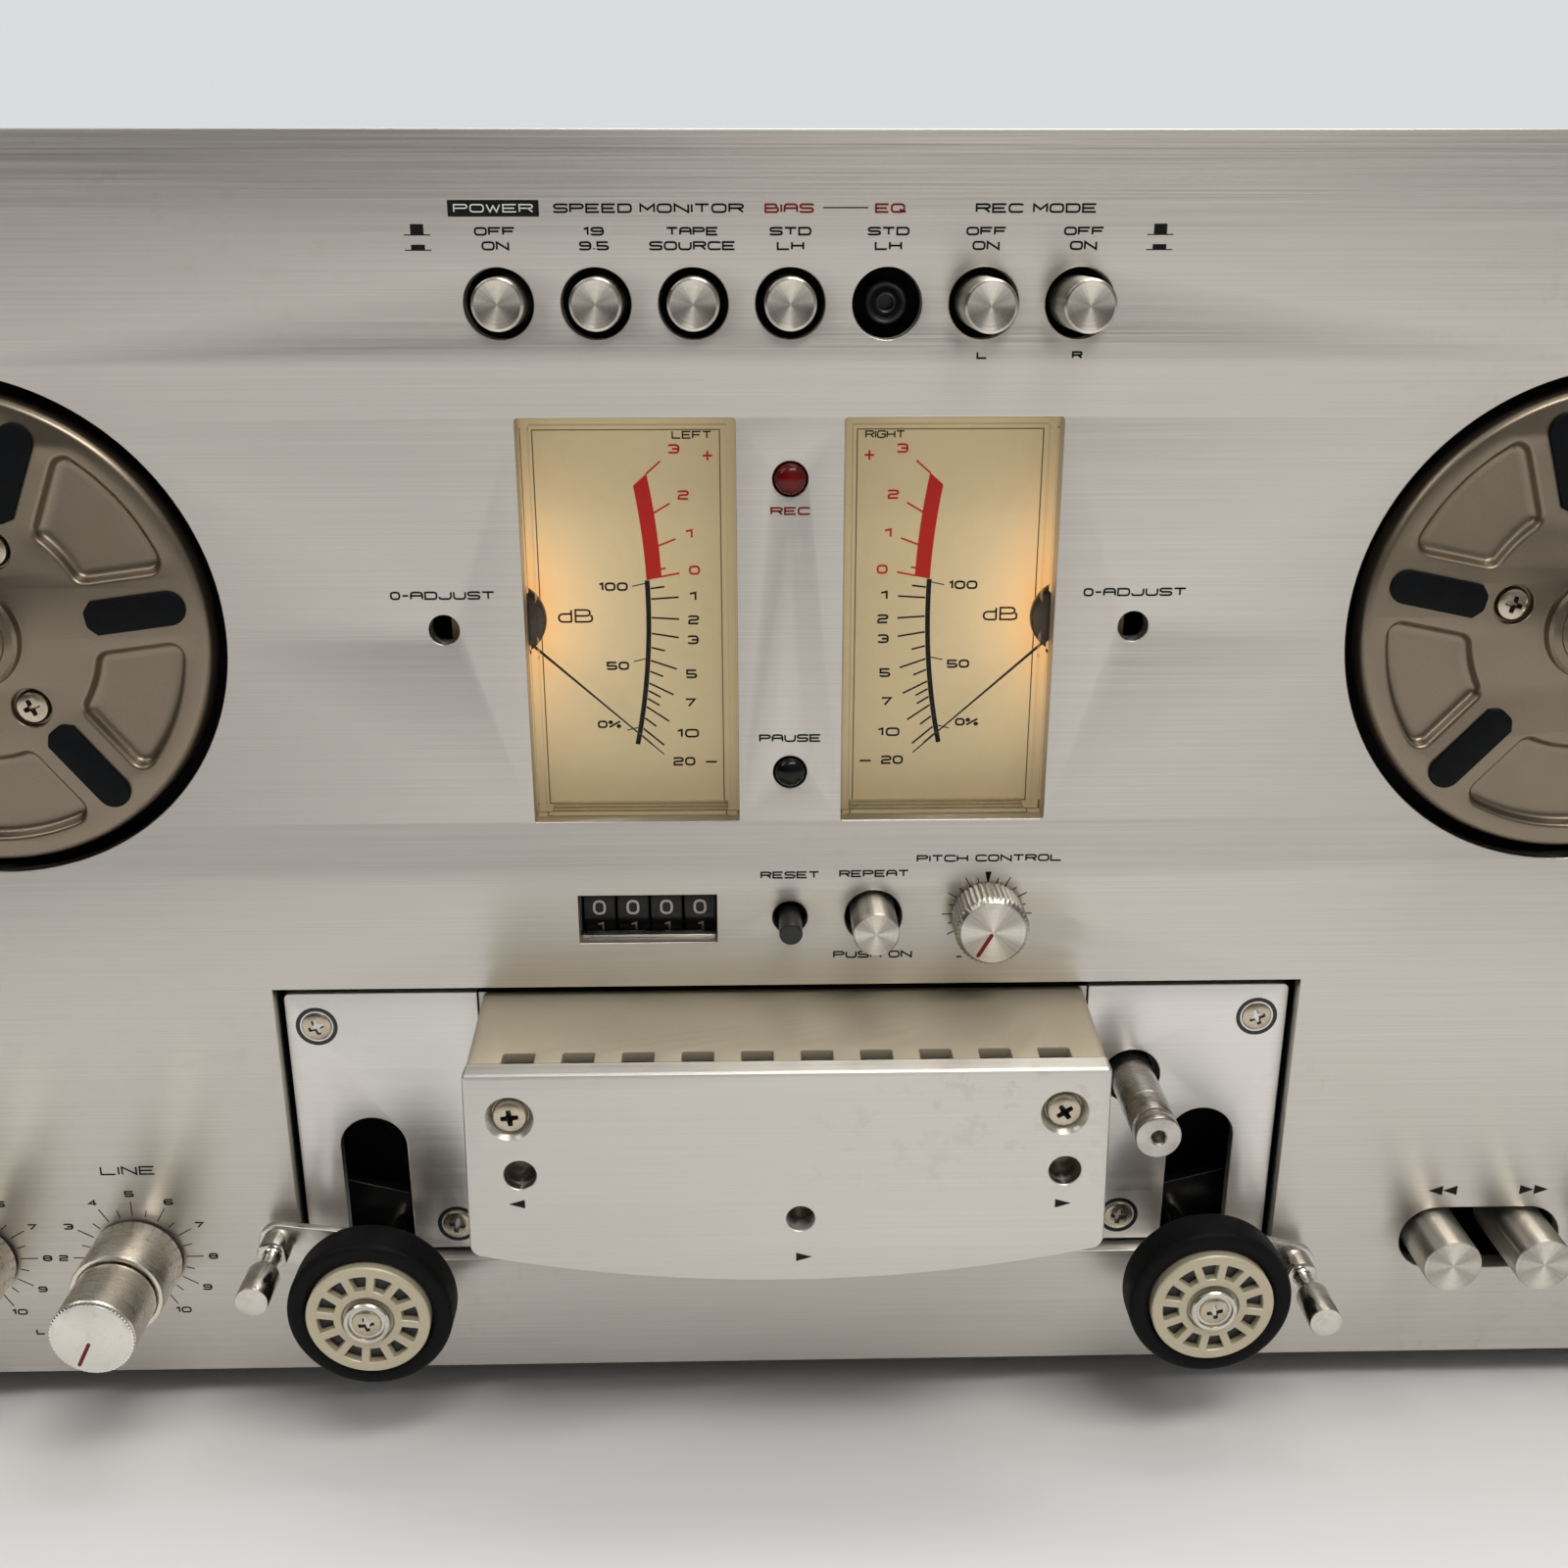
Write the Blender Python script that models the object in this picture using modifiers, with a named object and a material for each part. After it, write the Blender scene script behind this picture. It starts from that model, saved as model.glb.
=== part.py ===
"""Reel-to-reel tape deck, modelled piece by piece.

Every piece hangs under one empty at the front panel's lower edge. In that panel frame
x runs across the front, y runs up the front and z stands out of the front.
"""
import math

import bmesh
import bpy
from mathutils import Matrix, Vector

MM = 0.001
FULL_TURN = 2 * math.pi
QUARTER_TURN = math.pi / 2
SHARP_ANGLE = math.radians(32)
WELD = 0.001 * MM
OVERRUN = 1 * MM
FUSE = 0.5 * MM

# Clearances shared by the whole deck
SEAT_GAP = 0.3 * MM
RUN_GAP = 0.3 * MM

# Front panel
PANEL_THICK = 4 * MM
FOOT_HEIGHT = 8 * MM
FOOT_RADIUS = 12 * MM
FOOT_INSET = 32 * MM

# Plate that carries the mechanism behind the panel
MECH_SETBACK = 22 * MM
MECH_THICK = 3 * MM
MECH_TOP_MARGIN = 6 * MM
MECH_POST_RADIUS = 4 * MM
MECH_POST_INSET = 10 * MM
MECH_POST_LOW = 60 * MM
MECH_POST_FOOT = 17 * MM
MECH_POST_FOOT_OFFSET = 45 * MM

# Case of folded sheet
CASE_DEPTH = 318 * MM
SHEET = 1.2 * MM
COVER_INSET = 2 * MM
COVER_TOP_MARGIN = 1.5 * MM
PAN_LIFT = 1 * MM
PAN_LIP = 11 * MM
VENT_COUNT = 9
VENT_LENGTH = 95 * MM
VENT_WIDTH = 4.5 * MM
VENT_PITCH = 15 * MM
VENT_FRONT = 150 * MM

# Sockets and the cord gland on the rear wall
SOCKET_RADIUS = 4.2 * MM
SOCKET_BORE = 1.7 * MM
SOCKET_PROUD = 8 * MM
SOCKET_FLANGE_RADIUS = 6.2 * MM
SOCKET_FLANGE = 1.5 * MM
SOCKET_PITCH = 22 * MM
SOCKET_HEIGHT = 62 * MM
GLAND_RADIUS = 8 * MM
GLAND_BORE = 4 * MM
GLAND_PROUD = 6 * MM
GLAND_HEIGHT = 40 * MM

# Reel tables
TABLE_RADIUS = 39.4 * MM
TABLE_GAP = 2.4 * MM
TABLE_PROUD = 1 * MM
TABLE_THICK = 5 * MM
TABLE_BEVEL = 1.2 * MM
TABLE_BACK_RADIUS = 12 * MM
TABLE_BACK = 8 * MM
TABLE_RING_RADIUS = 9.1 * MM
TABLE_RING = 2.2 * MM
REEL_SHAFT_RADIUS = 4 * MM
REEL_SHAFT_DEPTH = 14 * MM
PAD_INNER = 19.8 * MM
PAD_OUTER = 36.6 * MM
PAD_WIDTH = 5.7 * MM
PAD_PROUD = 0.8 * MM
PAD_COUNT = 6
POCKET_INNER = 20.4 * MM
POCKET_OUTER = 35.8 * MM
POCKET_SIDE_OFFSET = 5.2 * MM
POCKET_DEPTH = 2 * MM
LEFT_PAD_ANGLE = math.radians(7.5)
RIGHT_PAD_ANGLE = math.radians(-11.7)

# Spindle and its reel lock
SPINDLE_RADIUS = 3.95 * MM
SPINDLE_PROUD = 17 * MM
SPINDLE_PIN_RADIUS = 2 * MM
SPINDLE_PIN = 6 * MM
RIB_COUNT = 3
RIB_WIDTH = 1.6 * MM
RIB_REACH = 5.6 * MM
CAP_LENGTH = 10 * MM
CAP_DOME = 1.2 * MM

# Meters
METER_WINDOW_WIDTH = 34.8 * MM
METER_WINDOW_TALL = 67.8 * MM
METER_PANE_THICK = 1.2 * MM
METER_PANE_LIP = 1.5 * MM
METER_PANE_SETBACK = 1.8 * MM
METER_CASE_INNER = 2.6 * MM
METER_CASE_OUTER = 13 * MM
METER_CASE_MARGIN = 4 * MM
METER_CASE_DEPTH = 30 * MM
METER_CASE_WALL = 1.4 * MM
METER_SCALE_DEPTH = 12 * MM
NEEDLE_LENGTH = 38 * MM
NEEDLE_WIDTH = 0.7 * MM
NEEDLE_THICK = 0.5 * MM
NEEDLE_LIFT = 2.4 * MM
NEEDLE_HUB_RADIUS = 3.2 * MM
NEEDLE_HUB = 3.6 * MM
NEEDLE_REST = math.radians(42)

# Lamps between the meters
LAMP_RADIUS = 2.6 * MM
LAMP_CLEARANCE = 0.2 * MM
LAMP_PROUD = 1.6 * MM
LAMP_STRIP_WIDTH = 8 * MM
LAMP_STRIP_THICK = 4 * MM
LAMP_STRIP_MARGIN = 5 * MM
ZERO_HOLE_RADIUS = 2.5 * MM

# Push buttons along the top
TOP_BUTTON_COUNT = 7
TOP_BUTTON_PITCH = 14.95 * MM
TOP_BUTTON_RADIUS = 4.7 * MM
TOP_BUTTON_CLEARANCE = 0.8 * MM
TOP_BUTTON_LENGTH = 13 * MM
TOP_BUTTON_IN_PROUD = 1.9 * MM
TOP_BUTTON_OUT_PROUD = 8.6 * MM
BUTTON_CHAMFER = 0.5 * MM
BARE_RADIUS = 3.2 * MM
BARE_SETBACK = 2.5 * MM
BARE_LENGTH = 6.5 * MM
STEM_WIDTH = 3.2 * MM
STEM_LENGTH = 6 * MM

# Transport buttons in their long slots
TRANSPORT_HEIGHT = 25.9 * MM
TRANSPORT_PITCH = 17.1 * MM
TRANSPORT_GROUPS = (2, 3, 2)
TRANSPORT_SPACE = 3.4 * MM
TRANSPORT_RADIUS = 5.4 * MM
TRANSPORT_CLEARANCE = 1.3 * MM
TRANSPORT_PROUD = 9 * MM
TRANSPORT_LENGTH = 19 * MM

# Counter
COUNTER_OFFSET = -24.8 * MM
COUNTER_WINDOW_TALL = 9 * MM
DRUM_COUNT = 4
DRUM_RADIUS = 7.4 * MM
DRUM_WIDTH = 5.65 * MM
DRUM_AXLE_RADIUS = 1.5 * MM
COUNTER_WALL = 1.2 * MM
DRUM_SETBACK = 1 * MM

# Small controls beside the counter
RESET_OFFSET = 0 * MM
RESET_RADIUS = 2 * MM
RESET_CLEARANCE = 1 * MM
RESET_PROUD = 7.3 * MM
REPEAT_OFFSET = 14.6 * MM
REPEAT_RADIUS = 4 * MM
REPEAT_CLEARANCE = 1 * MM
REPEAT_PROUD = 7.8 * MM
SMALL_BUTTON_LENGTH = 18 * MM
PITCH_OFFSET = 34.5 * MM
PITCH_RADIUS = 6.4 * MM
PITCH_PROUD = 8.3 * MM
PITCH_FLUTES = 18
FLUTE_DEPTH = 0.4 * MM
KNOB_LIFT = 0.6 * MM
KNOB_SHAFT_RADIUS = 3 * MM

# Level controls, each a front knob through a rear knob
LEVEL_HEIGHT = 25.65 * MM
LEVEL_REAR_RADIUS = 8.4 * MM
LEVEL_REAR_LENGTH = 11.2 * MM
LEVEL_FRONT_RADIUS = 7.35 * MM
LEVEL_PROUD = 23.7 * MM
LEVEL_CHAMFER = 0.5 * MM
LEVEL_SLEEVE_RADIUS = 3 * MM
LEVEL_SLEEVE_BORE = 1.8 * MM
LEVEL_SLEEVE_DEPTH = 16 * MM

# Jacks at the lower left
JACK_HEIGHT = 25.9 * MM
JACK_PITCH = 20 * MM
JACK_COUNT = 3
JACK_RADIUS = 4.4 * MM
JACK_BORE = 3.25 * MM
JACK_PROUD = 1.6 * MM
JACK_BODY_DEPTH = 16 * MM
JACK_BORE_DEPTH = 14 * MM
JACK_BODY_TALL = 18 * MM
JACK_BODY_MARGIN = 8 * MM

# Recess with the two brushed deck plates
RECESS_GAP = 1 * MM
RECESS_TOP_GAP = 2 * MM
DECK_INSET = 2.5 * MM
DECK_THICK = 2.5 * MM
DECK_POST_RADIUS = 3.5 * MM
DECK_SLOT_RADIUS = 6.1 * MM
CAPSTAN_HOLE_GAP = 1.3 * MM
NOTCH_GAP = 1.4 * MM

# Head block in the middle of the recess
HEAD_CENTRE = -1 * MM
HEAD_TAPER = 1 * MM
HEAD_WALL = 2 * MM
HEAD_PLATE_PROUD = 28 * MM
HEAD_PLATE_THICK = 4 * MM
HEAD_PLATE_FLARE = 0.6 * MM
HEAD_PLATE_ROUND = 2.5 * MM
HEAD_SCREW_RADIUS = 3.9 * MM
HEAD_SCREW_SEAT = 3.1 * MM
HEAD_SCREW_DEPTH = 1.8 * MM
HEAD_SCREW_BORE = 1.5 * MM
ADJUST_RADIUS = 2.7 * MM
ADJUST_MIDDLE_OFFSET = 1.1 * MM
ADJUST_MIDDLE_RADIUS = 2.4 * MM
COMB_COUNT = 10
COMB_WIDTH = 5.3 * MM
COMB_DEPTH = 3.4 * MM
HEAD_POST_RADIUS = 3 * MM
TAPE_HEAD_COUNT = 4
TAPE_HEAD_PITCH = 21 * MM
TAPE_HEAD_WIDTH = 13 * MM
TAPE_HEAD_REACH = 21 * MM
TAPE_GUIDE_RADIUS = 2.4 * MM

# Capstan with its flywheel and motor
CAPSTAN_RADIUS = 4 * MM
CAPSTAN_PROUD = 19 * MM
CAPSTAN_GROOVE = 0.5 * MM
CAPSTAN_GROOVE_SETBACK = 2.4 * MM
CAPSTAN_GROOVE_WIDTH = 1.1 * MM
CAPSTAN_CENTRE_RADIUS = 1.3 * MM
CAPSTAN_CENTRE_DEPTH = 3 * MM
CAPSTAN_BEARING_RADIUS = 6.6 * MM
FLYWHEEL_RADIUS = 28 * MM
FLYWHEEL_THICK = 8 * MM
FLYWHEEL_SETBACK = 2 * MM
CAPSTAN_TAIL = 10 * MM
CAPSTAN_MOTOR_RADIUS = 34 * MM
CAPSTAN_MOTOR_LENGTH = 30 * MM
MOTOR_POST_COUNT = 3
MOTOR_POST_RADIUS = 2.2 * MM
REEL_MOTOR_RADIUS = 40 * MM
REEL_MOTOR_LENGTH = 62 * MM
REEL_MOTOR_STEP = 8 * MM
MOTOR_CAP_RADIUS = 12 * MM
MOTOR_CAP = 5 * MM

# Pinch arms and rollers
ROLLER_HEIGHT = 26.2 * MM
ARM_SETBACK = 12 * MM
ARM_THICK = 2.5 * MM
ARM_HALF_WIDTH = 5 * MM
ARM_PIN_RADIUS = 2.4 * MM
ROLLER_SHAFT_RADIUS = 2.5 * MM
ROLLER_SLEEVE_RADIUS = 3.5 * MM
ROLLER_SLEEVE_LIFT = 1.2 * MM
TYRE_RADIUS = 14.6 * MM
TYRE_WIDTH = 7.5 * MM
TYRE_BACK = 12 * MM
TYRE_ROUND = 0.7 * MM
HUB_RADIUS = 10.9 * MM
HUB_PROUD = 0.9 * MM
HUB_RIM = 1.1 * MM
HUB_WEB = 1.5 * MM
HUB_SLEEVE_RADIUS = 4.6 * MM
HUB_WINDOW_COUNT = 12
HUB_WINDOW_INNER = 5.9 * MM
HUB_WINDOW_OUTER = 9 * MM
HUB_WINDOW_SHARE = 0.66
WASHER_RADIUS = 4.1 * MM
WASHER_THICK = 0.9 * MM

# Tension arms, each turning on a roller shaft
TENSION_REACH = 20 * MM
LEFT_TENSION_ANGLE = math.radians(164.2)
RIGHT_TENSION_ANGLE = math.radians(-6)
TENSION_RING_RADIUS = 6.4 * MM
TENSION_PLATE_LIFT = 3 * MM
TENSION_PLATE_THICK = 1.6 * MM
TENSION_END_RADIUS = 3.6 * MM
COLLAR_RADIUS = 2.9 * MM
COLLAR_TOP = 9 * MM
NECK_RADIUS = 1.6 * MM
NECK_TOP = 12.7 * MM
SHOULDER = 1.4 * MM
POST_RADIUS = 2.9 * MM
POST_PROUD = 22.3 * MM

# Mains transformer on the pan's floor
CORE_WIDTH = 76 * MM
CORE_TALL = 62 * MM
CORE_DEPTH = 40 * MM
COIL_BULGE = 14 * MM
COIL_MARGIN = 12 * MM

# Places across the front, from the middle outwards: each group keeps clear of the last
LAMP_STRIP_SPACE = 2.1 * MM
METER_OFFSET = LAMP_STRIP_WIDTH / 2 + LAMP_STRIP_SPACE + METER_CASE_INNER + METER_WINDOW_WIDTH / 2
METER_WINDOW_EDGE = METER_OFFSET + METER_WINDOW_WIDTH / 2
METER_CASE_EDGE = METER_WINDOW_EDGE + METER_CASE_OUTER
NEEDLE_PIVOT_INSET = 6.5 * MM
NEEDLE_PIVOT_OFFSET = METER_CASE_EDGE - NEEDLE_PIVOT_INSET
ZERO_HOLE_SPACE = 13.2 * MM
ZERO_HOLE_OFFSET = METER_WINDOW_EDGE + ZERO_HOLE_SPACE
REEL_SPACE = 35.8 * MM
REEL_OFFSET = METER_CASE_EDGE + REEL_SPACE + TABLE_GAP + TABLE_RADIUS
TAPE_GUIDE_SPACE = 5 * MM
TAPE_GUIDE_OFFSET = TAPE_HEAD_COUNT * TAPE_HEAD_PITCH / 2 + TAPE_GUIDE_SPACE
HEAD_SIDE_SPACE = 6.9 * MM
HEAD_HALF_WIDTH = TAPE_GUIDE_OFFSET + HEAD_SIDE_SPACE
HEAD_PLATE_HALF_WIDTH = HEAD_HALF_WIDTH - HEAD_TAPER
HEAD_SCREW_INSET = 7.4 * MM
HEAD_SCREW_OFFSET = HEAD_PLATE_HALF_WIDTH - HEAD_SCREW_INSET
ADJUST_INSET = 7.7 * MM
ADJUST_OFFSET = HEAD_PLATE_HALF_WIDTH - ADJUST_INSET
COMB_END_SPACE = 4.65 * MM
COMB_PITCH = 2 * (HEAD_HALF_WIDTH - COMB_END_SPACE) / COMB_COUNT
CAPSTAN_SPACE = 10 * MM
CAPSTAN_OFFSET = HEAD_CENTRE + HEAD_HALF_WIDTH + CAPSTAN_SPACE
ROLLER_STEP = 11.9 * MM
ROLLER_OFFSET = CAPSTAN_OFFSET + ROLLER_STEP
DECK_SLOT_STEP = 2 * MM
DECK_SLOT_OFFSET = ROLLER_OFFSET + DECK_SLOT_STEP
DECK_SIDE_SPACE = 8.5 * MM
RECESS_HALF_WIDTH = DECK_SLOT_OFFSET + DECK_SLOT_RADIUS + DECK_SIDE_SPACE
DECK_SCREW_HIGH_INSET = 6.5 * MM
DECK_SCREW_HIGH_OFFSET = RECESS_HALF_WIDTH - DECK_SCREW_HIGH_INSET
DECK_SCREW_LOW_INSET = 8.1 * MM
DECK_SCREW_LOW_OFFSET = DECK_SLOT_OFFSET - DECK_SLOT_RADIUS - DECK_SCREW_LOW_INSET
ARM_PIVOT_STEP = 29 * MM
ARM_PIVOT_OFFSET = ROLLER_OFFSET + ARM_PIVOT_STEP
LINE_SPACE = 30.5 * MM
LINE_OFFSET = -RECESS_HALF_WIDTH - LINE_SPACE
LEVEL_PITCH = 30.8 * MM
MIC_OFFSET = LINE_OFFSET - LEVEL_PITCH
TRANSPORT_SIDE_SPACE = 24.6 * MM
TRANSPORT_START = RECESS_HALF_WIDTH + TRANSPORT_SIDE_SPACE
TRANSPORT_SLOTS = len(TRANSPORT_GROUPS)
TRANSPORT_SLOT_ENDS = 2 * TRANSPORT_SLOTS * (TRANSPORT_RADIUS + TRANSPORT_CLEARANCE)
TRANSPORT_STEPS = (sum(TRANSPORT_GROUPS) - TRANSPORT_SLOTS) * TRANSPORT_PITCH
TRANSPORT_SPACES = (TRANSPORT_SLOTS - 1) * TRANSPORT_SPACE
TRANSPORT_END = TRANSPORT_START + TRANSPORT_SLOT_ENDS + TRANSPORT_STEPS + TRANSPORT_SPACES
PANEL_SIDE_SPACE = 8.6 * MM
PANEL_WIDTH = 2 * (TRANSPORT_END + PANEL_SIDE_SPACE)
JACK_SIDE_SPACE = 14 * MM
JACK_START = JACK_SIDE_SPACE - PANEL_WIDTH / 2
CORE_SIDE_SPACE = 90 * MM
CORE_OFFSET = CORE_SIDE_SPACE - PANEL_WIDTH / 2
SOCKET_SIDE_SPACE = 70 * MM
SOCKET_OFFSET = PANEL_WIDTH / 2 - SOCKET_SIDE_SPACE
GLAND_SIDE_SPACE = 50 * MM
GLAND_OFFSET = PANEL_WIDTH / 2 - GLAND_SIDE_SPACE
VENT_GROUP_SHARE = 0.25
VENT_GROUP_OFFSET = VENT_GROUP_SHARE * PANEL_WIDTH
CORE_BACK_SPACE = 118 * MM
CORE_SETBACK = CASE_DEPTH - CORE_BACK_SPACE

# Places up the front, from the rollers to the panel's top edge
RECESS_DROP = 2.1 * MM
RECESS_BOTTOM = ROLLER_HEIGHT - RECESS_DROP
ARM_PIVOT_RISE = 7.8 * MM
ARM_PIVOT_HEIGHT = ROLLER_HEIGHT + ARM_PIVOT_RISE
DECK_SLOT_RISE = 27 * MM
DECK_SLOT_TOP = ROLLER_HEIGHT + DECK_SLOT_RISE
HEAD_PLATE_RISE = 12.4 * MM
HEAD_PLATE_BOTTOM = ROLLER_HEIGHT + HEAD_PLATE_RISE
HEAD_PLATE_BOW = 5.9 * MM
HEAD_PLATE_CORNER = HEAD_PLATE_BOTTOM + HEAD_PLATE_BOW
TAPE_HEAD_RISE = 12.4 * MM
TAPE_HEAD_NOSE = HEAD_PLATE_BOTTOM + TAPE_HEAD_RISE
TAPE_HEAD_TALL = 17 * MM
TAPE_HEAD_TOP = TAPE_HEAD_NOSE + TAPE_HEAD_TALL
TAPE_GUIDE_DROP = 1 * MM
TAPE_GUIDE_HEIGHT = TAPE_HEAD_NOSE - TAPE_GUIDE_DROP
ADJUST_MIDDLE_RISE = 12.4 * MM
ADJUST_MIDDLE_HEIGHT = HEAD_PLATE_BOTTOM + ADJUST_MIDDLE_RISE
CAPSTAN_RISE = 9.2 * MM
CAPSTAN_HEIGHT = TAPE_HEAD_NOSE + CAPSTAN_RISE
HEAD_TOP_SPACE = 10.7 * MM
HEAD_TOP = TAPE_HEAD_TOP + HEAD_TOP_SPACE
HEAD_SIDE_TALL = 18.7 * MM
HEAD_SIDE_BOTTOM = HEAD_TOP - HEAD_SIDE_TALL
HEAD_SCREW_DROP = 8.1 * MM
HEAD_SCREW_HEIGHT = HEAD_TOP - HEAD_SCREW_DROP
ADJUST_DROP = 18.7 * MM
ADJUST_HEIGHT = HEAD_TOP - ADJUST_DROP
RECESS_HEAD_SPACE = 1.9 * MM
RECESS_TOP = HEAD_TOP + RECESS_HEAD_SPACE
DECK_SCREW_HIGH_DROP = 8.8 * MM
DECK_SCREW_HIGH = RECESS_TOP - DECK_SCREW_HIGH_DROP
DECK_SCREW_LOW_RISE = 5.9 * MM
DECK_SCREW_LOW = RECESS_BOTTOM + DECK_SCREW_LOW_RISE
COUNTER_HALF_TALL = DRUM_RADIUS + RUN_GAP + COUNTER_WALL
COUNTER_SPACE = 4.1 * MM
COUNTER_HEIGHT = RECESS_TOP + COUNTER_SPACE + COUNTER_HALF_TALL
CONTROL_RISE = 0.1 * MM
CONTROL_HEIGHT = COUNTER_HEIGHT + CONTROL_RISE
PITCH_RISE = 0.5 * MM
PITCH_HEIGHT = COUNTER_HEIGHT + PITCH_RISE
METER_SPACE = 5.3 * MM
METER_HALF_TALL = METER_WINDOW_TALL / 2 + METER_CASE_MARGIN
METER_HEIGHT = COUNTER_HEIGHT + COUNTER_HALF_TALL + METER_SPACE + METER_HALF_TALL
NEEDLE_PIVOT_RISE = 0.6 * MM
NEEDLE_PIVOT_HEIGHT = METER_HEIGHT + NEEDLE_PIVOT_RISE
ZERO_HOLE_DROP = 0.1 * MM
ZERO_HOLE_HEIGHT = METER_HEIGHT - ZERO_HOLE_DROP
REEL_DROP = 0.3 * MM
REEL_HEIGHT = METER_HEIGHT - REEL_DROP
REC_LAMP_RISE = 24.3 * MM
REC_LAMP_HEIGHT = METER_HEIGHT + REC_LAMP_RISE
PAUSE_LAMP_DROP = 25.1 * MM
PAUSE_LAMP_HEIGHT = METER_HEIGHT - PAUSE_LAMP_DROP
TOP_BUTTON_SPACE = 7.8 * MM
TOP_BUTTON_HOLE = TOP_BUTTON_RADIUS + TOP_BUTTON_CLEARANCE
TOP_BUTTON_HEIGHT = METER_HEIGHT + METER_HALF_TALL + TOP_BUTTON_SPACE + TOP_BUTTON_HOLE
PANEL_TOP_SPACE = 25.1 * MM
PANEL_HEIGHT = TOP_BUTTON_HEIGHT + PANEL_TOP_SPACE
MECH_POST_DROP = 22 * MM
MECH_POST_HIGH = PANEL_HEIGHT - MECH_POST_DROP

# Roundness of the turned and rounded shapes
FINE_STEPS = 36
ROUND_STEPS = 28
HUB_STEPS = 20
KNOB_STEPS = 16
HOLE_STEPS = 16
BUTTON_STEPS = 12
SMALL_STEPS = 10
HIDDEN_STEPS = 8

# Places worked out from the sizes above
PANEL_BACK = -PANEL_THICK
BEHIND_PANEL = PANEL_BACK - SEAT_GAP
MECH_FRONT = -MECH_SETBACK
MECH_BACK = MECH_FRONT - MECH_THICK
BEHIND_MECH = MECH_BACK - SEAT_GAP
DECK_FRONT = -DECK_INSET
DECK_BACK = DECK_FRONT - DECK_THICK
CASE_BACK = BEHIND_PANEL - CASE_DEPTH
REAR_REACH = CASE_BACK - SOCKET_PROUD
FRONT_REACH = max(HEAD_PLATE_PROUD, SPINDLE_PROUD + CAP_LENGTH)
PAN_FLOOR = PAN_LIFT + SHEET
STEM_HOLE_HALF = STEM_WIDTH / 2 + RUN_GAP
METER_PANE_FRONT = -METER_PANE_SETBACK
METER_CASE_FRONT = BEHIND_PANEL - METER_PANE_LIP - SEAT_GAP
METER_SCALE_FACE = -METER_SCALE_DEPTH
CAPSTAN_GAP_HOLE = CAPSTAN_RADIUS + CAPSTAN_HOLE_GAP
STEM_BACK = MECH_BACK - STEM_LENGTH

ALUMINIUM = ((0.55, 0.53, 0.50), 0.38, 1.0)
BRONZE = ((0.36, 0.31, 0.25), 0.42, 1.0)
CHAMPAGNE = ((0.50, 0.44, 0.34), 0.45, 0.9)
CHROME = ((0.62, 0.60, 0.57), 0.18, 1.0)
STEEL = ((0.42, 0.42, 0.43), 0.45, 1.0)
DARK_SHEET = ((0.05, 0.05, 0.055), 0.55, 0.3)
BLACK_PLASTIC = ((0.015, 0.015, 0.017), 0.45, 0.0)
RUBBER = ((0.018, 0.018, 0.022), 0.75, 0.0)
CREAM = ((0.75, 0.66, 0.45), 0.5, 0.0)
CLEAR = ((0.85, 0.86, 0.86), 0.08, 0.0)
RED = ((0.35, 0.02, 0.03), 0.2, 0.0)


# Scene, materials and shared shapes

def clear_scene():
    for old in list(bpy.data.objects):
        bpy.data.objects.remove(old, do_unlink=True)


def new_collection(name):
    group = bpy.data.collections.new(name)
    bpy.context.scene.collection.children.link(group)
    return group


def move_to(obj, group):
    for old in list(obj.users_collection):
        old.objects.unlink(obj)
    group.objects.link(obj)


def new_material(name, look):
    colour, roughness, metallic = look
    material = bpy.data.materials.new(name)
    material.use_nodes = True
    shader = material.node_tree.nodes["Principled BSDF"]
    shader.inputs["Base Color"].default_value = (*colour, 1.0)
    shader.inputs["Roughness"].default_value = roughness
    shader.inputs["Metallic"].default_value = metallic
    return material


def finish(obj, name, look):
    """Name the piece, shade it, give it its material and hang it under the panel frame."""
    obj.data.shade_smooth()
    obj.data.set_sharp_from_angle(angle=SHARP_ANGLE)
    obj.name = name
    obj.data.name = name
    obj.data.materials.clear()
    obj.data.materials.append(new_material(name, look))
    move_to(obj, PIECES)
    obj.parent = FRAME
    return obj


def place(obj, x=0.0, y=0.0, z=0.0):
    obj.location = (x, y, z)
    return obj


def arc(centre_x, centre_y, radius, start, end, steps):
    """Points along an arc, both ends included."""
    points = []
    for index in range(steps + 1):
        angle = start + (end - start) * index / steps
        points.append((centre_x + radius * math.cos(angle), centre_y + radius * math.sin(angle)))
    return points


def circle(centre_x, centre_y, radius, steps):
    """A ring of points whose first one looks away from the panel frame's origin."""
    start = math.atan2(centre_y, centre_x)
    return arc(centre_x, centre_y, radius, start, start + FULL_TURN, steps)[:-1]


def bore_ring(centre_x, centre_y, radius, steps):
    """A ring whose flats, not its corners, lie at the radius, so that a round shaft clears it."""
    return circle(centre_x, centre_y, radius / math.cos(math.pi / steps), steps)


def rectangle(left, bottom, right, top):
    return [(left, bottom), (right, bottom), (right, top), (left, top)]


def pill(left, right, middle, radius, steps):
    """A long slot with round ends."""
    right_end = arc(right - radius, middle, radius, -QUARTER_TURN, QUARTER_TURN, steps)
    left_end = arc(left + radius, middle, radius, QUARTER_TURN, 3 * QUARTER_TURN, steps)
    return right_end + left_end


def turned(points, angle):
    return [(x * math.cos(angle) - y * math.sin(angle), x * math.sin(angle) + y * math.cos(angle))
            for x, y in points]


def mirrored(points, side):
    return [(side * x, y) for x, y in points]


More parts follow.
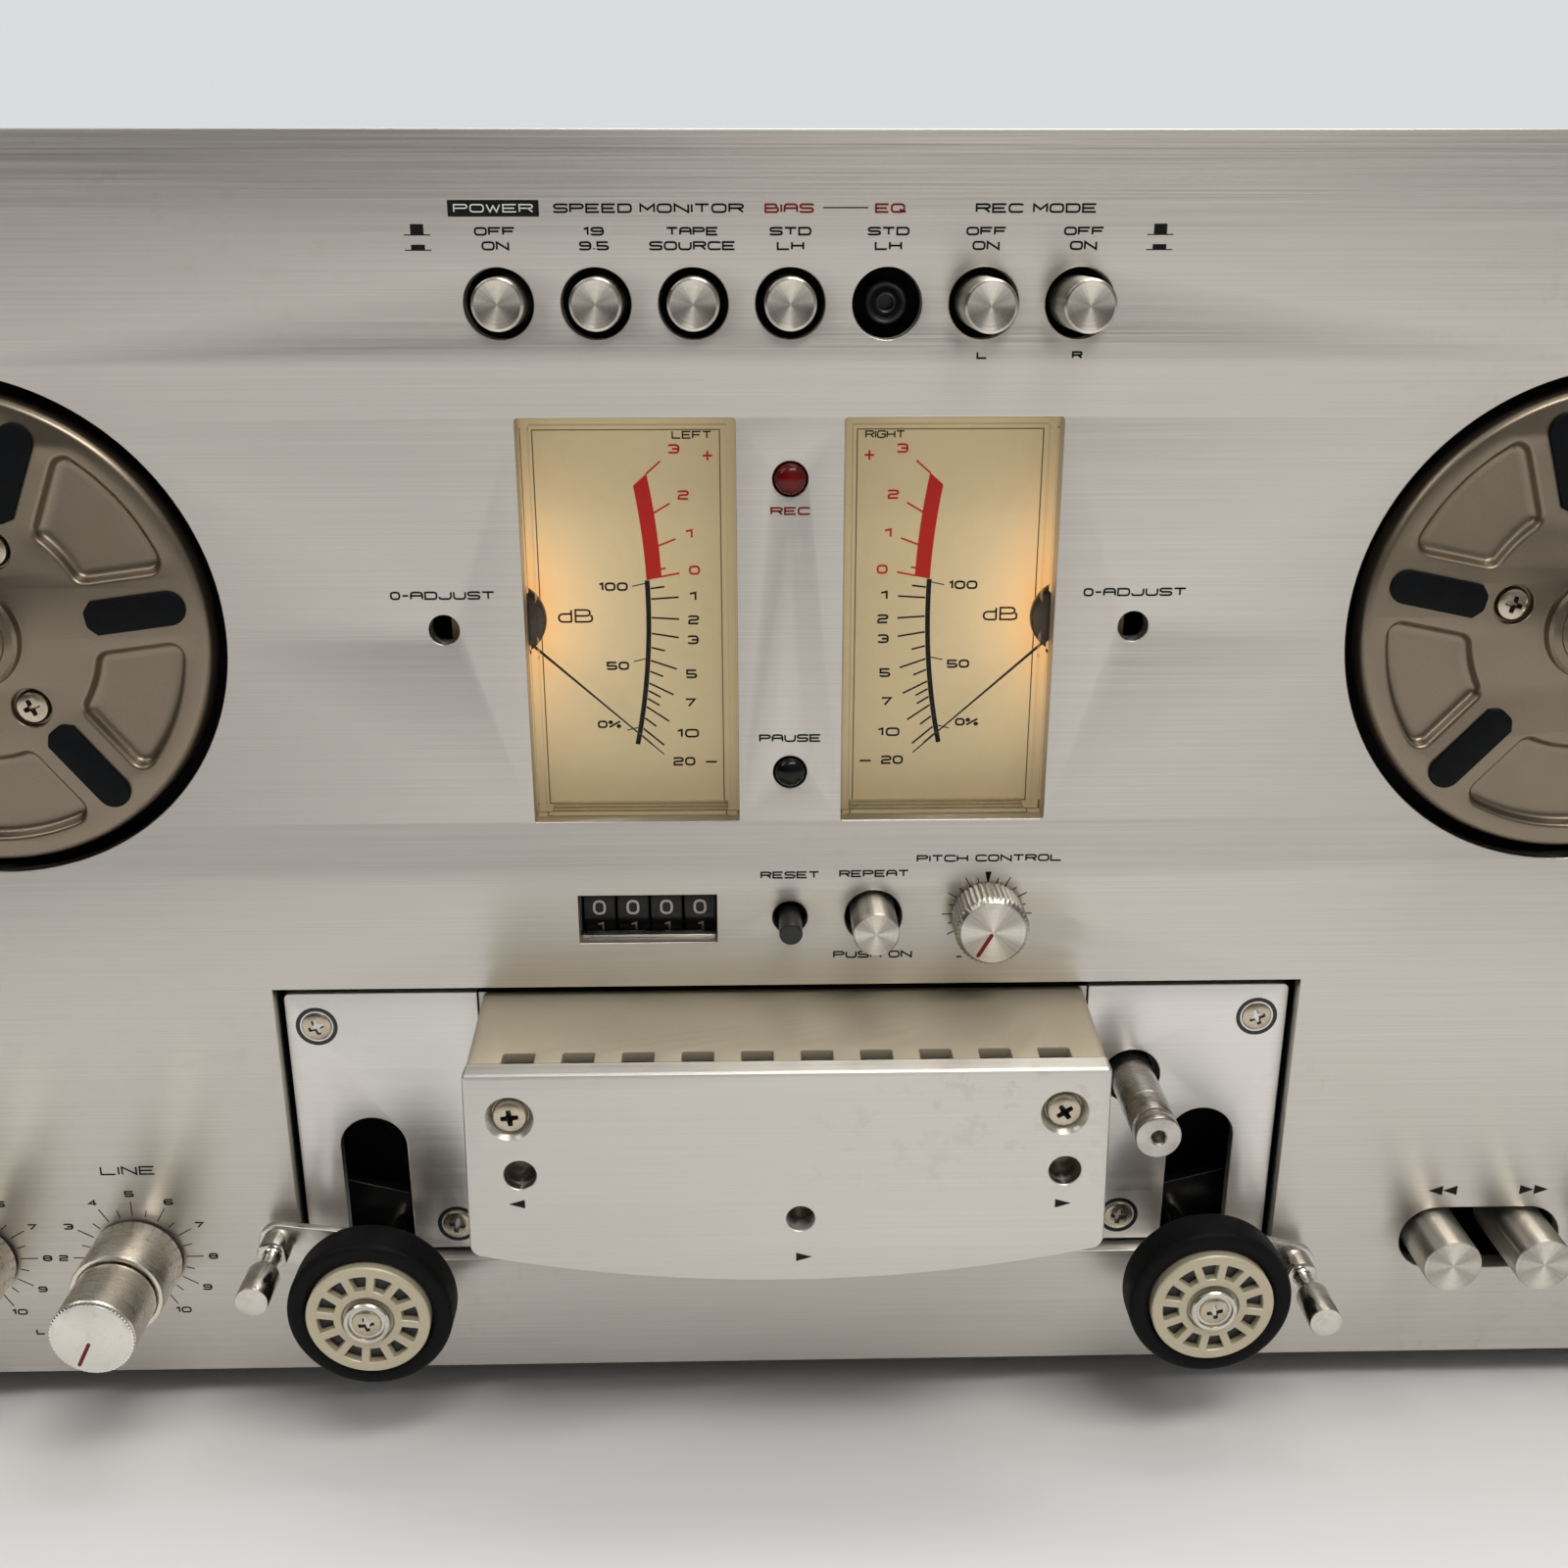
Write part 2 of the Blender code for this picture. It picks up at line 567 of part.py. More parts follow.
def as_mesh(curve):
    """Turn a curve object into a mesh object whose caps are welded on."""
    depsgraph = bpy.context.evaluated_depsgraph_get()
    mesh = bpy.data.meshes.new_from_object(curve.evaluated_get(depsgraph))
    shape = bmesh.new()
    shape.from_mesh(mesh)
    bmesh.ops.remove_doubles(shape, verts=shape.verts, dist=WELD)
    shape.to_mesh(mesh)
    shape.free()
    solid = bpy.data.objects.new(curve.name, mesh)
    bpy.context.scene.collection.objects.link(solid)
    solid.matrix_world = curve.matrix_world
    bpy.data.objects.remove(curve, do_unlink=True)
    return solid


def sheet(outlines, back, front):
    """A flat piece between two depths; outlines inside the first one are holes."""
    curve = bpy.data.curves.new("outline", "CURVE")
    curve.dimensions = "2D"
    curve.fill_mode = "BOTH"
    curve.extrude = (front - back) / 2
    for points in outlines:
        spline = curve.splines.new("POLY")
        spline.points.add(len(points) - 1)
        for point, (x, y) in zip(spline.points, points):
            point.co = (x, y, 0, 1)
        spline.use_cyclic_u = True
    obj = bpy.data.objects.new("outline", curve)
    bpy.context.scene.collection.objects.link(obj)
    bpy.context.view_layer.update()
    solid = as_mesh(obj)
    solid.data.transform(Matrix.Translation((0, 0, (front + back) / 2)))
    return solid


def revolve(profile, steps, closed=False):
    """Turn a profile of (radius, height) points, listed down its outer side, round z."""
    mesh = bpy.data.meshes.new("profile")
    edges = [(index, index + 1) for index in range(len(profile) - 1)]
    if closed:
        edges.append((len(profile) - 1, 0))
    mesh.from_pydata([(radius, 0, height) for radius, height in profile], edges, [])
    obj = bpy.data.objects.new("profile", mesh)
    bpy.context.scene.collection.objects.link(obj)
    screw = obj.modifiers.new("Turn", "SCREW")
    screw.axis = "Z"
    screw.angle = FULL_TURN
    screw.steps = steps
    screw.render_steps = steps
    screw.use_merge_vertices = True
    screw.merge_threshold = WELD
    return settle(obj)


def block(left, right, bottom, top, back, front):
    """A box between three pairs of planes."""
    bpy.ops.mesh.primitive_cube_add(size=1)
    obj = bpy.context.object
    size = Vector((right - left, top - bottom, front - back))
    middle = Vector((right + left, top + bottom, front + back)) / 2
    obj.data.transform(Matrix.Translation(middle) @ Matrix.Diagonal((*size, 1)))
    return obj


def post(x, y, radius, back, front, steps=HIDDEN_STEPS):
    return sheet([circle(x, y, radius, steps)], back, front)


def settle(obj):
    """Apply an object's modifiers."""
    bpy.context.view_layer.update()
    depsgraph = bpy.context.evaluated_depsgraph_get()
    mesh = bpy.data.meshes.new_from_object(obj.evaluated_get(depsgraph))
    obj.modifiers.clear()
    obj.data = mesh
    return obj


def gather(objects):
    """Put separate closed shapes into one mesh object."""
    shape = bmesh.new()
    for obj in objects:
        if obj.modifiers:
            settle(obj)
        obj.data.transform(obj.matrix_basis)
        shape.from_mesh(obj.data)
    mesh = bpy.data.meshes.new("gathered")
    shape.to_mesh(mesh)
    shape.free()
    whole = bpy.data.objects.new("gathered", mesh)
    bpy.context.scene.collection.objects.link(whole)
    for obj in objects:
        bpy.data.objects.remove(obj, do_unlink=True)
    return whole


def combine(obj, tools, operation):
    """Join the tools to the piece, or cut them out of it."""
    tool = gather(tools)
    tool.name = "cutter"
    tool.display_type = "WIRE"
    tool.hide_render = True
    move_to(tool, CUTTERS)
    tool.parent = FRAME
    boolean = obj.modifiers.new(operation.title(), "BOOLEAN")
    boolean.operation = operation
    boolean.solver = "EXACT"
    boolean.object = tool
    return tool


def join(obj, tools):
    return combine(obj, tools, "UNION")


def cut(obj, tools):
    return combine(obj, tools, "DIFFERENCE")


def carry_tools(obj, tools):
    """Move the tools with the piece they work on."""
    for tool in tools:
        tool.location = obj.location
        tool.rotation_euler = obj.rotation_euler


# Places that several pieces share

def top_button_places():
    half = (TOP_BUTTON_COUNT - 1) / 2
    return [(index - half) * TOP_BUTTON_PITCH for index in range(TOP_BUTTON_COUNT)]


def transport_slots():
    """Each slot as its left end, its right end and its buttons' places."""
    slots = []
    left = TRANSPORT_START
    end_radius = TRANSPORT_RADIUS + TRANSPORT_CLEARANCE
    for count in TRANSPORT_GROUPS:
        places = [left + end_radius + index * TRANSPORT_PITCH for index in range(count)]
        right = places[-1] + end_radius
        slots.append((left, right, places))
        left = right + TRANSPORT_SPACE
    return slots


def stem_places():
    places = [(x, TOP_BUTTON_HEIGHT) for x in top_button_places()]
    for left, right, columns in transport_slots():
        places += [(x, TRANSPORT_HEIGHT) for x in columns]
    return places + [(RESET_OFFSET, CONTROL_HEIGHT), (REPEAT_OFFSET, CONTROL_HEIGHT)]


def jack_places():
    return [JACK_START + index * JACK_PITCH for index in range(JACK_COUNT)]


def drum_pitch():
    return DRUM_WIDTH + RUN_GAP


def drum_places():
    half = (DRUM_COUNT - 1) / 2
    return [COUNTER_OFFSET + (index - half) * drum_pitch() for index in range(DRUM_COUNT)]


def counter_inner_width():
    return DRUM_COUNT * drum_pitch() + RUN_GAP


def drum_axis_depth():
    return BEHIND_PANEL - DRUM_SETBACK - DRUM_RADIUS


# Front panel and the plates of the recess

def recess_outline():
    """The recess, with a round notch at each roller shaft."""
    notch = ROLLER_SHAFT_RADIUS + NOTCH_GAP
    points = []
    for side in (-1, 1):
        centre = side * ROLLER_OFFSET
        points.append((centre - notch, RECESS_BOTTOM))
        drop = arc(centre, ROLLER_HEIGHT, notch, math.pi, FULL_TURN, SMALL_STEPS // 2)
        points += [(x, y) for x, y in drop if y < RECESS_BOTTOM]
        points.append((centre + notch, RECESS_BOTTOM))
    left_low = (-RECESS_HALF_WIDTH, RECESS_BOTTOM)
    right_low = (RECESS_HALF_WIDTH, RECESS_BOTTOM)
    right_high = (RECESS_HALF_WIDTH, RECESS_TOP)
    left_high = (-RECESS_HALF_WIDTH, RECESS_TOP)
    return [left_low] + points + [right_low, right_high, left_high]


def make_front_panel():
    half = PANEL_WIDTH / 2
    outlines = [rectangle(-half, 0, half, PANEL_HEIGHT), recess_outline()]
    for side in (-1, 1):
        outlines.append(circle(side * REEL_OFFSET, REEL_HEIGHT, TABLE_RADIUS + TABLE_GAP, FINE_STEPS))
        middle = side * METER_OFFSET
        low = METER_HEIGHT - METER_WINDOW_TALL / 2
        high = METER_HEIGHT + METER_WINDOW_TALL / 2
        half_window = METER_WINDOW_WIDTH / 2
        outlines.append(rectangle(middle - half_window, low, middle + half_window, high))
        outlines.append(circle(side * ZERO_HOLE_OFFSET, ZERO_HOLE_HEIGHT, ZERO_HOLE_RADIUS, SMALL_STEPS))
    for x in top_button_places():
        hole = TOP_BUTTON_RADIUS + TOP_BUTTON_CLEARANCE
        outlines.append(circle(x, TOP_BUTTON_HEIGHT, hole, HOLE_STEPS))
    for left, right, places in transport_slots():
        radius = TRANSPORT_RADIUS + TRANSPORT_CLEARANCE
        outlines.append(pill(left, right, TRANSPORT_HEIGHT, radius, HOLE_STEPS // 2))
    for y in (REC_LAMP_HEIGHT, PAUSE_LAMP_HEIGHT):
        outlines.append(bore_ring(0, y, LAMP_RADIUS + LAMP_CLEARANCE, SMALL_STEPS))
    half_counter = counter_inner_width() / 2
    half_tall = COUNTER_WINDOW_TALL / 2
    outlines.append(rectangle(COUNTER_OFFSET - half_counter, COUNTER_HEIGHT - half_tall,
                              COUNTER_OFFSET + half_counter, COUNTER_HEIGHT + half_tall))
    outlines.append(circle(RESET_OFFSET, CONTROL_HEIGHT, RESET_RADIUS + RESET_CLEARANCE, SMALL_STEPS))
    outlines.append(circle(REPEAT_OFFSET, CONTROL_HEIGHT, REPEAT_RADIUS + REPEAT_CLEARANCE, HOLE_STEPS))
    outlines.append(bore_ring(PITCH_OFFSET, PITCH_HEIGHT, KNOB_SHAFT_RADIUS + RUN_GAP, SMALL_STEPS))
    for x in (LINE_OFFSET, MIC_OFFSET):
        outlines.append(bore_ring(x, LEVEL_HEIGHT, LEVEL_SLEEVE_RADIUS + RUN_GAP, SMALL_STEPS))
    for x in jack_places():
        outlines.append(bore_ring(x, JACK_HEIGHT, JACK_RADIUS + SEAT_GAP, SMALL_STEPS))
    finish(sheet(outlines, PANEL_BACK, 0), "front_panel", ALUMINIUM)


def deck_plate_edges():
    """Bottom, top and outer edge of the deck plates."""
    return RECESS_BOTTOM + RECESS_GAP, RECESS_TOP - RECESS_TOP_GAP, RECESS_HALF_WIDTH - RECESS_GAP


def make_deck_plate(side, name):
    bottom, top, outer = deck_plate_edges()
    inner = HEAD_HALF_WIDTH + side * HEAD_CENTRE + RECESS_GAP
    left_leg = DECK_SLOT_OFFSET - DECK_SLOT_RADIUS
    right_leg = DECK_SLOT_OFFSET + DECK_SLOT_RADIUS
    slot_centre = DECK_SLOT_TOP - DECK_SLOT_RADIUS
    slot_top = arc(DECK_SLOT_OFFSET, slot_centre, DECK_SLOT_RADIUS, math.pi, 0, SMALL_STEPS)
    outline = [(inner, bottom), (left_leg, bottom)] + slot_top
    outline += [(right_leg, bottom), (outer, bottom), (outer, top), (inner, top)]
    outlines = [mirrored(outline, side)]
    if side > 0:
        outlines.append(circle(CAPSTAN_OFFSET, CAPSTAN_HEIGHT, CAPSTAN_GAP_HOLE, HUB_STEPS))
    plate = sheet(outlines, DECK_BACK, DECK_FRONT)
    back = MECH_FRONT + SEAT_GAP
    front = DECK_BACK + FUSE
    places = ((DECK_SCREW_HIGH_OFFSET, DECK_SCREW_HIGH), (DECK_SCREW_LOW_OFFSET, DECK_SCREW_LOW))
    join(plate, [post(side * x, y, DECK_POST_RADIUS, back, front) for x, y in places])
    finish(plate, name, ALUMINIUM)


# Plate, case and drives behind the panel

def mech_posts():
    """Posts, bearing and pivot pins that stand on the mechanism plate."""
    back = MECH_FRONT - FUSE
    front = PANEL_BACK - SEAT_GAP
    outer = PANEL_WIDTH / 2 - MECH_POST_INSET
    posts = []
    for side in (-1, 1):
        corners = ((outer, MECH_POST_HIGH), (outer, MECH_POST_LOW), (MECH_POST_FOOT_OFFSET, MECH_POST_FOOT))
        for x, y in corners:
            posts.append(post(side * x, y, MECH_POST_RADIUS, back, front))
        pin_front = -ARM_SETBACK + ARM_THICK
        posts.append(post(side * ARM_PIVOT_OFFSET, ARM_PIVOT_HEIGHT, ARM_PIN_RADIUS, back, pin_front))
    bearing = sheet([circle(CAPSTAN_OFFSET, CAPSTAN_HEIGHT, CAPSTAN_BEARING_RADIUS, SMALL_STEPS),
                     bore_ring(CAPSTAN_OFFSET, CAPSTAN_HEIGHT, CAPSTAN_RADIUS + RUN_GAP, SMALL_STEPS)],
                    back, DECK_BACK - SEAT_GAP)
    return posts + [bearing]


def make_mechanism_plate():
    half = PANEL_WIDTH / 2 - COVER_INSET - SHEET - 2 * SEAT_GAP
    outlines = [rectangle(-half, PAN_FLOOR + SEAT_GAP, half, PANEL_HEIGHT - MECH_TOP_MARGIN)]
    meter_left = METER_OFFSET + METER_WINDOW_WIDTH / 2 + METER_CASE_OUTER + SEAT_GAP
    half_tall = METER_WINDOW_TALL / 2 + METER_CASE_MARGIN + SEAT_GAP
    outlines.append(rectangle(-meter_left, METER_HEIGHT - half_tall, meter_left, METER_HEIGHT + half_tall))
    for side in (-1, 1):
        hole = REEL_SHAFT_RADIUS + RUN_GAP
        outlines.append(bore_ring(side * REEL_OFFSET, REEL_HEIGHT, hole, HIDDEN_STEPS))
    outlines.append(bore_ring(PITCH_OFFSET, PITCH_HEIGHT, KNOB_SHAFT_RADIUS + RUN_GAP, HIDDEN_STEPS))
    for x in (LINE_OFFSET, MIC_OFFSET):
        outlines.append(bore_ring(x, LEVEL_HEIGHT, LEVEL_SLEEVE_BORE, HIDDEN_STEPS))
    bearing_seat = (CAPSTAN_RADIUS + RUN_GAP + CAPSTAN_BEARING_RADIUS) / 2
    outlines.append(circle(CAPSTAN_OFFSET, CAPSTAN_HEIGHT, bearing_seat, HIDDEN_STEPS))
    plate = sheet(outlines, MECH_BACK, MECH_FRONT)
    cut(plate, [block(x - STEM_HOLE_HALF, x + STEM_HOLE_HALF, y - STEM_HOLE_HALF, y + STEM_HOLE_HALF,
                      MECH_BACK - OVERRUN, MECH_FRONT + OVERRUN) for x, y in stem_places()])
    join(plate, mech_posts())
    finish(plate, "mechanism_plate", STEEL)


def side_section(points, half_width):
    """A folded sheet seen from the side, given as (out, up) points, drawn across the deck."""
    solid = sheet([points], -half_width, half_width)
    turn = Matrix.Rotation(-QUARTER_TURN, 4, "Y")
    solid.data.transform(turn)
    return solid


def make_bottom_pan():
    """Front lip, floor and rear wall folded from one sheet, with feet, sockets and the cord gland."""
    half = PANEL_WIDTH / 2 - COVER_INSET - SHEET - SEAT_GAP
    top = PANEL_HEIGHT - COVER_TOP_MARGIN - SHEET - SEAT_GAP
    section = [(BEHIND_PANEL, PAN_LIFT), (BEHIND_PANEL, PAN_LIP), (BEHIND_PANEL - SHEET, PAN_LIP),
               (BEHIND_PANEL - SHEET, PAN_FLOOR), (CASE_BACK + SHEET, PAN_FLOOR), (CASE_BACK + SHEET, top),
               (CASE_BACK, top), (CASE_BACK, PAN_LIFT)]
    pan = side_section(section, half)
    feet = []
    for x in (-half + FOOT_INSET, half - FOOT_INSET):
        for z in (BEHIND_PANEL - FOOT_INSET, CASE_BACK + FOOT_INSET):
            foot = revolve([(0, PAN_LIFT + FUSE), (FOOT_RADIUS, PAN_LIFT + FUSE),
                            (FOOT_RADIUS - SHEET, -FOOT_HEIGHT), (0, -FOOT_HEIGHT)], BUTTON_STEPS)
            foot.rotation_euler = (-QUARTER_TURN, 0, 0)
            feet.append(place(foot, x, 0, z))
    rear = []
    for column in (0, 1):
        for row in (0, 1):
            x = -SOCKET_OFFSET + column * SOCKET_PITCH
            y = SOCKET_HEIGHT + row * SOCKET_PITCH
            socket = rear_boss(SOCKET_RADIUS, SOCKET_BORE, SOCKET_FLANGE_RADIUS, SOCKET_PROUD)
            rear.append(place(socket, x, y, CASE_BACK))
    rear.append(place(rear_boss(GLAND_RADIUS, GLAND_BORE, GLAND_RADIUS + SOCKET_FLANGE, GLAND_PROUD),
                      GLAND_OFFSET, GLAND_HEIGHT, CASE_BACK))
    join(pan, feet + rear)
    finish(pan, "bottom_pan", DARK_SHEET)


def rear_boss(radius, bore, flange_radius, proud):
    """A flanged barrel with a blind bore that stands on the rear wall."""
    profile = [(0, FUSE), (flange_radius, FUSE), (flange_radius, -SOCKET_FLANGE), (radius, -SOCKET_FLANGE),
               (radius, -proud), (bore, -proud), (bore, -SOCKET_FLANGE), (0, -SOCKET_FLANGE)]
    return revolve(profile, HIDDEN_STEPS)


def make_top_cover():
    """A folded cover over the top and both sides, with rows of vents."""
    outer = PANEL_WIDTH / 2 - COVER_INSET
    top = PANEL_HEIGHT - COVER_TOP_MARGIN
    inner = outer - SHEET
    section = [(-outer, PAN_LIFT), (-inner, PAN_LIFT), (-inner, top - SHEET), (inner, top - SHEET),
               (inner, PAN_LIFT), (outer, PAN_LIFT), (outer, top), (-outer, top)]
    cover = sheet([section], CASE_BACK, BEHIND_PANEL)
    vents = []
    half = (VENT_COUNT - 1) / 2
    for side in (-1, 1):
        for index in range(VENT_COUNT):
            x = side * VENT_GROUP_OFFSET + (index - half) * VENT_PITCH
            front = BEHIND_PANEL - VENT_FRONT
            vents.append(block(x - VENT_WIDTH / 2, x + VENT_WIDTH / 2, top - SHEET - OVERRUN, top + OVERRUN,
                               front - VENT_LENGTH, front))
    cut(cover, vents)
    finish(cover, "top_cover", DARK_SHEET)


def motor_profile(radius, length, step, bore, bore_depth):
    """A motor can with a blind bore for its shaft in front and a stepped rear end."""
    return [(0, -bore_depth), (bore, -bore_depth), (bore, 0), (radius, 0), (radius, step - length),
            (radius - step, -length), (MOTOR_CAP_RADIUS, -length), (MOTOR_CAP_RADIUS, -length - MOTOR_CAP),
            (0, -length - MOTOR_CAP)]


def make_reel_motor(side, name):
    bore = REEL_SHAFT_RADIUS + RUN_GAP
    profile = motor_profile(REEL_MOTOR_RADIUS, REEL_MOTOR_LENGTH, REEL_MOTOR_STEP, bore,
                            REEL_SHAFT_DEPTH + RUN_GAP)
    motor = revolve(profile, KNOB_STEPS)
    finish(motor, name, STEEL)
    place(motor, side * REEL_OFFSET, REEL_HEIGHT, BEHIND_MECH)


def capstan_motor_front():
    return BEHIND_MECH - FLYWHEEL_SETBACK - FLYWHEEL_THICK - FLYWHEEL_SETBACK


def make_capstan_motor():
    bore = CAPSTAN_RADIUS + RUN_GAP
    profile = motor_profile(CAPSTAN_MOTOR_RADIUS, CAPSTAN_MOTOR_LENGTH, REEL_MOTOR_STEP, bore,
                            CAPSTAN_TAIL + RUN_GAP)
    motor = revolve(profile, KNOB_STEPS)
    place(motor, CAPSTAN_OFFSET, CAPSTAN_HEIGHT, capstan_motor_front())
    reach = (FLYWHEEL_RADIUS + CAPSTAN_MOTOR_RADIUS) / 2
    posts = []
    for index in range(MOTOR_POST_COUNT):
        angle = FULL_TURN * index / MOTOR_POST_COUNT + QUARTER_TURN
        posts.append(post(reach * math.cos(angle), reach * math.sin(angle), MOTOR_POST_RADIUS,
                          -FUSE, BEHIND_MECH - capstan_motor_front()))
    tool = join(motor, posts)
    finish(motor, "capstan_motor", STEEL)
    carry_tools(motor, [tool])


def make_capstan_shaft():
    """Shaft with a tip groove and a centre hole, its flywheel and its tail in the motor."""
    groove_front = CAPSTAN_PROUD - CAPSTAN_GROOVE_SETBACK
    groove_back = groove_front - CAPSTAN_GROOVE_WIDTH
    inner = CAPSTAN_RADIUS - CAPSTAN_GROOVE
    wheel_front = BEHIND_MECH - FLYWHEEL_SETBACK
    wheel_back = wheel_front - FLYWHEEL_THICK
    centre_floor = CAPSTAN_PROUD - CAPSTAN_CENTRE_DEPTH
    tail = capstan_motor_front() - CAPSTAN_TAIL
    profile = [(0, centre_floor), (CAPSTAN_CENTRE_RADIUS, centre_floor),
               (CAPSTAN_CENTRE_RADIUS, CAPSTAN_PROUD), (CAPSTAN_RADIUS, CAPSTAN_PROUD),
               (CAPSTAN_RADIUS, groove_front), (inner, groove_front), (inner, groove_back),
               (CAPSTAN_RADIUS, groove_back), (CAPSTAN_RADIUS, wheel_front), (FLYWHEEL_RADIUS, wheel_front),
               (FLYWHEEL_RADIUS, wheel_back), (CAPSTAN_RADIUS, wheel_back), (CAPSTAN_RADIUS, tail), (0, tail)]
    shaft = revolve(profile, KNOB_STEPS)
    finish(shaft, "capstan_shaft", CHROME)
    place(shaft, CAPSTAN_OFFSET, CAPSTAN_HEIGHT, 0)


def make_transformer():
    """A laminated core with the coil bulging at both faces."""
    back = BEHIND_PANEL - CORE_SETBACK
    front = back + CORE_DEPTH
    bottom = PAN_FLOOR + SEAT_GAP
    left = CORE_OFFSET - CORE_WIDTH / 2
    right = CORE_OFFSET + CORE_WIDTH / 2
    core = block(left, right, bottom, bottom + CORE_TALL, back, front)
    coil = block(left + COIL_MARGIN, right - COIL_MARGIN, bottom + COIL_MARGIN,
                 bottom + CORE_TALL - COIL_MARGIN, back - COIL_BULGE, front + COIL_BULGE)
    bevel = coil.modifiers.new("Round", "BEVEL")
    bevel.width = COIL_MARGIN / 2
    bevel.segments = 2
    join(core, [coil])
    finish(core, "power_transformer", STEEL)


# Reel tables and their locks

def pad_outline(angle):
    """A pad with a round outer end and a pointed inner end, along its spoke."""
    half = PAD_WIDTH / 2
    tip = half / 2
    outer_end = arc(PAD_OUTER - half, 0, half, -QUARTER_TURN, QUARTER_TURN, 3)
    points = [(PAD_INNER, -tip), (PAD_INNER + tip, -half)] + outer_end
    points += [(PAD_INNER + tip, half), (PAD_INNER, tip)]
    return turned(points, angle)


def pocket_outline(angle):
    """The sunk field between two spokes; its sides run parallel to the pads beside it."""
    spoke = math.pi / PAD_COUNT
    sides = []
    for radius in (POCKET_INNER, POCKET_OUTER):
        half_angle = spoke - math.asin(POCKET_SIDE_OFFSET / radius)
        sides.append(half_angle)
    inner_arc = arc(0, 0, POCKET_INNER, sides[0], -sides[0], 2)
    outer_arc = arc(0, 0, POCKET_OUTER, -sides[1], sides[1], 3)
    return turned(inner_arc + outer_arc, angle + spoke)


def spindle_ribs(inner, back, front):
    """Three ribs round the spindle."""
    ribs = []
    for index in range(RIB_COUNT):
        rib = block(inner, RIB_REACH, -RIB_WIDTH / 2, RIB_WIDTH / 2, back, front)
        rib.data.transform(Matrix.Rotation(FULL_TURN * index / RIB_COUNT + QUARTER_TURN, 4, "Z"))
        ribs.append(rib)
    return ribs


def make_reel_table(side, name, pad_angle):
    """Turned disc, hub and spindle, with sunk fields, rubber pads and spindle ribs."""
    back = TABLE_PROUD - TABLE_THICK
    ring_top = TABLE_PROUD + TABLE_RING
    shaft_end = BEHIND_MECH - REEL_SHAFT_DEPTH
    disc = revolve([(0, TABLE_PROUD), (TABLE_RADIUS - TABLE_BEVEL, TABLE_PROUD),
                    (TABLE_RADIUS, TABLE_PROUD - TABLE_BEVEL), (TABLE_RADIUS, back), (0, back)], FINE_STEPS)
    pin_top = SPINDLE_PROUD + SPINDLE_PIN
    hub_back = back - TABLE_BACK
    hub = revolve([(0, pin_top), (SPINDLE_PIN_RADIUS, pin_top), (SPINDLE_PIN_RADIUS, SPINDLE_PROUD),
                   (SPINDLE_RADIUS, SPINDLE_PROUD), (SPINDLE_RADIUS, ring_top), (TABLE_RING_RADIUS, ring_top),
                   (TABLE_RING_RADIUS, 0), (TABLE_BACK_RADIUS, 0), (TABLE_BACK_RADIUS, hub_back),
                   (REEL_SHAFT_RADIUS, hub_back),
                   (REEL_SHAFT_RADIUS, shaft_end), (0, shaft_end)], BUTTON_STEPS)
    hub.rotation_euler = (0, 0, QUARTER_TURN / BUTTON_STEPS)
    spokes = [pad_angle + FULL_TURN * index / PAD_COUNT for index in range(PAD_COUNT)]
    pads = [sheet([pad_outline(angle)], TABLE_PROUD - FUSE, TABLE_PROUD + PAD_PROUD) for angle in spokes]
    floor = TABLE_PROUD - POCKET_DEPTH
    pockets = [sheet([pocket_outline(angle)], floor, TABLE_PROUD + OVERRUN) for angle in spokes]
    ribs = spindle_ribs(SPINDLE_RADIUS / 2, ring_top - FUSE, SPINDLE_PROUD - FUSE)
    tools = [cut(disc, pockets), join(disc, pads), join(disc, [hub]), join(disc, ribs)]
    finish(disc, name, BRONZE)
    place(disc, side * REEL_OFFSET, REEL_HEIGHT, 0)
    carry_tools(disc, tools)


def make_lock_cap(side, name):
    """The spindle's turning top; its ribs line up with the spindle's until it is twisted."""
    bottom = SPINDLE_PROUD + SEAT_GAP
    top = SPINDLE_PROUD + CAP_LENGTH
    bore = SPINDLE_PIN_RADIUS + RUN_GAP
    bore_top = SPINDLE_PROUD + SPINDLE_PIN + RUN_GAP
    cap = revolve([(0, top), (SPINDLE_RADIUS - CAP_DOME, top), (SPINDLE_RADIUS, top - CAP_DOME),
                   (SPINDLE_RADIUS, bottom), (bore, bottom), (bore, bore_top), (0, bore_top)], BUTTON_STEPS)
    middle = (SPINDLE_RADIUS + bore) / 2
    tool = join(cap, spindle_ribs(middle, bottom + FUSE, top - CAP_DOME - FUSE))
    finish(cap, name, BLACK_PLASTIC)
    place(cap, side * REEL_OFFSET, REEL_HEIGHT, 0)
    carry_tools(cap, [tool])


# Meters, lamps and counter

def make_meter_case(side, name):
    """A shell that is open at the front; its floor is the scale plate."""
    inner = METER_OFFSET - METER_WINDOW_WIDTH / 2 - METER_CASE_INNER
    outer = METER_OFFSET + METER_WINDOW_WIDTH / 2 + METER_CASE_OUTER
    half_tall = METER_WINDOW_TALL / 2 + METER_CASE_MARGIN
    left, right = sorted((side * inner, side * outer))
    low = METER_HEIGHT - half_tall
    high = METER_HEIGHT + half_tall
    wall = METER_CASE_WALL
    case = block(left, right, low, high, METER_CASE_FRONT - METER_CASE_DEPTH, METER_CASE_FRONT)
    cut(case, [block(left + wall, right - wall, low + wall, high - wall, METER_SCALE_FACE,
                     METER_CASE_FRONT + OVERRUN)])
    finish(case, name, CREAM)


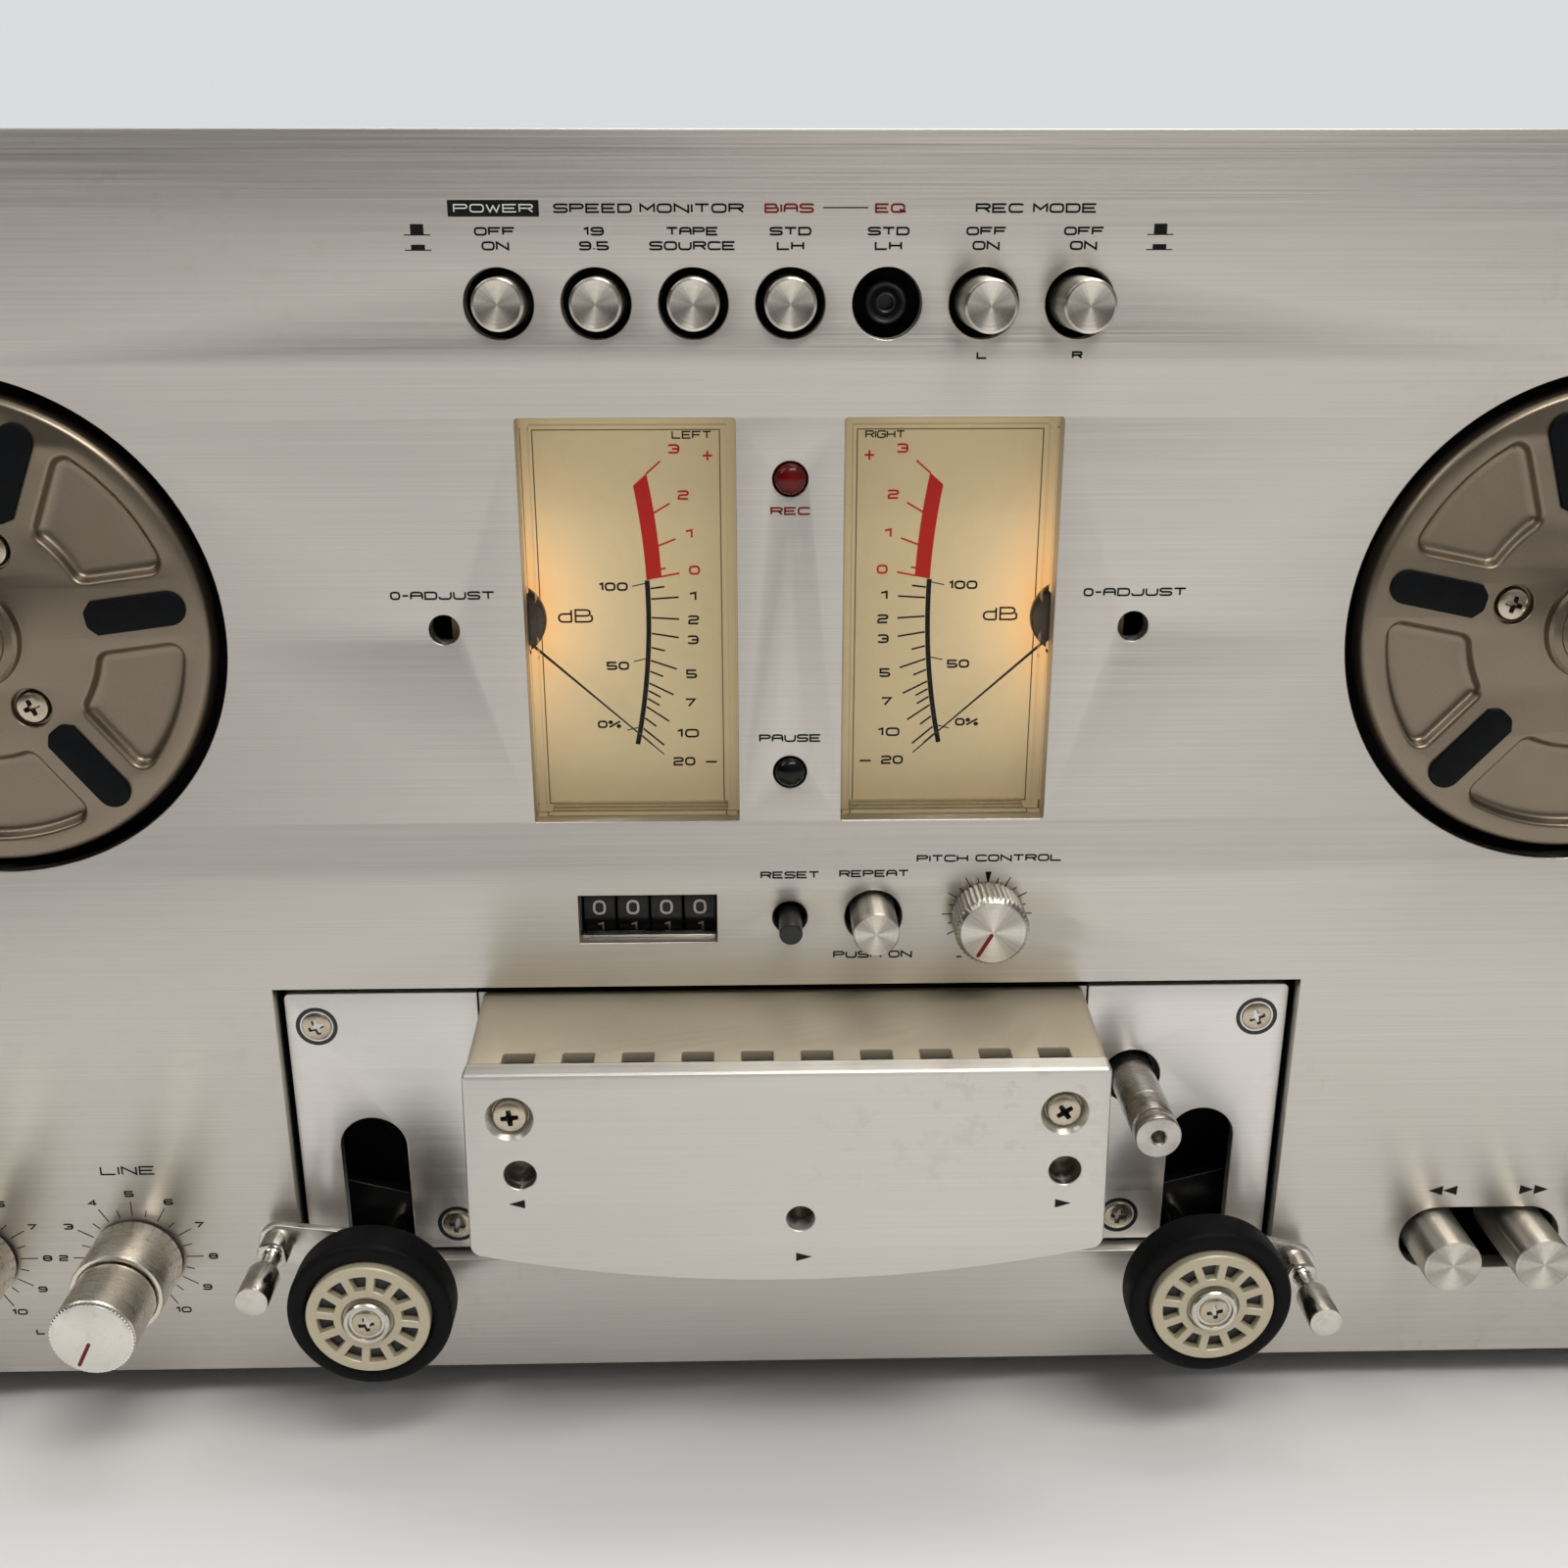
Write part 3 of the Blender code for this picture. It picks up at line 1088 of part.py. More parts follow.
def make_meter_window(side, name):
    """A clear pane that fills the panel's opening, with a lip behind the panel."""
    half = METER_WINDOW_WIDTH / 2 - SEAT_GAP
    half_tall = METER_WINDOW_TALL / 2 - SEAT_GAP
    middle = side * METER_OFFSET
    pane = block(middle - half, middle + half, METER_HEIGHT - half_tall, METER_HEIGHT + half_tall,
                 BEHIND_PANEL - METER_PANE_LIP / 2, METER_PANE_FRONT)
    margin = METER_PANE_LIP
    lip = block(middle - half - margin, middle + half + margin, METER_HEIGHT - half_tall - margin,
                METER_HEIGHT + half_tall + margin, BEHIND_PANEL - METER_PANE_LIP, BEHIND_PANEL)
    join(pane, [lip])
    cut(pane, [block(middle - half + METER_PANE_THICK, middle + half - METER_PANE_THICK,
                     METER_HEIGHT - half_tall + METER_PANE_THICK, METER_HEIGHT + half_tall - METER_PANE_THICK,
                     BEHIND_PANEL - METER_PANE_LIP - OVERRUN, METER_PANE_FRONT - METER_PANE_THICK)])
    finish(pane, name, CLEAR)


def make_meter_needle(side, name):
    """A hub and a thin pointer that rests at the scale's low end."""
    hub_back = METER_SCALE_FACE + SEAT_GAP
    pointer_back = METER_SCALE_FACE + NEEDLE_LIFT
    hub = revolve([(0, hub_back + NEEDLE_HUB), (NEEDLE_HUB_RADIUS, hub_back + NEEDLE_HUB),
                   (NEEDLE_HUB_RADIUS, hub_back), (0, hub_back)], SMALL_STEPS)
    half = NEEDLE_WIDTH / 2
    points = [(0, -half), (NEEDLE_LENGTH, -half / 2), (NEEDLE_LENGTH, half / 2), (0, half)]
    points = mirrored(turned(points, -NEEDLE_REST), -side)
    tool = join(hub, [sheet([points], pointer_back, pointer_back + NEEDLE_THICK)])
    finish(hub, name, BLACK_PLASTIC)
    place(hub, side * NEEDLE_PIVOT_OFFSET, NEEDLE_PIVOT_HEIGHT, 0)
    carry_tools(hub, [tool])


def make_lamp_strip():
    """One moulding with two domed lenses that look through the panel."""
    half = LAMP_STRIP_WIDTH / 2
    strip = block(-half, half, PAUSE_LAMP_HEIGHT - LAMP_STRIP_MARGIN, REC_LAMP_HEIGHT + LAMP_STRIP_MARGIN,
                  BEHIND_PANEL - LAMP_STRIP_THICK, BEHIND_PANEL)
    lenses = []
    for y in (PAUSE_LAMP_HEIGHT, REC_LAMP_HEIGHT):
        lens = revolve([(0, LAMP_PROUD), (LAMP_RADIUS / 2, LAMP_PROUD - LAMP_CLEARANCE), (LAMP_RADIUS, 0),
                        (LAMP_RADIUS, BEHIND_PANEL - FUSE), (0, BEHIND_PANEL - FUSE)], SMALL_STEPS)
        lenses.append(place(lens, 0, y, 0))
    join(strip, lenses)
    finish(strip, "lamp_strip", RED)


def make_counter_frame():
    """A frame open to the front and the back, with the axle of the drums across it."""
    half = counter_inner_width() / 2
    half_tall = DRUM_RADIUS + RUN_GAP
    wall = COUNTER_WALL
    frame = sheet([rectangle(COUNTER_OFFSET - half - wall, COUNTER_HEIGHT - half_tall - wall,
                             COUNTER_OFFSET + half + wall, COUNTER_HEIGHT + half_tall + wall),
                   rectangle(COUNTER_OFFSET - half, COUNTER_HEIGHT - half_tall,
                             COUNTER_OFFSET + half, COUNTER_HEIGHT + half_tall)],
                  MECH_FRONT + SEAT_GAP, BEHIND_PANEL)
    axle_half = half + wall / 2
    axle = revolve([(0, axle_half), (DRUM_AXLE_RADIUS, axle_half), (DRUM_AXLE_RADIUS, -axle_half),
                    (0, -axle_half)], SMALL_STEPS)
    axle.rotation_euler = (0, QUARTER_TURN, 0)
    join(frame, [place(axle, COUNTER_OFFSET, COUNTER_HEIGHT, drum_axis_depth())])
    finish(frame, "counter_frame", STEEL)


def make_counter_drum(x, name):
    half = DRUM_WIDTH / 2
    bore = DRUM_AXLE_RADIUS + RUN_GAP
    drum = revolve([(DRUM_RADIUS, half), (DRUM_RADIUS, -half), (bore, -half), (bore, half)],
                   HOLE_STEPS, closed=True)
    finish(drum, name, BLACK_PLASTIC)
    drum.rotation_euler = (0, QUARTER_TURN, 0)
    place(drum, x, COUNTER_HEIGHT, drum_axis_depth())


# Buttons and knobs

def make_button(name, look, x, y, radius, proud, length):
    """A turned cap on a square stem that slides in the mechanism plate."""
    back = proud - length
    button = revolve([(0, proud), (radius - BUTTON_CHAMFER, proud), (radius, proud - BUTTON_CHAMFER),
                      (radius, back), (0, back)], BUTTON_STEPS)
    half = STEM_WIDTH / 2
    tool = join(button, [block(-half, half, -half, half, STEM_BACK, back + FUSE)])
    finish(button, name, look)
    place(button, x, y, 0)
    carry_tools(button, [tool])


def make_top_buttons():
    """The latched buttons rest pressed in, the two record buttons rest out; one has lost its cap."""
    names = ("power", "speed", "monitor", "bias", "equaliser", "record_left", "record_right")
    for x, word in zip(top_button_places(), names):
        look, radius, proud, length = ALUMINIUM, TOP_BUTTON_RADIUS, TOP_BUTTON_IN_PROUD, TOP_BUTTON_LENGTH
        if word.startswith("record"):
            proud = TOP_BUTTON_OUT_PROUD
        if word == "equaliser":
            look, radius, proud, length = BLACK_PLASTIC, BARE_RADIUS, -BARE_SETBACK, BARE_LENGTH
        make_button(word + "_button", look, x, TOP_BUTTON_HEIGHT, radius, proud, length)


def make_transport_buttons():
    names = iter(("rewind", "fast_forward", "reverse_play", "stop", "forward_play", "pause", "record"))
    for left, right, places in transport_slots():
        for x in places:
            make_button(next(names) + "_button", ALUMINIUM, x, TRANSPORT_HEIGHT, TRANSPORT_RADIUS,
                        TRANSPORT_PROUD, TRANSPORT_LENGTH)


def make_small_controls():
    make_button("reset_button", BLACK_PLASTIC, RESET_OFFSET, CONTROL_HEIGHT, RESET_RADIUS, RESET_PROUD,
                SMALL_BUTTON_LENGTH)
    make_button("repeat_button", ALUMINIUM, REPEAT_OFFSET, CONTROL_HEIGHT, REPEAT_RADIUS, REPEAT_PROUD,
                SMALL_BUTTON_LENGTH)
    make_pitch_knob()


def make_pitch_knob():
    """A fluted knob on its shaft."""
    points = []
    for index in range(PITCH_FLUTES):
        angle = FULL_TURN * index / PITCH_FLUTES
        half_turn = angle + FULL_TURN / PITCH_FLUTES / 2
        groove_radius = PITCH_RADIUS - FLUTE_DEPTH
        points.append((PITCH_RADIUS * math.cos(angle), PITCH_RADIUS * math.sin(angle)))
        points.append((groove_radius * math.cos(half_turn), groove_radius * math.sin(half_turn)))
    knob = sheet([points], KNOB_LIFT, PITCH_PROUD - LEVEL_CHAMFER)
    face_radius = PITCH_RADIUS - FLUTE_DEPTH - LEVEL_CHAMFER
    face_back = PITCH_PROUD - 2 * LEVEL_CHAMFER
    core = revolve([(0, PITCH_PROUD), (face_radius, PITCH_PROUD), (face_radius, face_back),
                    (KNOB_SHAFT_RADIUS, face_back - FUSE), (KNOB_SHAFT_RADIUS, STEM_BACK), (0, STEM_BACK)],
                   BUTTON_STEPS)
    tool = join(knob, [core])
    finish(knob, "pitch_knob", ALUMINIUM)
    place(knob, PITCH_OFFSET, PITCH_HEIGHT, 0)
    carry_tools(knob, [tool])


def make_level_knobs(x, word):
    """A rear knob on a sleeve, and a front knob whose shaft runs through it."""
    rear_top = KNOB_LIFT + LEVEL_REAR_LENGTH
    bore = LEVEL_SLEEVE_BORE
    chamfer = LEVEL_CHAMFER
    rear = revolve([(LEVEL_REAR_RADIUS - chamfer, rear_top), (LEVEL_REAR_RADIUS, rear_top - chamfer),
                    (LEVEL_REAR_RADIUS, KNOB_LIFT), (LEVEL_SLEEVE_RADIUS, KNOB_LIFT),
                    (LEVEL_SLEEVE_RADIUS, -LEVEL_SLEEVE_DEPTH), (bore, -LEVEL_SLEEVE_DEPTH),
                    (bore, rear_top)], KNOB_STEPS, closed=True)
    finish(rear, word + "_rear_knob", ALUMINIUM)
    place(rear, x, LEVEL_HEIGHT, 0)
    shaft = bore - RUN_GAP
    front_bottom = rear_top + RUN_GAP
    front = revolve([(0, LEVEL_PROUD), (LEVEL_FRONT_RADIUS - chamfer, LEVEL_PROUD),
                     (LEVEL_FRONT_RADIUS, LEVEL_PROUD - chamfer), (LEVEL_FRONT_RADIUS, front_bottom),
                     (shaft, front_bottom), (shaft, STEM_BACK), (0, STEM_BACK)], KNOB_STEPS)
    finish(front, word + "_front_knob", ALUMINIUM)
    place(front, x, LEVEL_HEIGHT, 0)


def make_jack_block():
    """A moulding with three sockets whose barrels come through the panel."""
    places = jack_places()
    left = places[0] - JACK_BODY_MARGIN
    right = places[-1] + JACK_BODY_MARGIN
    half = JACK_BODY_TALL / 2
    body = block(left, right, JACK_HEIGHT - half, JACK_HEIGHT + half, BEHIND_PANEL - JACK_BODY_DEPTH,
                 BEHIND_PANEL)
    barrel_back = BEHIND_PANEL - FUSE
    join(body, [post(x, JACK_HEIGHT, JACK_RADIUS, barrel_back, JACK_PROUD, SMALL_STEPS) for x in places])
    floor = BEHIND_PANEL - JACK_BORE_DEPTH
    cut(body, [post(x, JACK_HEIGHT, JACK_BORE, floor, JACK_PROUD + OVERRUN, SMALL_STEPS) for x in places])
    finish(body, "jack_block", BLACK_PLASTIC)


# Head block

def make_head_housing():
    """A folded shell round the heads, drawn in towards the front, with a comb of slots at its front edge."""
    back = DECK_FRONT + SEAT_GAP
    front = HEAD_PLATE_PROUD - HEAD_PLATE_THICK - SEAT_GAP
    mesh = bpy.data.meshes.new("shell")
    corners = []
    for depth, half in ((back, HEAD_HALF_WIDTH), (front, HEAD_HALF_WIDTH - HEAD_TAPER)):
        corners += [(HEAD_CENTRE - half, HEAD_SIDE_BOTTOM, depth), (HEAD_CENTRE - half, HEAD_TOP, depth),
                    (HEAD_CENTRE + half, HEAD_TOP, depth), (HEAD_CENTRE + half, HEAD_SIDE_BOTTOM, depth)]
    mesh.from_pydata(corners, [], [(0, 4, 5, 1), (1, 5, 6, 2), (2, 6, 7, 3)])
    housing = bpy.data.objects.new("shell", mesh)
    bpy.context.scene.collection.objects.link(housing)
    solidify = housing.modifiers.new("Wall", "SOLIDIFY")
    solidify.thickness = HEAD_WALL
    solidify.offset = -1
    solidify.use_even_offset = True
    slots = []
    half = (COMB_COUNT - 1) / 2
    for index in range(COMB_COUNT):
        x = HEAD_CENTRE + (index - half) * COMB_PITCH
        slots.append(block(x - COMB_WIDTH / 2, x + COMB_WIDTH / 2, HEAD_TOP - HEAD_WALL - OVERRUN,
                           HEAD_TOP + OVERRUN, front - COMB_DEPTH, front + OVERRUN))
    cut(housing, slots)
    finish(housing, "head_housing", CHAMPAGNE)


def head_plate_outline():
    """Straight top, sides that spread a little, round corners and a bowed lower edge."""
    low_half = HEAD_PLATE_HALF_WIDTH + HEAD_PLATE_FLARE
    sag = HEAD_PLATE_CORNER - HEAD_PLATE_BOTTOM
    radius = (low_half ** 2 + sag ** 2) / (2 * sag)
    swing = math.asin((low_half - HEAD_PLATE_ROUND) / radius)
    bow = arc(HEAD_CENTRE, HEAD_PLATE_BOTTOM + radius, radius, -QUARTER_TURN - swing, -QUARTER_TURN + swing,
              SMALL_STEPS)
    corner_height = bow[0][1] + HEAD_PLATE_ROUND
    left = arc(HEAD_CENTRE - low_half + HEAD_PLATE_ROUND, corner_height, HEAD_PLATE_ROUND,
               2 * QUARTER_TURN, 3 * QUARTER_TURN - swing, 3)
    right = arc(HEAD_CENTRE + low_half - HEAD_PLATE_ROUND, corner_height, HEAD_PLATE_ROUND,
                -QUARTER_TURN + swing, 0, 3)
    top = [(HEAD_CENTRE + HEAD_PLATE_HALF_WIDTH, HEAD_TOP), (HEAD_CENTRE - HEAD_PLATE_HALF_WIDTH, HEAD_TOP)]
    return left[:-1] + bow + right[1:] + top


def make_head_front_plate():
    back = HEAD_PLATE_PROUD - HEAD_PLATE_THICK
    holes = [head_plate_outline()]
    for side in (-1, 1):
        holes.append(circle(side * ADJUST_OFFSET, ADJUST_HEIGHT, ADJUST_RADIUS, BUTTON_STEPS))
    holes.append(circle(ADJUST_MIDDLE_OFFSET, ADJUST_MIDDLE_HEIGHT, ADJUST_MIDDLE_RADIUS, BUTTON_STEPS))
    plate = sheet(holes, back, HEAD_PLATE_PROUD)
    dimples = []
    seat = HEAD_PLATE_PROUD - HEAD_SCREW_DEPTH
    above = HEAD_PLATE_PROUD + OVERRUN
    below = back - OVERRUN
    for side in (-1, 1):
        dimple = revolve([(0, above), (HEAD_SCREW_RADIUS, above), (HEAD_SCREW_RADIUS, HEAD_PLATE_PROUD),
                          (HEAD_SCREW_SEAT, seat), (HEAD_SCREW_BORE, seat), (HEAD_SCREW_BORE, below),
                          (0, below)], BUTTON_STEPS)
        dimples.append(place(dimple, HEAD_CENTRE + side * HEAD_SCREW_OFFSET, HEAD_SCREW_HEIGHT, 0))
    cut(plate, dimples)
    finish(plate, "head_front_plate", ALUMINIUM)


def tape_head_outline(x):
    """A head seen from the front: square shoulders and a round nose where the tape runs."""
    half = TAPE_HEAD_WIDTH / 2
    nose = arc(x, TAPE_HEAD_NOSE + half, half, math.pi, FULL_TURN, SMALL_STEPS // 2)
    return nose + [(x + half, TAPE_HEAD_TOP), (x - half, TAPE_HEAD_TOP)]


def make_head_assembly():
    """A base plate with the heads, the tape guides and the posts of the front plate."""
    bottom, top, outer = deck_plate_edges()
    left = HEAD_CENTRE - HEAD_HALF_WIDTH - RECESS_GAP + SEAT_GAP
    right = HEAD_CENTRE + HEAD_HALF_WIDTH + RECESS_GAP - SEAT_GAP
    base = block(left, right, bottom, top, DECK_BACK, DECK_FRONT)
    back = DECK_FRONT - FUSE
    pieces = []
    half = (TAPE_HEAD_COUNT - 1) / 2
    for index in range(TAPE_HEAD_COUNT):
        x = HEAD_CENTRE + (index - half) * TAPE_HEAD_PITCH
        pieces.append(sheet([tape_head_outline(x)], back, TAPE_HEAD_REACH))
    post_front = HEAD_PLATE_PROUD - HEAD_PLATE_THICK - SEAT_GAP
    for side in (-1, 1):
        pieces.append(post(HEAD_CENTRE + side * TAPE_GUIDE_OFFSET, TAPE_GUIDE_HEIGHT, TAPE_GUIDE_RADIUS, back,
                           TAPE_HEAD_REACH))
        pieces.append(post(HEAD_CENTRE + side * HEAD_SCREW_OFFSET, HEAD_SCREW_HEIGHT, HEAD_POST_RADIUS, back,
                           post_front))
        pieces.append(post(HEAD_CENTRE + side * TAPE_GUIDE_OFFSET, TAPE_HEAD_TOP, DECK_POST_RADIUS,
                           MECH_FRONT + SEAT_GAP, DECK_BACK + FUSE))
    join(base, pieces)
    finish(base, "head_assembly", STEEL)


# Pinch rollers and tension arms

def arm_outline(side):
    """A link from the pivot to the roller shaft, in the shaft's own frame."""
    dx = ARM_PIVOT_OFFSET - ROLLER_OFFSET
    dy = ARM_PIVOT_HEIGHT - ROLLER_HEIGHT
    angle = math.atan2(dy, dx)
    reach = math.hypot(dx, dy)
    pivot_end = arc(0, 0, ARM_HALF_WIDTH, -QUARTER_TURN, QUARTER_TURN, 6)
    shaft_end = arc(-reach, 0, ARM_HALF_WIDTH, QUARTER_TURN, 3 * QUARTER_TURN, 6)
    return mirrored(turned(pivot_end + shaft_end, angle), side)


def make_pinch_arm(side, name):
    """Arm on its pivot boss, with the stepped roller shaft and the washer that holds the roller."""
    back = -ARM_SETBACK - ARM_THICK
    bore = bore_ring(0, 0, ARM_PIN_RADIUS + RUN_GAP, HIDDEN_STEPS)
    arm = sheet([arm_outline(side), bore], back, -ARM_SETBACK)
    boss = sheet([circle(0, 0, ARM_HALF_WIDTH - FUSE, SMALL_STEPS), bore], MECH_FRONT + SEAT_GAP, back + FUSE)
    sleeve_bottom = ROLLER_SLEEVE_LIFT
    sleeve_top = TYRE_BACK - RUN_GAP
    washer_back = TYRE_BACK + TYRE_WIDTH + HUB_PROUD + RUN_GAP
    washer_front = washer_back + WASHER_THICK
    shaft = revolve([(0, washer_front), (WASHER_RADIUS, washer_front), (WASHER_RADIUS, washer_back),
                     (ROLLER_SHAFT_RADIUS, washer_back), (ROLLER_SHAFT_RADIUS, sleeve_top),
                     (ROLLER_SLEEVE_RADIUS, sleeve_top), (ROLLER_SLEEVE_RADIUS, sleeve_bottom),
                     (ROLLER_SHAFT_RADIUS, sleeve_bottom), (ROLLER_SHAFT_RADIUS, back / 2 - ARM_SETBACK / 2),
                     (0, back / 2 - ARM_SETBACK / 2)], SMALL_STEPS)
    place(shaft, side * (ROLLER_OFFSET - ARM_PIVOT_OFFSET), ROLLER_HEIGHT - ARM_PIVOT_HEIGHT, 0)
    tools = [join(arm, [boss]), join(arm, [shaft])]
    finish(arm, name, STEEL)
    place(arm, side * ARM_PIVOT_OFFSET, ARM_PIVOT_HEIGHT, 0)
    carry_tools(arm, tools)


def make_tyre(side, name):
    top = TYRE_BACK + TYRE_WIDTH
    bore = HUB_RADIUS + SEAT_GAP
    tyre = revolve([(TYRE_RADIUS - TYRE_ROUND, top), (TYRE_RADIUS, top - TYRE_ROUND),
                    (TYRE_RADIUS, TYRE_BACK + TYRE_ROUND), (TYRE_RADIUS - TYRE_ROUND, TYRE_BACK),
                    (bore, TYRE_BACK), (bore, top)], ROUND_STEPS, closed=True)
    finish(tyre, name, RUBBER)
    place(tyre, side * ROLLER_OFFSET, ROLLER_HEIGHT, 0)


def hub_window(index):
    """One window between two spokes of the hub."""
    step = FULL_TURN / HUB_WINDOW_COUNT
    half = step * HUB_WINDOW_SHARE / 2
    points = arc(0, 0, HUB_WINDOW_OUTER, -half, half, 1) + arc(0, 0, HUB_WINDOW_INNER, half, -half, 1)
    front = TYRE_BACK + TYRE_WIDTH + HUB_PROUD
    return sheet([turned(points, index * step)], front - HUB_WEB - OVERRUN, front + OVERRUN)


def make_roller_hub(side, name):
    """A moulded wheel: rim, sleeve and a front web with twelve windows."""
    front = TYRE_BACK + TYRE_WIDTH + HUB_PROUD
    rim = HUB_RADIUS - HUB_RIM
    bore = ROLLER_SHAFT_RADIUS + RUN_GAP
    hub = revolve([(HUB_RADIUS, front), (HUB_RADIUS, TYRE_BACK), (rim, TYRE_BACK), (rim, front - HUB_WEB),
                   (HUB_SLEEVE_RADIUS, front - HUB_WEB), (HUB_SLEEVE_RADIUS, TYRE_BACK), (bore, TYRE_BACK),
                   (bore, front)], HUB_STEPS, closed=True)
    tool = cut(hub, [hub_window(index) for index in range(HUB_WINDOW_COUNT)])
    finish(hub, name, CHAMPAGNE)
    place(hub, side * ROLLER_OFFSET, ROLLER_HEIGHT, 0)
    carry_tools(hub, [tool])


def make_tension_arm(side, name, angle):
    """A ring on the roller shaft, a tapering plate and the tape post with its collar and neck."""
    lean = math.asin((TENSION_RING_RADIUS - TENSION_END_RADIUS) / TENSION_REACH)
    ring_side = arc(0, 0, TENSION_RING_RADIUS, QUARTER_TURN - lean, 3 * QUARTER_TURN + lean, 8)
    end_side = arc(TENSION_REACH, 0, TENSION_END_RADIUS, -QUARTER_TURN + lean, QUARTER_TURN - lean, 6)
    bore = bore_ring(0, 0, ROLLER_SLEEVE_RADIUS + RUN_GAP, SMALL_STEPS)
    outline = turned(ring_side + end_side, angle)
    back = TENSION_PLATE_LIFT
    front = TENSION_PLATE_LIFT + TENSION_PLATE_THICK
    arm = sheet([outline, bore], back, front)
    root = front - FUSE
    tape_post = revolve([(0, POST_PROUD), (POST_RADIUS, POST_PROUD), (POST_RADIUS, NECK_TOP + SHOULDER),
                         (NECK_RADIUS, NECK_TOP), (NECK_RADIUS, COLLAR_TOP), (COLLAR_RADIUS, COLLAR_TOP),
                         (COLLAR_RADIUS, root), (0, root)], SMALL_STEPS)
    place(tape_post, TENSION_REACH * math.cos(angle), TENSION_REACH * math.sin(angle), 0)
    tool = join(arm, [tape_post])
    finish(arm, name, CHROME)
    place(arm, side * ROLLER_OFFSET, ROLLER_HEIGHT, 0)
    carry_tools(arm, [tool])


# Building the deck

def make_frame():
    """The empty that carries the panel frame, with the deck centred over its footprint."""
    frame = bpy.data.objects.new("panel_frame", None)
    PIECES.objects.link(frame)
    frame.location = (0, (FRONT_REACH + REAR_REACH) / 2, FOOT_HEIGHT)
    frame.rotation_euler = (QUARTER_TURN, 0, 0)
    return frame


def build_pair(make, word):
    make(-1, "left_" + word)
    make(1, "right_" + word)


def build():
    make_front_panel()
    make_mechanism_plate()
    make_bottom_pan()
    make_top_cover()
    build_pair(make_deck_plate, "deck_plate")
    make_head_housing()
    make_head_front_plate()
    make_head_assembly()
    build_pair(make_meter_case, "meter_case")
    build_pair(make_meter_window, "meter_window")
    build_pair(make_meter_needle, "meter_needle")
    make_lamp_strip()
    make_counter_frame()
    for x, word in zip(drum_places(), ("thousands", "hundreds", "tens", "units")):
        make_counter_drum(x, "counter_drum_" + word)
    make_reel_table(-1, "left_reel_table", LEFT_PAD_ANGLE)
    make_reel_table(1, "right_reel_table", RIGHT_PAD_ANGLE)
    build_pair(make_lock_cap, "reel_lock_cap")
    build_pair(make_reel_motor, "reel_motor")
    make_capstan_motor()
    make_capstan_shaft()
    build_pair(make_pinch_arm, "pinch_arm")
    build_pair(make_tyre, "pinch_tyre")
    build_pair(make_roller_hub, "pinch_hub")
    make_tension_arm(-1, "left_tension_arm", LEFT_TENSION_ANGLE)
    make_tension_arm(1, "right_tension_arm", RIGHT_TENSION_ANGLE)
    make_top_buttons()
    make_transport_buttons()
    make_small_controls()
    make_level_knobs(LINE_OFFSET, "line")
    make_level_knobs(MIC_OFFSET, "mic")
    make_jack_block()
    make_transformer()


clear_scene()
PIECES = new_collection("tape_deck")
CUTTERS = new_collection("cutters")
FRAME = make_frame()
build()
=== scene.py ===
import math

import bmesh
import bpy
from mathutils import Matrix, Vector


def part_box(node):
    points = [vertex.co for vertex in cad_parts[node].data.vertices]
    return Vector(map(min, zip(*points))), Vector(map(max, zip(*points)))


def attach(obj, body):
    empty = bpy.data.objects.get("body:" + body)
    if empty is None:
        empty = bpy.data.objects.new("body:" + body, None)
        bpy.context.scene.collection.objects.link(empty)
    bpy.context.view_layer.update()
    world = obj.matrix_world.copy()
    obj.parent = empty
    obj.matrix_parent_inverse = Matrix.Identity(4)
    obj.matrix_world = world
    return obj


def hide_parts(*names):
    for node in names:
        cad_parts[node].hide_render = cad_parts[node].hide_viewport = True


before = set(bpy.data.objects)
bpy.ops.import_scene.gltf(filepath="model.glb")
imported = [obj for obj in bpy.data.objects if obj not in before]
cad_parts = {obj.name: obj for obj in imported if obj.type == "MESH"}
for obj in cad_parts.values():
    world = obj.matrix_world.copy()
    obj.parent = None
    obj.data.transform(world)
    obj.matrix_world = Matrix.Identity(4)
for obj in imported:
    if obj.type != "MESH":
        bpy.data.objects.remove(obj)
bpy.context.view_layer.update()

MM = 0.001
TURN = 2 * math.pi
QUARTER = math.pi / 2
SHARP = math.radians(32)
WELD = 0.002 * MM
INK = 0.04 * MM

FINE = 128
ROUND = 72
SMALL = 40

# The panel frame: x runs across the front, y up the front and z out of it
PANEL_LOW, PANEL_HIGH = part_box("front_panel")
PANEL = Matrix.Translation((0, PANEL_LOW.y, PANEL_LOW.z)) @ Matrix.Rotation(QUARTER, 4, "X")
TO_PANEL = PANEL.inverted()


def extent(node):
    """A node's low and high corners in the panel frame."""
    low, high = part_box(node)
    a = TO_PANEL @ low
    b = TO_PANEL @ high
    return Vector(map(min, a, b)), Vector(map(max, a, b))


def middle(node):
    low, high = extent(node)
    return (low.x + high.x) / 2, (low.y + high.y) / 2


# Outlines and profiles

def arc(cx, cy, radius, start, end, steps):
    points = []
    for index in range(steps + 1):
        angle = start + (end - start) * index / steps
        points.append((cx + radius * math.cos(angle), cy + radius * math.sin(angle)))
    return points


def circle(cx, cy, radius, steps=ROUND):
    return arc(cx, cy, radius, 0, TURN, steps)[:-1]


def rectangle(left, bottom, right, top):
    return [(left, bottom), (right, bottom), (right, top), (left, top)]


def turned(points, angle):
    return [(x * math.cos(angle) - y * math.sin(angle), x * math.sin(angle) + y * math.cos(angle))
            for x, y in points]


def mirrored(points, side):
    return [(side * x, y) for x, y in points]


def moved(points, dx, dy):
    return [(x + dx, y + dy) for x, y in points]


def sized(points, level=0.0, start=0.0):
    """Pairs in millimetres as lengths, the first counted from `start` and the second from `level`."""
    return [(start + a * MM, level + b * MM) for a, b in points]


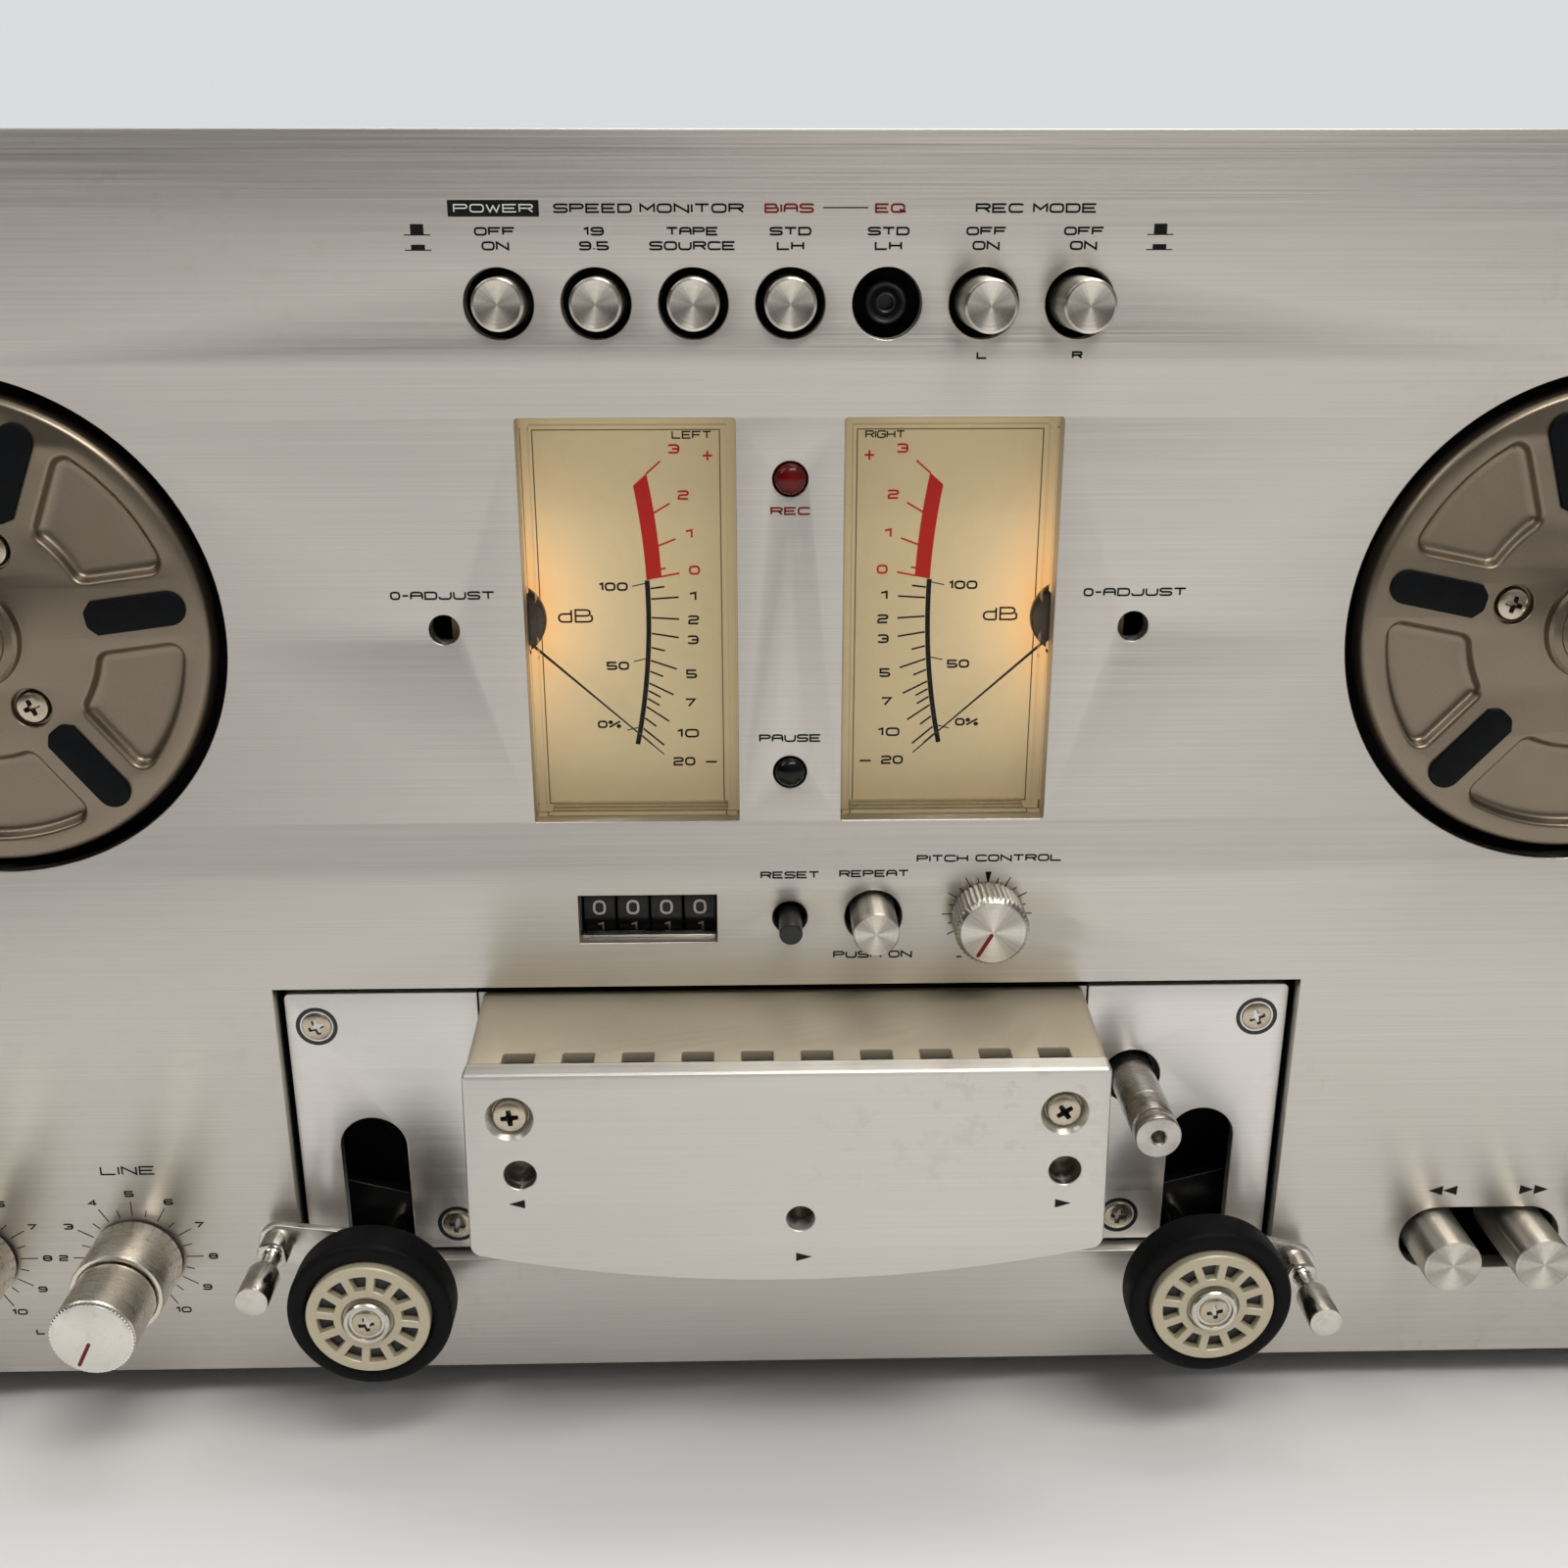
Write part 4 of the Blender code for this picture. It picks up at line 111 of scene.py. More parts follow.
def soften(points, reach, steps=4, closed=True, sharp=()):
    """Round each corner of a line of points; the rounding takes at most `reach` of each side."""
    count = len(points)
    result = []
    for index, point in enumerate(points):
        here = Vector(point)
        if index in sharp or not closed and index in (0, count - 1):
            result.append(tuple(here))
            continue
        before = Vector(points[index - 1])
        after = Vector(points[(index + 1) % count])
        back = before - here
        on = after - here
        start = here + back.normalized() * min(reach, back.length * 0.48)
        end = here + on.normalized() * min(reach, on.length * 0.48)
        for step in range(steps + 1):
            share = step / steps
            result.append(tuple(start * (1 - share) ** 2 + here * 2 * share * (1 - share) + end * share ** 2))
    return result


def inset(points, distance):
    """Move a closed, counter-clockwise line of points inwards."""
    result = []
    count = len(points)
    for index in range(count):
        here = Vector(points[index])
        back = (here - Vector(points[index - 1])).normalized()
        on = (Vector(points[(index + 1) % count]) - here).normalized()
        normal = Vector((-back.y - on.y, back.x + on.x))
        normal = normal.normalized() if normal.length > 1e-9 else Vector((-on.y, on.x))
        lean = max(0.4, normal.dot(Vector((-on.y, on.x))))
        result.append(tuple(here + normal * distance / lean))
    return result


# Meshes

def new_mesh(shape, name, weld=True):
    if weld:
        bmesh.ops.remove_doubles(shape, verts=shape.verts, dist=WELD)
    bmesh.ops.recalc_face_normals(shape, faces=shape.faces)
    mesh = bpy.data.meshes.new(name)
    shape.to_mesh(mesh)
    shape.free()
    return mesh


def add_rings(shape, rings, close_start=True, close_end=True):
    """Skin a list of rings of points; a ring may be one point."""
    made = [[shape.verts.new(point) for point in ring] for ring in rings]
    for low, high in zip(made, made[1:]):
        count = max(len(low), len(high))
        for index in range(count):
            after = (index + 1) % count
            corners = [low[index % len(low)], low[after % len(low)],
                       high[after % len(high)], high[index % len(high)]]
            unique = []
            for corner in corners:
                if corner not in unique:
                    unique.append(corner)
            if len(unique) > 2:
                shape.faces.new(unique)
    if close_start and len(made[0]) > 2:
        shape.faces.new(made[0])
    if close_end and len(made[-1]) > 2:
        shape.faces.new(made[-1])


def add_lathe(shape, profile, steps=ROUND, x=0.0, y=0.0, closed=False):
    """Turn (radius, height) points round z."""
    rings = []
    for radius, height in profile:
        if radius < 1e-7:
            rings.append([(x, y, height)])
        else:
            rings.append([(px, py, height) for px, py in circle(x, y, radius, steps)])
    if closed:
        rings.append(rings[0])
    add_rings(shape, rings, False, False)


def lathe(profile, steps=ROUND, closed=False):
    shape = bmesh.new()
    add_lathe(shape, profile, steps, closed=closed)
    return new_mesh(shape, "turned")


def curve_mesh(outlines, half, edge, rounding=2):
    curve = bpy.data.curves.new("outline", "CURVE")
    curve.dimensions = "2D"
    curve.fill_mode = "BOTH"
    curve.extrude = half - edge
    curve.bevel_depth = edge
    curve.bevel_resolution = rounding
    curve.offset = -edge
    for points in outlines:
        spline = curve.splines.new("POLY")
        spline.points.add(len(points) - 1)
        for point, (x, y) in zip(spline.points, points):
            point.co = (x, y, 0, 1)
        spline.use_cyclic_u = True
    obj = bpy.data.objects.new("outline", curve)
    bpy.context.scene.collection.objects.link(obj)
    bpy.context.view_layer.update()
    mesh = bpy.data.meshes.new_from_object(obj.evaluated_get(bpy.context.evaluated_depsgraph_get()))
    bpy.data.objects.remove(obj, do_unlink=True)
    return mesh


def add_plate(shape, outlines, back, front, edge=0.25 * MM, matrix=None):
    """A flat piece with rounded edges; outlines inside the first one are holes."""
    mesh = curve_mesh(outlines, (front - back) / 2, edge)
    mesh.transform(Matrix.Translation((0, 0, (front + back) / 2)))
    if matrix is not None:
        mesh.transform(matrix)
    shape.from_mesh(mesh)


def plate(outlines, back, front, edge=0.25 * MM):
    shape = bmesh.new()
    add_plate(shape, outlines, back, front, edge)
    return new_mesh(shape, "plate")


def add_face(shape, outlines, height):
    """A flat face with holes."""
    mesh = curve_mesh(outlines, 0, 0, 0)
    mesh.transform(Matrix.Translation((0, 0, height)))
    shape.from_mesh(mesh)


def add_sink(shape, ring, steps, close=True):
    """A pocket under a ring: each step is how far in and how high the next ring lies."""
    rings = []
    for distance, height in steps:
        rings.append([(x, y, height) for x, y in inset(ring, distance)])
    add_rings(shape, rings, False, close)


def add_box(shape, left, bottom, back, right, top, front, edge=0.0):
    made = bmesh.ops.create_cube(shape, size=1)
    size = Matrix.Diagonal((right - left, top - bottom, front - back, 1))
    place = Matrix.Translation(((left + right) / 2, (top + bottom) / 2, (front + back) / 2))
    bmesh.ops.transform(shape, matrix=place @ size, verts=made["verts"])
    if edge:
        edges = {e for v in made["verts"] for e in v.link_edges}
        bmesh.ops.bevel(shape, geom=list(edges), offset=edge, segments=3, affect="EDGES", profile=0.5)


def put(name, mesh, look, x=0.0, y=0.0, turn=0.0, body="deck", replaces=(), z=0.0, sharp=SHARP):
    """Place a mesh in the panel frame and let it ride on its body."""
    obj = bpy.data.objects.new(name, mesh)
    bpy.context.scene.collection.objects.link(obj)
    obj.matrix_world = PANEL @ Matrix.Translation((x, y, z)) @ Matrix.Rotation(turn, 4, "Z")
    mesh.shade_smooth()
    if sharp:
        mesh.set_sharp_from_angle(angle=sharp)
    if not mesh.materials:
        mesh.materials.append(look)
    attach(obj, body)
    if replaces:
        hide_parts(*replaces)
    return obj


# Lettering: strokes on a grid six high, rounded at each corner but those marked with a bang

FONT = {
    "A": "8 00 06 86 80|03 83", "B": "8 !03 73 76 !06 !00 80 83 !73", "C": "8 85 86 06 00 80 81",
    "D": "8 @!00 !06 86 80", "E": "8 86 !06 !00 80|03 73", "F": "8 86 !06 00|03 73",
    "G": "8 85 86 06 00 80 !83 !43", "H": "8 00 06|80 86|03 83", "I": "0 00 06",
    "K": "8 00 06|86 !33 80|03 33", "L": "8 06 !00 80", "M": "8 00 !06 !42 !86 80", "N": "8 00 !06 !80 86",
    "O": "8 @06 86 80 00", "P": "8 00 !06 86 83 !03", "Q": "8 @06 86 80 00|52 90", "R": "8 00 !06 86 83 !03|53 80",
    "S": "8 85 86 06 03 83 80 00 01", "T": "8 06 86|40 46", "U": "8 06 00 80 86",
    "V": "8 06 !40 86", "W": "8 06 !20 !45 !60 86", "J": "8 86 80 00 02",
    "0": "6 @06 66 60 00", "1": "2 05 !26 20", "2": "6 05 06 66 63 03 !00 60", "3": "6 05 06 66 60 00 01|23 63",
    "4": "7 50 !56 !02 72", "5": "6 66 !06 !03 63 60 00 01", "6": "6 65 66 06 00 60 63 03", "7": "6 06 !66 20",
    "8": "6 @06 66 60 00|03 63", "9": "6 01 00 60 66 06 03 63", "d": "6 !64 04 00 !60|60 66",
    "%": "8 00 86|@04 06 26 24|@60 62 82 80", ".": "0 00 01", "-": "4 03 43", "+": "6 03 63|30 36",
}
GRID_TALL = 6
LETTER_GAP = 2
WORD_GAP = 3
STROKE = 0.15 * MM


def add_ribbon(shape, points, half, low, high, closed=False):
    """Lay a flat strip of ink along a line of points, mitred at its corners."""
    count = len(points)
    rings = []
    for index in range(count):
        here = Vector(points[index])
        first, last = not closed and index == 0, not closed and index == count - 1
        on = back = None
        if not first:
            back = (here - Vector(points[index - 1])).normalized()
        if not last:
            on = (Vector(points[(index + 1) % count]) - here).normalized()
        back, on = back or on, on or back
        normal = Vector((-back.y - on.y, back.x + on.x))
        straight = Vector((-on.y, on.x))
        normal = normal.normalized() if normal.length > 0.1 else straight
        side = normal * half / max(0.5, normal.dot(straight))
        left, right = here + side, here - side
        rings.append([(left.x, left.y, low), (right.x, right.y, low),
                      (right.x, right.y, high), (left.x, left.y, high)])
    if closed:
        rings.append(rings[0])
    add_rings(shape, rings, not closed, not closed)


def add_prism(shape, outline, low, high):
    add_rings(shape, [[(x, y, low) for x, y in outline], [(x, y, high) for x, y in outline]])


def advance(letter):
    return WORD_GAP if letter == " " else int(FONT[letter][0])


def resample(points, step):
    result = [points[0]]
    for a, b in zip(points, points[1:]):
        parts = max(1, math.ceil(math.dist(a, b) / step))
        for part in range(1, parts + 1):
            result.append((a[0] + (b[0] - a[0]) * part / parts, a[1] + (b[1] - a[1]) * part / parts))
    return result


def add_text(shape, words, x, y, width, height, half=STROKE, level=0.0, step=None):
    """Write words centred on x with their lower edge at y."""
    units = sum(advance(letter) for letter in words) + LETTER_GAP * (len(words) - 1)
    across = (width - 2 * half) / max(units, 1)
    up = (height - 2 * half) / GRID_TALL
    cursor = x - width / 2 + half if units else x
    for letter in words:
        strokes = [] if letter == " " else FONT[letter][2:].split("|")
        for stroke in strokes:
            closed = stroke[0] == "@"
            marks = stroke.strip("@").split()
            sharp = [index for index, mark in enumerate(marks) if mark[0] == "!"]
            line = [(cursor + int(mark[-2]) * across, y + half + int(mark[-1]) * up) for mark in marks]
            if len(line) > 2:
                line = soften(line, 0.34 * height, 3, closed, sharp)
            if step:
                line = resample(line + line[:1] if closed else line, step)
                closed = False
            add_ribbon(shape, line, half, level - INK, level + INK, closed)
        cursor += (advance(letter) + LETTER_GAP) * across


# Materials

class Look:
    """A material and short calls for the nodes that the looks share."""

    def __init__(self, name, colour, roughness, metallic=0.0):
        self.material = bpy.data.materials.new(name)
        self.material.use_nodes = True
        self.nodes = self.material.node_tree.nodes
        self.links = self.material.node_tree.links
        self.shader = self.nodes["Principled BSDF"]
        self.set("Base Color", (*colour, 1))
        self.set("Roughness", roughness)
        self.set("Metallic", metallic)

    def set(self, socket, value):
        self.shader.inputs[socket].default_value = value

    def feed(self, socket, output):
        self.links.new(output, self.shader.inputs[socket])

    def node(self, kind, **settings):
        made = self.nodes.new("ShaderNode" + kind)
        for key, value in settings.items():
            setattr(made, key, value)
        return made

    def place(self, scale=(1, 1, 1)):
        """Object coordinates in millimetres, stretched by the scale."""
        coords = self.node("TexCoord")
        mapping = self.node("Mapping")
        mapping.inputs["Scale"].default_value = [s / MM for s in scale]
        self.links.new(coords.outputs["Object"], mapping.inputs["Vector"])
        return mapping.outputs["Vector"]

    def noise(self, vector, scale, detail=3.0, roughness=0.55, distortion=0.0):
        made = self.node("TexNoise")
        self.links.new(vector, made.inputs["Vector"])
        made.inputs["Scale"].default_value = scale
        made.inputs["Detail"].default_value = detail
        made.inputs["Roughness"].default_value = roughness
        made.inputs["Distortion"].default_value = distortion
        return made.outputs["Fac"]

    def stretch(self, value, low, high, to_low, to_high):
        made = self.node("MapRange")
        for socket, number in (("From Min", low), ("From Max", high), ("To Min", to_low), ("To Max", to_high)):
            made.inputs[socket].default_value = number
        self.links.new(value, made.inputs["Value"])
        return made.outputs["Result"]

    def sum(self, operation, a, b):
        made = self.node("Math", operation=operation)
        for socket, value in zip(made.inputs, (a, b)):
            if isinstance(value, (int, float)):
                socket.default_value = value
            else:
                self.links.new(value, socket)
        return made.outputs["Value"]

    def mix(self, share, a, b, blend="MIX"):
        made = self.node("Mix", data_type="RGBA", blend_type=blend)
        colours = [s for s in made.inputs if s.type == "RGBA"]
        for socket, value in ((made.inputs[0], share), (colours[0], a), (colours[1], b)):
            if isinstance(value, tuple):
                socket.default_value = (*value, 1)
            elif isinstance(value, (int, float)):
                socket.default_value = value
            else:
                self.links.new(value, socket)
        return next(s for s in made.outputs if s.type == "RGBA")

    def bump(self, height, strength, distance):
        made = self.node("Bump")
        made.inputs["Strength"].default_value = strength
        made.inputs["Distance"].default_value = distance
        self.links.new(height, made.inputs["Height"])
        self.feed("Normal", made.outputs["Normal"])

    def tangent(self, axis, amount, turn=0.0):
        made = self.node("Tangent", direction_type="RADIAL", axis=axis)
        self.set("Anisotropic", amount)
        self.set("Anisotropic Rotation", turn)
        self.feed("Tangent", made.outputs["Tangent"])

    def radius(self):
        """Distance from the object's z axis, in millimetres."""
        coords = self.node("TexCoord")
        split = self.node("SeparateXYZ")
        self.links.new(coords.outputs["Object"], split.inputs[0])
        squares = self.sum("ADD", self.sum("MULTIPLY", split.outputs[0], split.outputs[0]),
                           self.sum("MULTIPLY", split.outputs[1], split.outputs[1]))
        return self.sum("MULTIPLY", self.sum("SQRT", squares, 0.0), 1 / MM)

    def fan(self):
        """Painted highlight rays round the object's z axis: broad ones up and down, faint ones across, all finely
        split.
        """
        coords = self.node("TexCoord")
        split = self.node("SeparateXYZ")
        self.links.new(coords.outputs["Object"], split.inputs[0])
        angle = self.sum("ARCTAN2", split.outputs[1], split.outputs[0])
        upright = self.sum("POWER", self.sum("ABSOLUTE", self.sum("SINE", angle, 0.0), 0.0), 5.0)
        across = self.sum("POWER", self.sum("ABSOLUTE", self.sum("COSINE", angle, 0.0), 0.0), 14.0)
        vector = self.node("CombineXYZ")
        self.links.new(self.sum("COSINE", angle, 0.0), vector.inputs[0])
        self.links.new(self.sum("SINE", angle, 0.0), vector.inputs[1])
        fine = self.stretch(self.noise(vector.outputs[0], 14.0, 3.0, 0.7), 0.3, 0.7, -0.15, 0.25)
        broad = self.sum("ADD", upright, self.sum("MULTIPLY", across, 0.55))
        return self.stretch(self.sum("ADD", broad, fine), 0, 1, 0, 1)


def brushed(name, colour, dark, roughness, stain=0.25, grain=1.0):
    """Aluminium brushed from side to side, with a few stains and spots."""
    look = Look(name, colour, roughness, 1.0)
    fine = look.noise(look.place((0.012, 3.2, 1)), 1.0, 4.0, 0.7)
    broad = look.noise(look.place((0.004, 0.45, 1)), 1.0, 2.0, 0.5)
    lines = look.sum("ADD", look.sum("MULTIPLY", fine, 0.84), look.sum("MULTIPLY", broad, 0.16))
    tone = look.mix(look.stretch(lines, 0.3, 0.7, 0, 1), dark, colour)
    cloud = look.noise(look.place((0.012, 0.012, 0.012)), 1.0, 3.0, 0.5, 0.4)
    spots = look.noise(look.place((0.3, 0.3, 0.3)), 1.0, 3.0, 0.6)
    dirt = look.sum("MULTIPLY", look.stretch(cloud, 0.56, 0.72, 0, 1),
                    look.stretch(spots, 0.56, 0.66, 0, stain))
    tone = look.mix(dirt, tone, (0.36, 0.27, 0.17))
    specks = look.node("TexVoronoi", feature="F1")
    look.links.new(look.place((0.03, 0.03, 0.03)), specks.inputs["Vector"])
    specks.inputs["Scale"].default_value = 1.0
    speck = look.stretch(specks.outputs["Distance"], 0.007, 0.011, 0.5, 0)
    tone = look.mix(speck, tone, (0.16, 0.11, 0.07))
    look.feed("Base Color", tone)
    look.feed("Roughness", look.stretch(lines, 0.3, 0.7, roughness - 0.07, roughness + 0.07))
    look.bump(lines, 0.12 * grain, 0.02 * MM)
    look.tangent("X", 0.75)
    return look.material


def spun(name, colour, dark, roughness, rings=2.2, amount=0.8, grain=0.15, fan=0.0):
    """Metal turned on a lathe: fine rings, and bow-tie highlights that may be painted into its colour, with painted
    shade between the rays.
    """
    look = Look(name, colour, roughness, 1.0)
    radius = look.radius()
    vector = look.node("CombineXYZ")
    look.links.new(radius, vector.inputs[0])
    lines = look.noise(vector.outputs[0], rings, 3.0, 0.7)
    wear = look.noise(look.place((0.35, 0.35, 0.35)), 1.0, 4.0, 0.6)
    tone = look.mix(look.stretch(lines, 0.3, 0.7, 0, 1), dark, colour)
    tone = look.mix(look.stretch(wear, 0.55, 0.75, 0, 0.35), tone, (0.40, 0.33, 0.24))
    # Painted highlight and shade: away from the bright rays the colour is drawn towards a darker shade of itself.
    if fan:
        shade = tuple(0.36 * c for c in colour)
        tone = look.mix(look.sum("MULTIPLY", look.sum("SUBTRACT", 1.0, look.fan()), fan), tone, shade)
    look.feed("Base Color", tone)
    look.feed("Roughness", look.stretch(lines, 0.3, 0.7, roughness - 0.05, roughness + 0.06))
    look.bump(lines, grain, 0.02 * MM)
    look.tangent("Z", amount, 0.25)
    return look.material


def satin(name, colour, dark, roughness, metallic, size=0.5, wear=0.2, bump=0.08, warm=(0.35, 0.28, 0.18)):
    """An even satin surface with a fine tooth and slight clouds of wear."""
    look = Look(name, colour, roughness, metallic)
    tooth = look.noise(look.place((1, 1, 1)), size * 6, 3.0, 0.6)
    cloud = look.noise(look.place((0.05, 0.05, 0.05)), 1.0, 5.0, 0.6, 0.4)
    tone = look.mix(look.stretch(tooth, 0.3, 0.7, 0, 1), dark, colour)
    tone = look.mix(look.stretch(cloud, 0.5, 0.75, 0, wear), tone, warm)
    look.feed("Base Color", tone)
    look.feed("Roughness", look.stretch(cloud, 0.35, 0.7, roughness - 0.06, roughness + 0.08))
    look.bump(tooth, bump, 0.03 * MM)
    return look.material


def polished(name, colour, dark, roughness, wear=0.4):
    """Plated or ground steel with faint marks round its axis and worn patches."""
    look = Look(name, colour, roughness, 1.0)
    marks = look.noise(look.place((0.25, 0.25, 2.5)), 1.0, 3.0, 0.6)
    cloud = look.noise(look.place((0.3, 0.3, 0.3)), 1.0, 4.0, 0.6)
    tone = look.mix(look.stretch(cloud, 0.45, 0.75, 0, wear), colour, dark)
    look.feed("Base Color", tone)
    look.feed("Roughness", look.stretch(marks, 0.3, 0.7, roughness * 0.6, roughness * 1.6))
    look.bump(marks, 0.05, 0.02 * MM)
    return look.material


def rubber(name, colour=(0.0035, 0.004, 0.005)):
    look = Look(name, colour, 0.55)
    look.set("Specular IOR Level", 0.09)
    dust = look.noise(look.place((0.4, 0.4, 0.4)), 1.0, 5.0, 0.65)
    fine = look.noise(look.place((3, 3, 3)), 1.0, 2.0, 0.5)
    pale = tuple(c * 2 + 0.006 for c in colour)
    look.feed("Base Color", look.mix(look.stretch(dust, 0.5, 0.8, 0, 0.35), colour, pale))
    look.feed("Roughness", look.stretch(dust, 0.3, 0.7, 0.45, 0.62))
    look.bump(fine, 0.12, 0.04 * MM)
    return look.material


def paint(name, colour, roughness, size, bump):
    """Crackle paint on sheet steel."""
    look = Look(name, colour, roughness)
    grain = look.node("TexVoronoi", feature="SMOOTH_F1")
    look.links.new(look.place((1, 1, 1)), grain.inputs["Vector"])
    grain.inputs["Scale"].default_value = size
    cloud = look.noise(look.place((0.02, 0.02, 0.02)), 1.0, 4.0, 0.6)
    pale = tuple(c * 1.5 + 0.004 for c in colour)
    look.feed("Base Color", look.mix(look.stretch(cloud, 0.35, 0.7, 0, 1), colour, pale))
    look.feed("Roughness", look.stretch(grain.outputs["Distance"], 0, 0.7, roughness - 0.08, roughness + 0.12))
    look.bump(grain.outputs["Distance"], bump, 0.1 * MM)
    return look.material


def ink(name, colour, glow=0.0):
    look = Look(name, colour, 0.5)
    look.set("Specular IOR Level", 0.15)
    # A glow, where given, paints lamp light onto the ink as emission.
    look.set("Emission Color", (*colour, 1))
    look.set("Emission Strength", glow)
    worn = look.noise(look.place((0.7, 0.7, 0.7)), 1.0, 4.0, 0.7)
    pale = tuple(0.8 * c + 0.04 for c in colour)
    look.feed("Base Color", look.mix(look.stretch(worn, 0.55, 0.8, 0, 0.4), colour, pale))
    look.feed("Roughness", look.stretch(worn, 0.3, 0.7, 0.42, 0.6))
    return look.material


def lens(name, colour, roughness=0.12):
    look = Look(name, colour, roughness)
    # Painted shade: the colour darkens towards the lens's rim.
    depth = look.stretch(look.radius(), 0, 3, 0, 1)
    dark = tuple(c * 0.35 for c in colour)
    look.feed("Base Color", look.mix(depth, colour, dark))
    haze = look.noise(look.place((1, 1, 1)), 1.0, 3.0, 0.6)
    look.feed("Roughness", look.stretch(haze, 0.3, 0.7, roughness * 0.7, roughness * 1.6))
    look.set("Coat Weight", 0.1)
    look.set("Specular IOR Level", 0.2)
    return look.material


def scale_paper(name, glow_x):
    """The meter's cream scale, with the warm light of a lamp beside the pivot painted on as a glow."""
    cream = (0.70, 0.585, 0.375)
    look = Look(name, cream, 0.6)
    coords = look.node("TexCoord")
    split = look.node("SeparateXYZ")
    look.links.new(coords.outputs["Object"], split.inputs[0])
    # Painted lamp light: a warm glow, strongest next to the pivot and falling off away from it.
    dx = look.sum("DIVIDE", look.sum("SUBTRACT", split.outputs[0], glow_x), 15 * MM)
    dy = look.sum("DIVIDE", split.outputs[1], 18 * MM)
    squares = look.sum("ADD", look.sum("MULTIPLY", dx, dx), look.sum("MULTIPLY", dy, dy))
    painted_lamp_glow = look.sum("POWER", 2.718, look.sum("MULTIPLY", squares, -1.0))
    grain = look.noise(look.place((0.3, 0.3, 0.3)), 1.0, 4.0, 0.6)
    paper = look.mix(look.stretch(grain, 0.3, 0.75, 0, 0.5), cream, (0.63, 0.51, 0.31))
    look.feed("Base Color", paper)
    look.feed("Emission Color", look.mix(painted_lamp_glow, (1.0, 0.80, 0.50), (1.0, 0.43, 0.09)))
    look.feed("Emission Strength", look.stretch(painted_lamp_glow, 0, 1, 0.19, 1.0))
    look.bump(grain, 0.03, 0.05 * MM)
    return look.material


def glass(name):
    """Clear acrylic: see-through by Fresnel, with a faint haze of fine scratches."""
    look = Look(name, (1, 1, 1), 0.04)
    clear = look.node("BsdfTransparent")
    clear.inputs["Color"].default_value = (0.97, 0.965, 0.94, 1)
    shine = look.node("BsdfGlossy")
    haze = look.noise(look.place((0.4, 0.4, 0.4)), 1.0, 4.0, 0.6)
    look.links.new(look.stretch(haze, 0.3, 0.8, 0.02, 0.09), shine.inputs["Roughness"])
    fresnel = look.node("Fresnel")
    fresnel.inputs["IOR"].default_value = 1.16
    blend = look.node("MixShader")
    look.links.new(fresnel.outputs[0], blend.inputs[0])
    look.links.new(clear.outputs[0], blend.inputs[1])
    look.links.new(shine.outputs[0], blend.inputs[2])
    look.links.new(blend.outputs[0], look.nodes["Material Output"].inputs["Surface"])
    look.nodes.remove(look.shader)
    return look.material


PANEL_METAL = brushed("panel_aluminium", (0.66, 0.63, 0.585), (0.54, 0.51, 0.465), 0.36)
DECK_METAL = brushed("deck_aluminium", (0.82, 0.80, 0.765), (0.70, 0.68, 0.645), 0.36)
FRONT_METAL = brushed("head_plate_aluminium", (0.69, 0.67, 0.625), (0.61, 0.59, 0.545), 0.42, 0.22, 0.5)
# The spun caps carry painted highlight rays, with painted shade between them, in their colour.
SPUN = spun("spun_aluminium", (0.80, 0.75, 0.67), (0.68, 0.63, 0.55), 0.30, 2.2, 0.9, 0.06, 0.85)
KNOB_FACE = spun("knob_face_aluminium", (0.80, 0.78, 0.72), (0.70, 0.68, 0.62), 0.36, 3.0, 0.7, 0.08)
KNOB_SIDE = polished("knob_side_aluminium", (0.74, 0.69, 0.61), (0.52, 0.47, 0.40), 0.26, 0.3)
BRIGHT = polished("bright_edge", (0.90, 0.88, 0.84), (0.70, 0.66, 0.60), 0.12, 0.2)
HOUSING = satin("champagne_paint", (0.55, 0.485, 0.37), (0.49, 0.43, 0.325), 0.56, 0.6, 0.8, 0.15)
BRONZE = satin("bronze_anodised", (0.24, 0.197, 0.148), (0.205, 0.167, 0.124), 0.34, 0.92, 0.8, 0.25)
HUB_PLASTIC = satin("hub_plastic", (0.56, 0.50, 0.37), (0.51, 0.45, 0.32), 0.42, 0.3, 0.5, 0.3)
CHROME = polished("worn_chrome", (0.62, 0.59, 0.54), (0.30, 0.27, 0.23), 0.16, 0.6)
STEEL = polished("ground_steel", (0.50, 0.47, 0.44), (0.32, 0.28, 0.24), 0.24, 0.6)
SCREW = polished("nickel_screw", (0.50, 0.44, 0.34), (0.27, 0.22, 0.16), 0.24, 0.6)
# The screws' cross recesses are coloured near black: painted shade in the hollow.
CROSS_PAINTED_SHADE = satin("screw_recess_shade", (0.045, 0.036, 0.026), (0.02, 0.016, 0.012), 0.5, 0.4, 0.5, 0.3)
PALE_STEEL = polished("pale_steel", (0.66, 0.63, 0.58), (0.48, 0.45, 0.40), 0.30, 0.4)
RUBBER = rubber("black_rubber")
TYRE = rubber("tyre_rubber", (0.0045, 0.0045, 0.005))
BLACK = satin("black_plastic", (0.008, 0.008, 0.009), (0.005, 0.005, 0.006), 0.34, 0.0, 0.6, 0.3, 0.1,
              (0.018, 0.017, 0.016))
# Near-black paint for the mechanism plate, standing in for the shade behind the panel: painted shade.
INSIDE_PAINTED_SHADE = paint("inside_painted_shade", (0.010, 0.010, 0.011), 0.6, 1.2, 0.2)
CASE_PAINT = paint("case_paint", (0.035, 0.034, 0.036), 0.55, 1.1, 0.35)
ZINC = satin("zinc_plate", (0.45, 0.44, 0.42), (0.36, 0.35, 0.33), 0.35, 1.0, 0.3, 0.3)
INK_BLACK = ink("legend_black", (0.007, 0.006, 0.006))
INK_RED = ink("legend_red", (0.17, 0.016, 0.010))
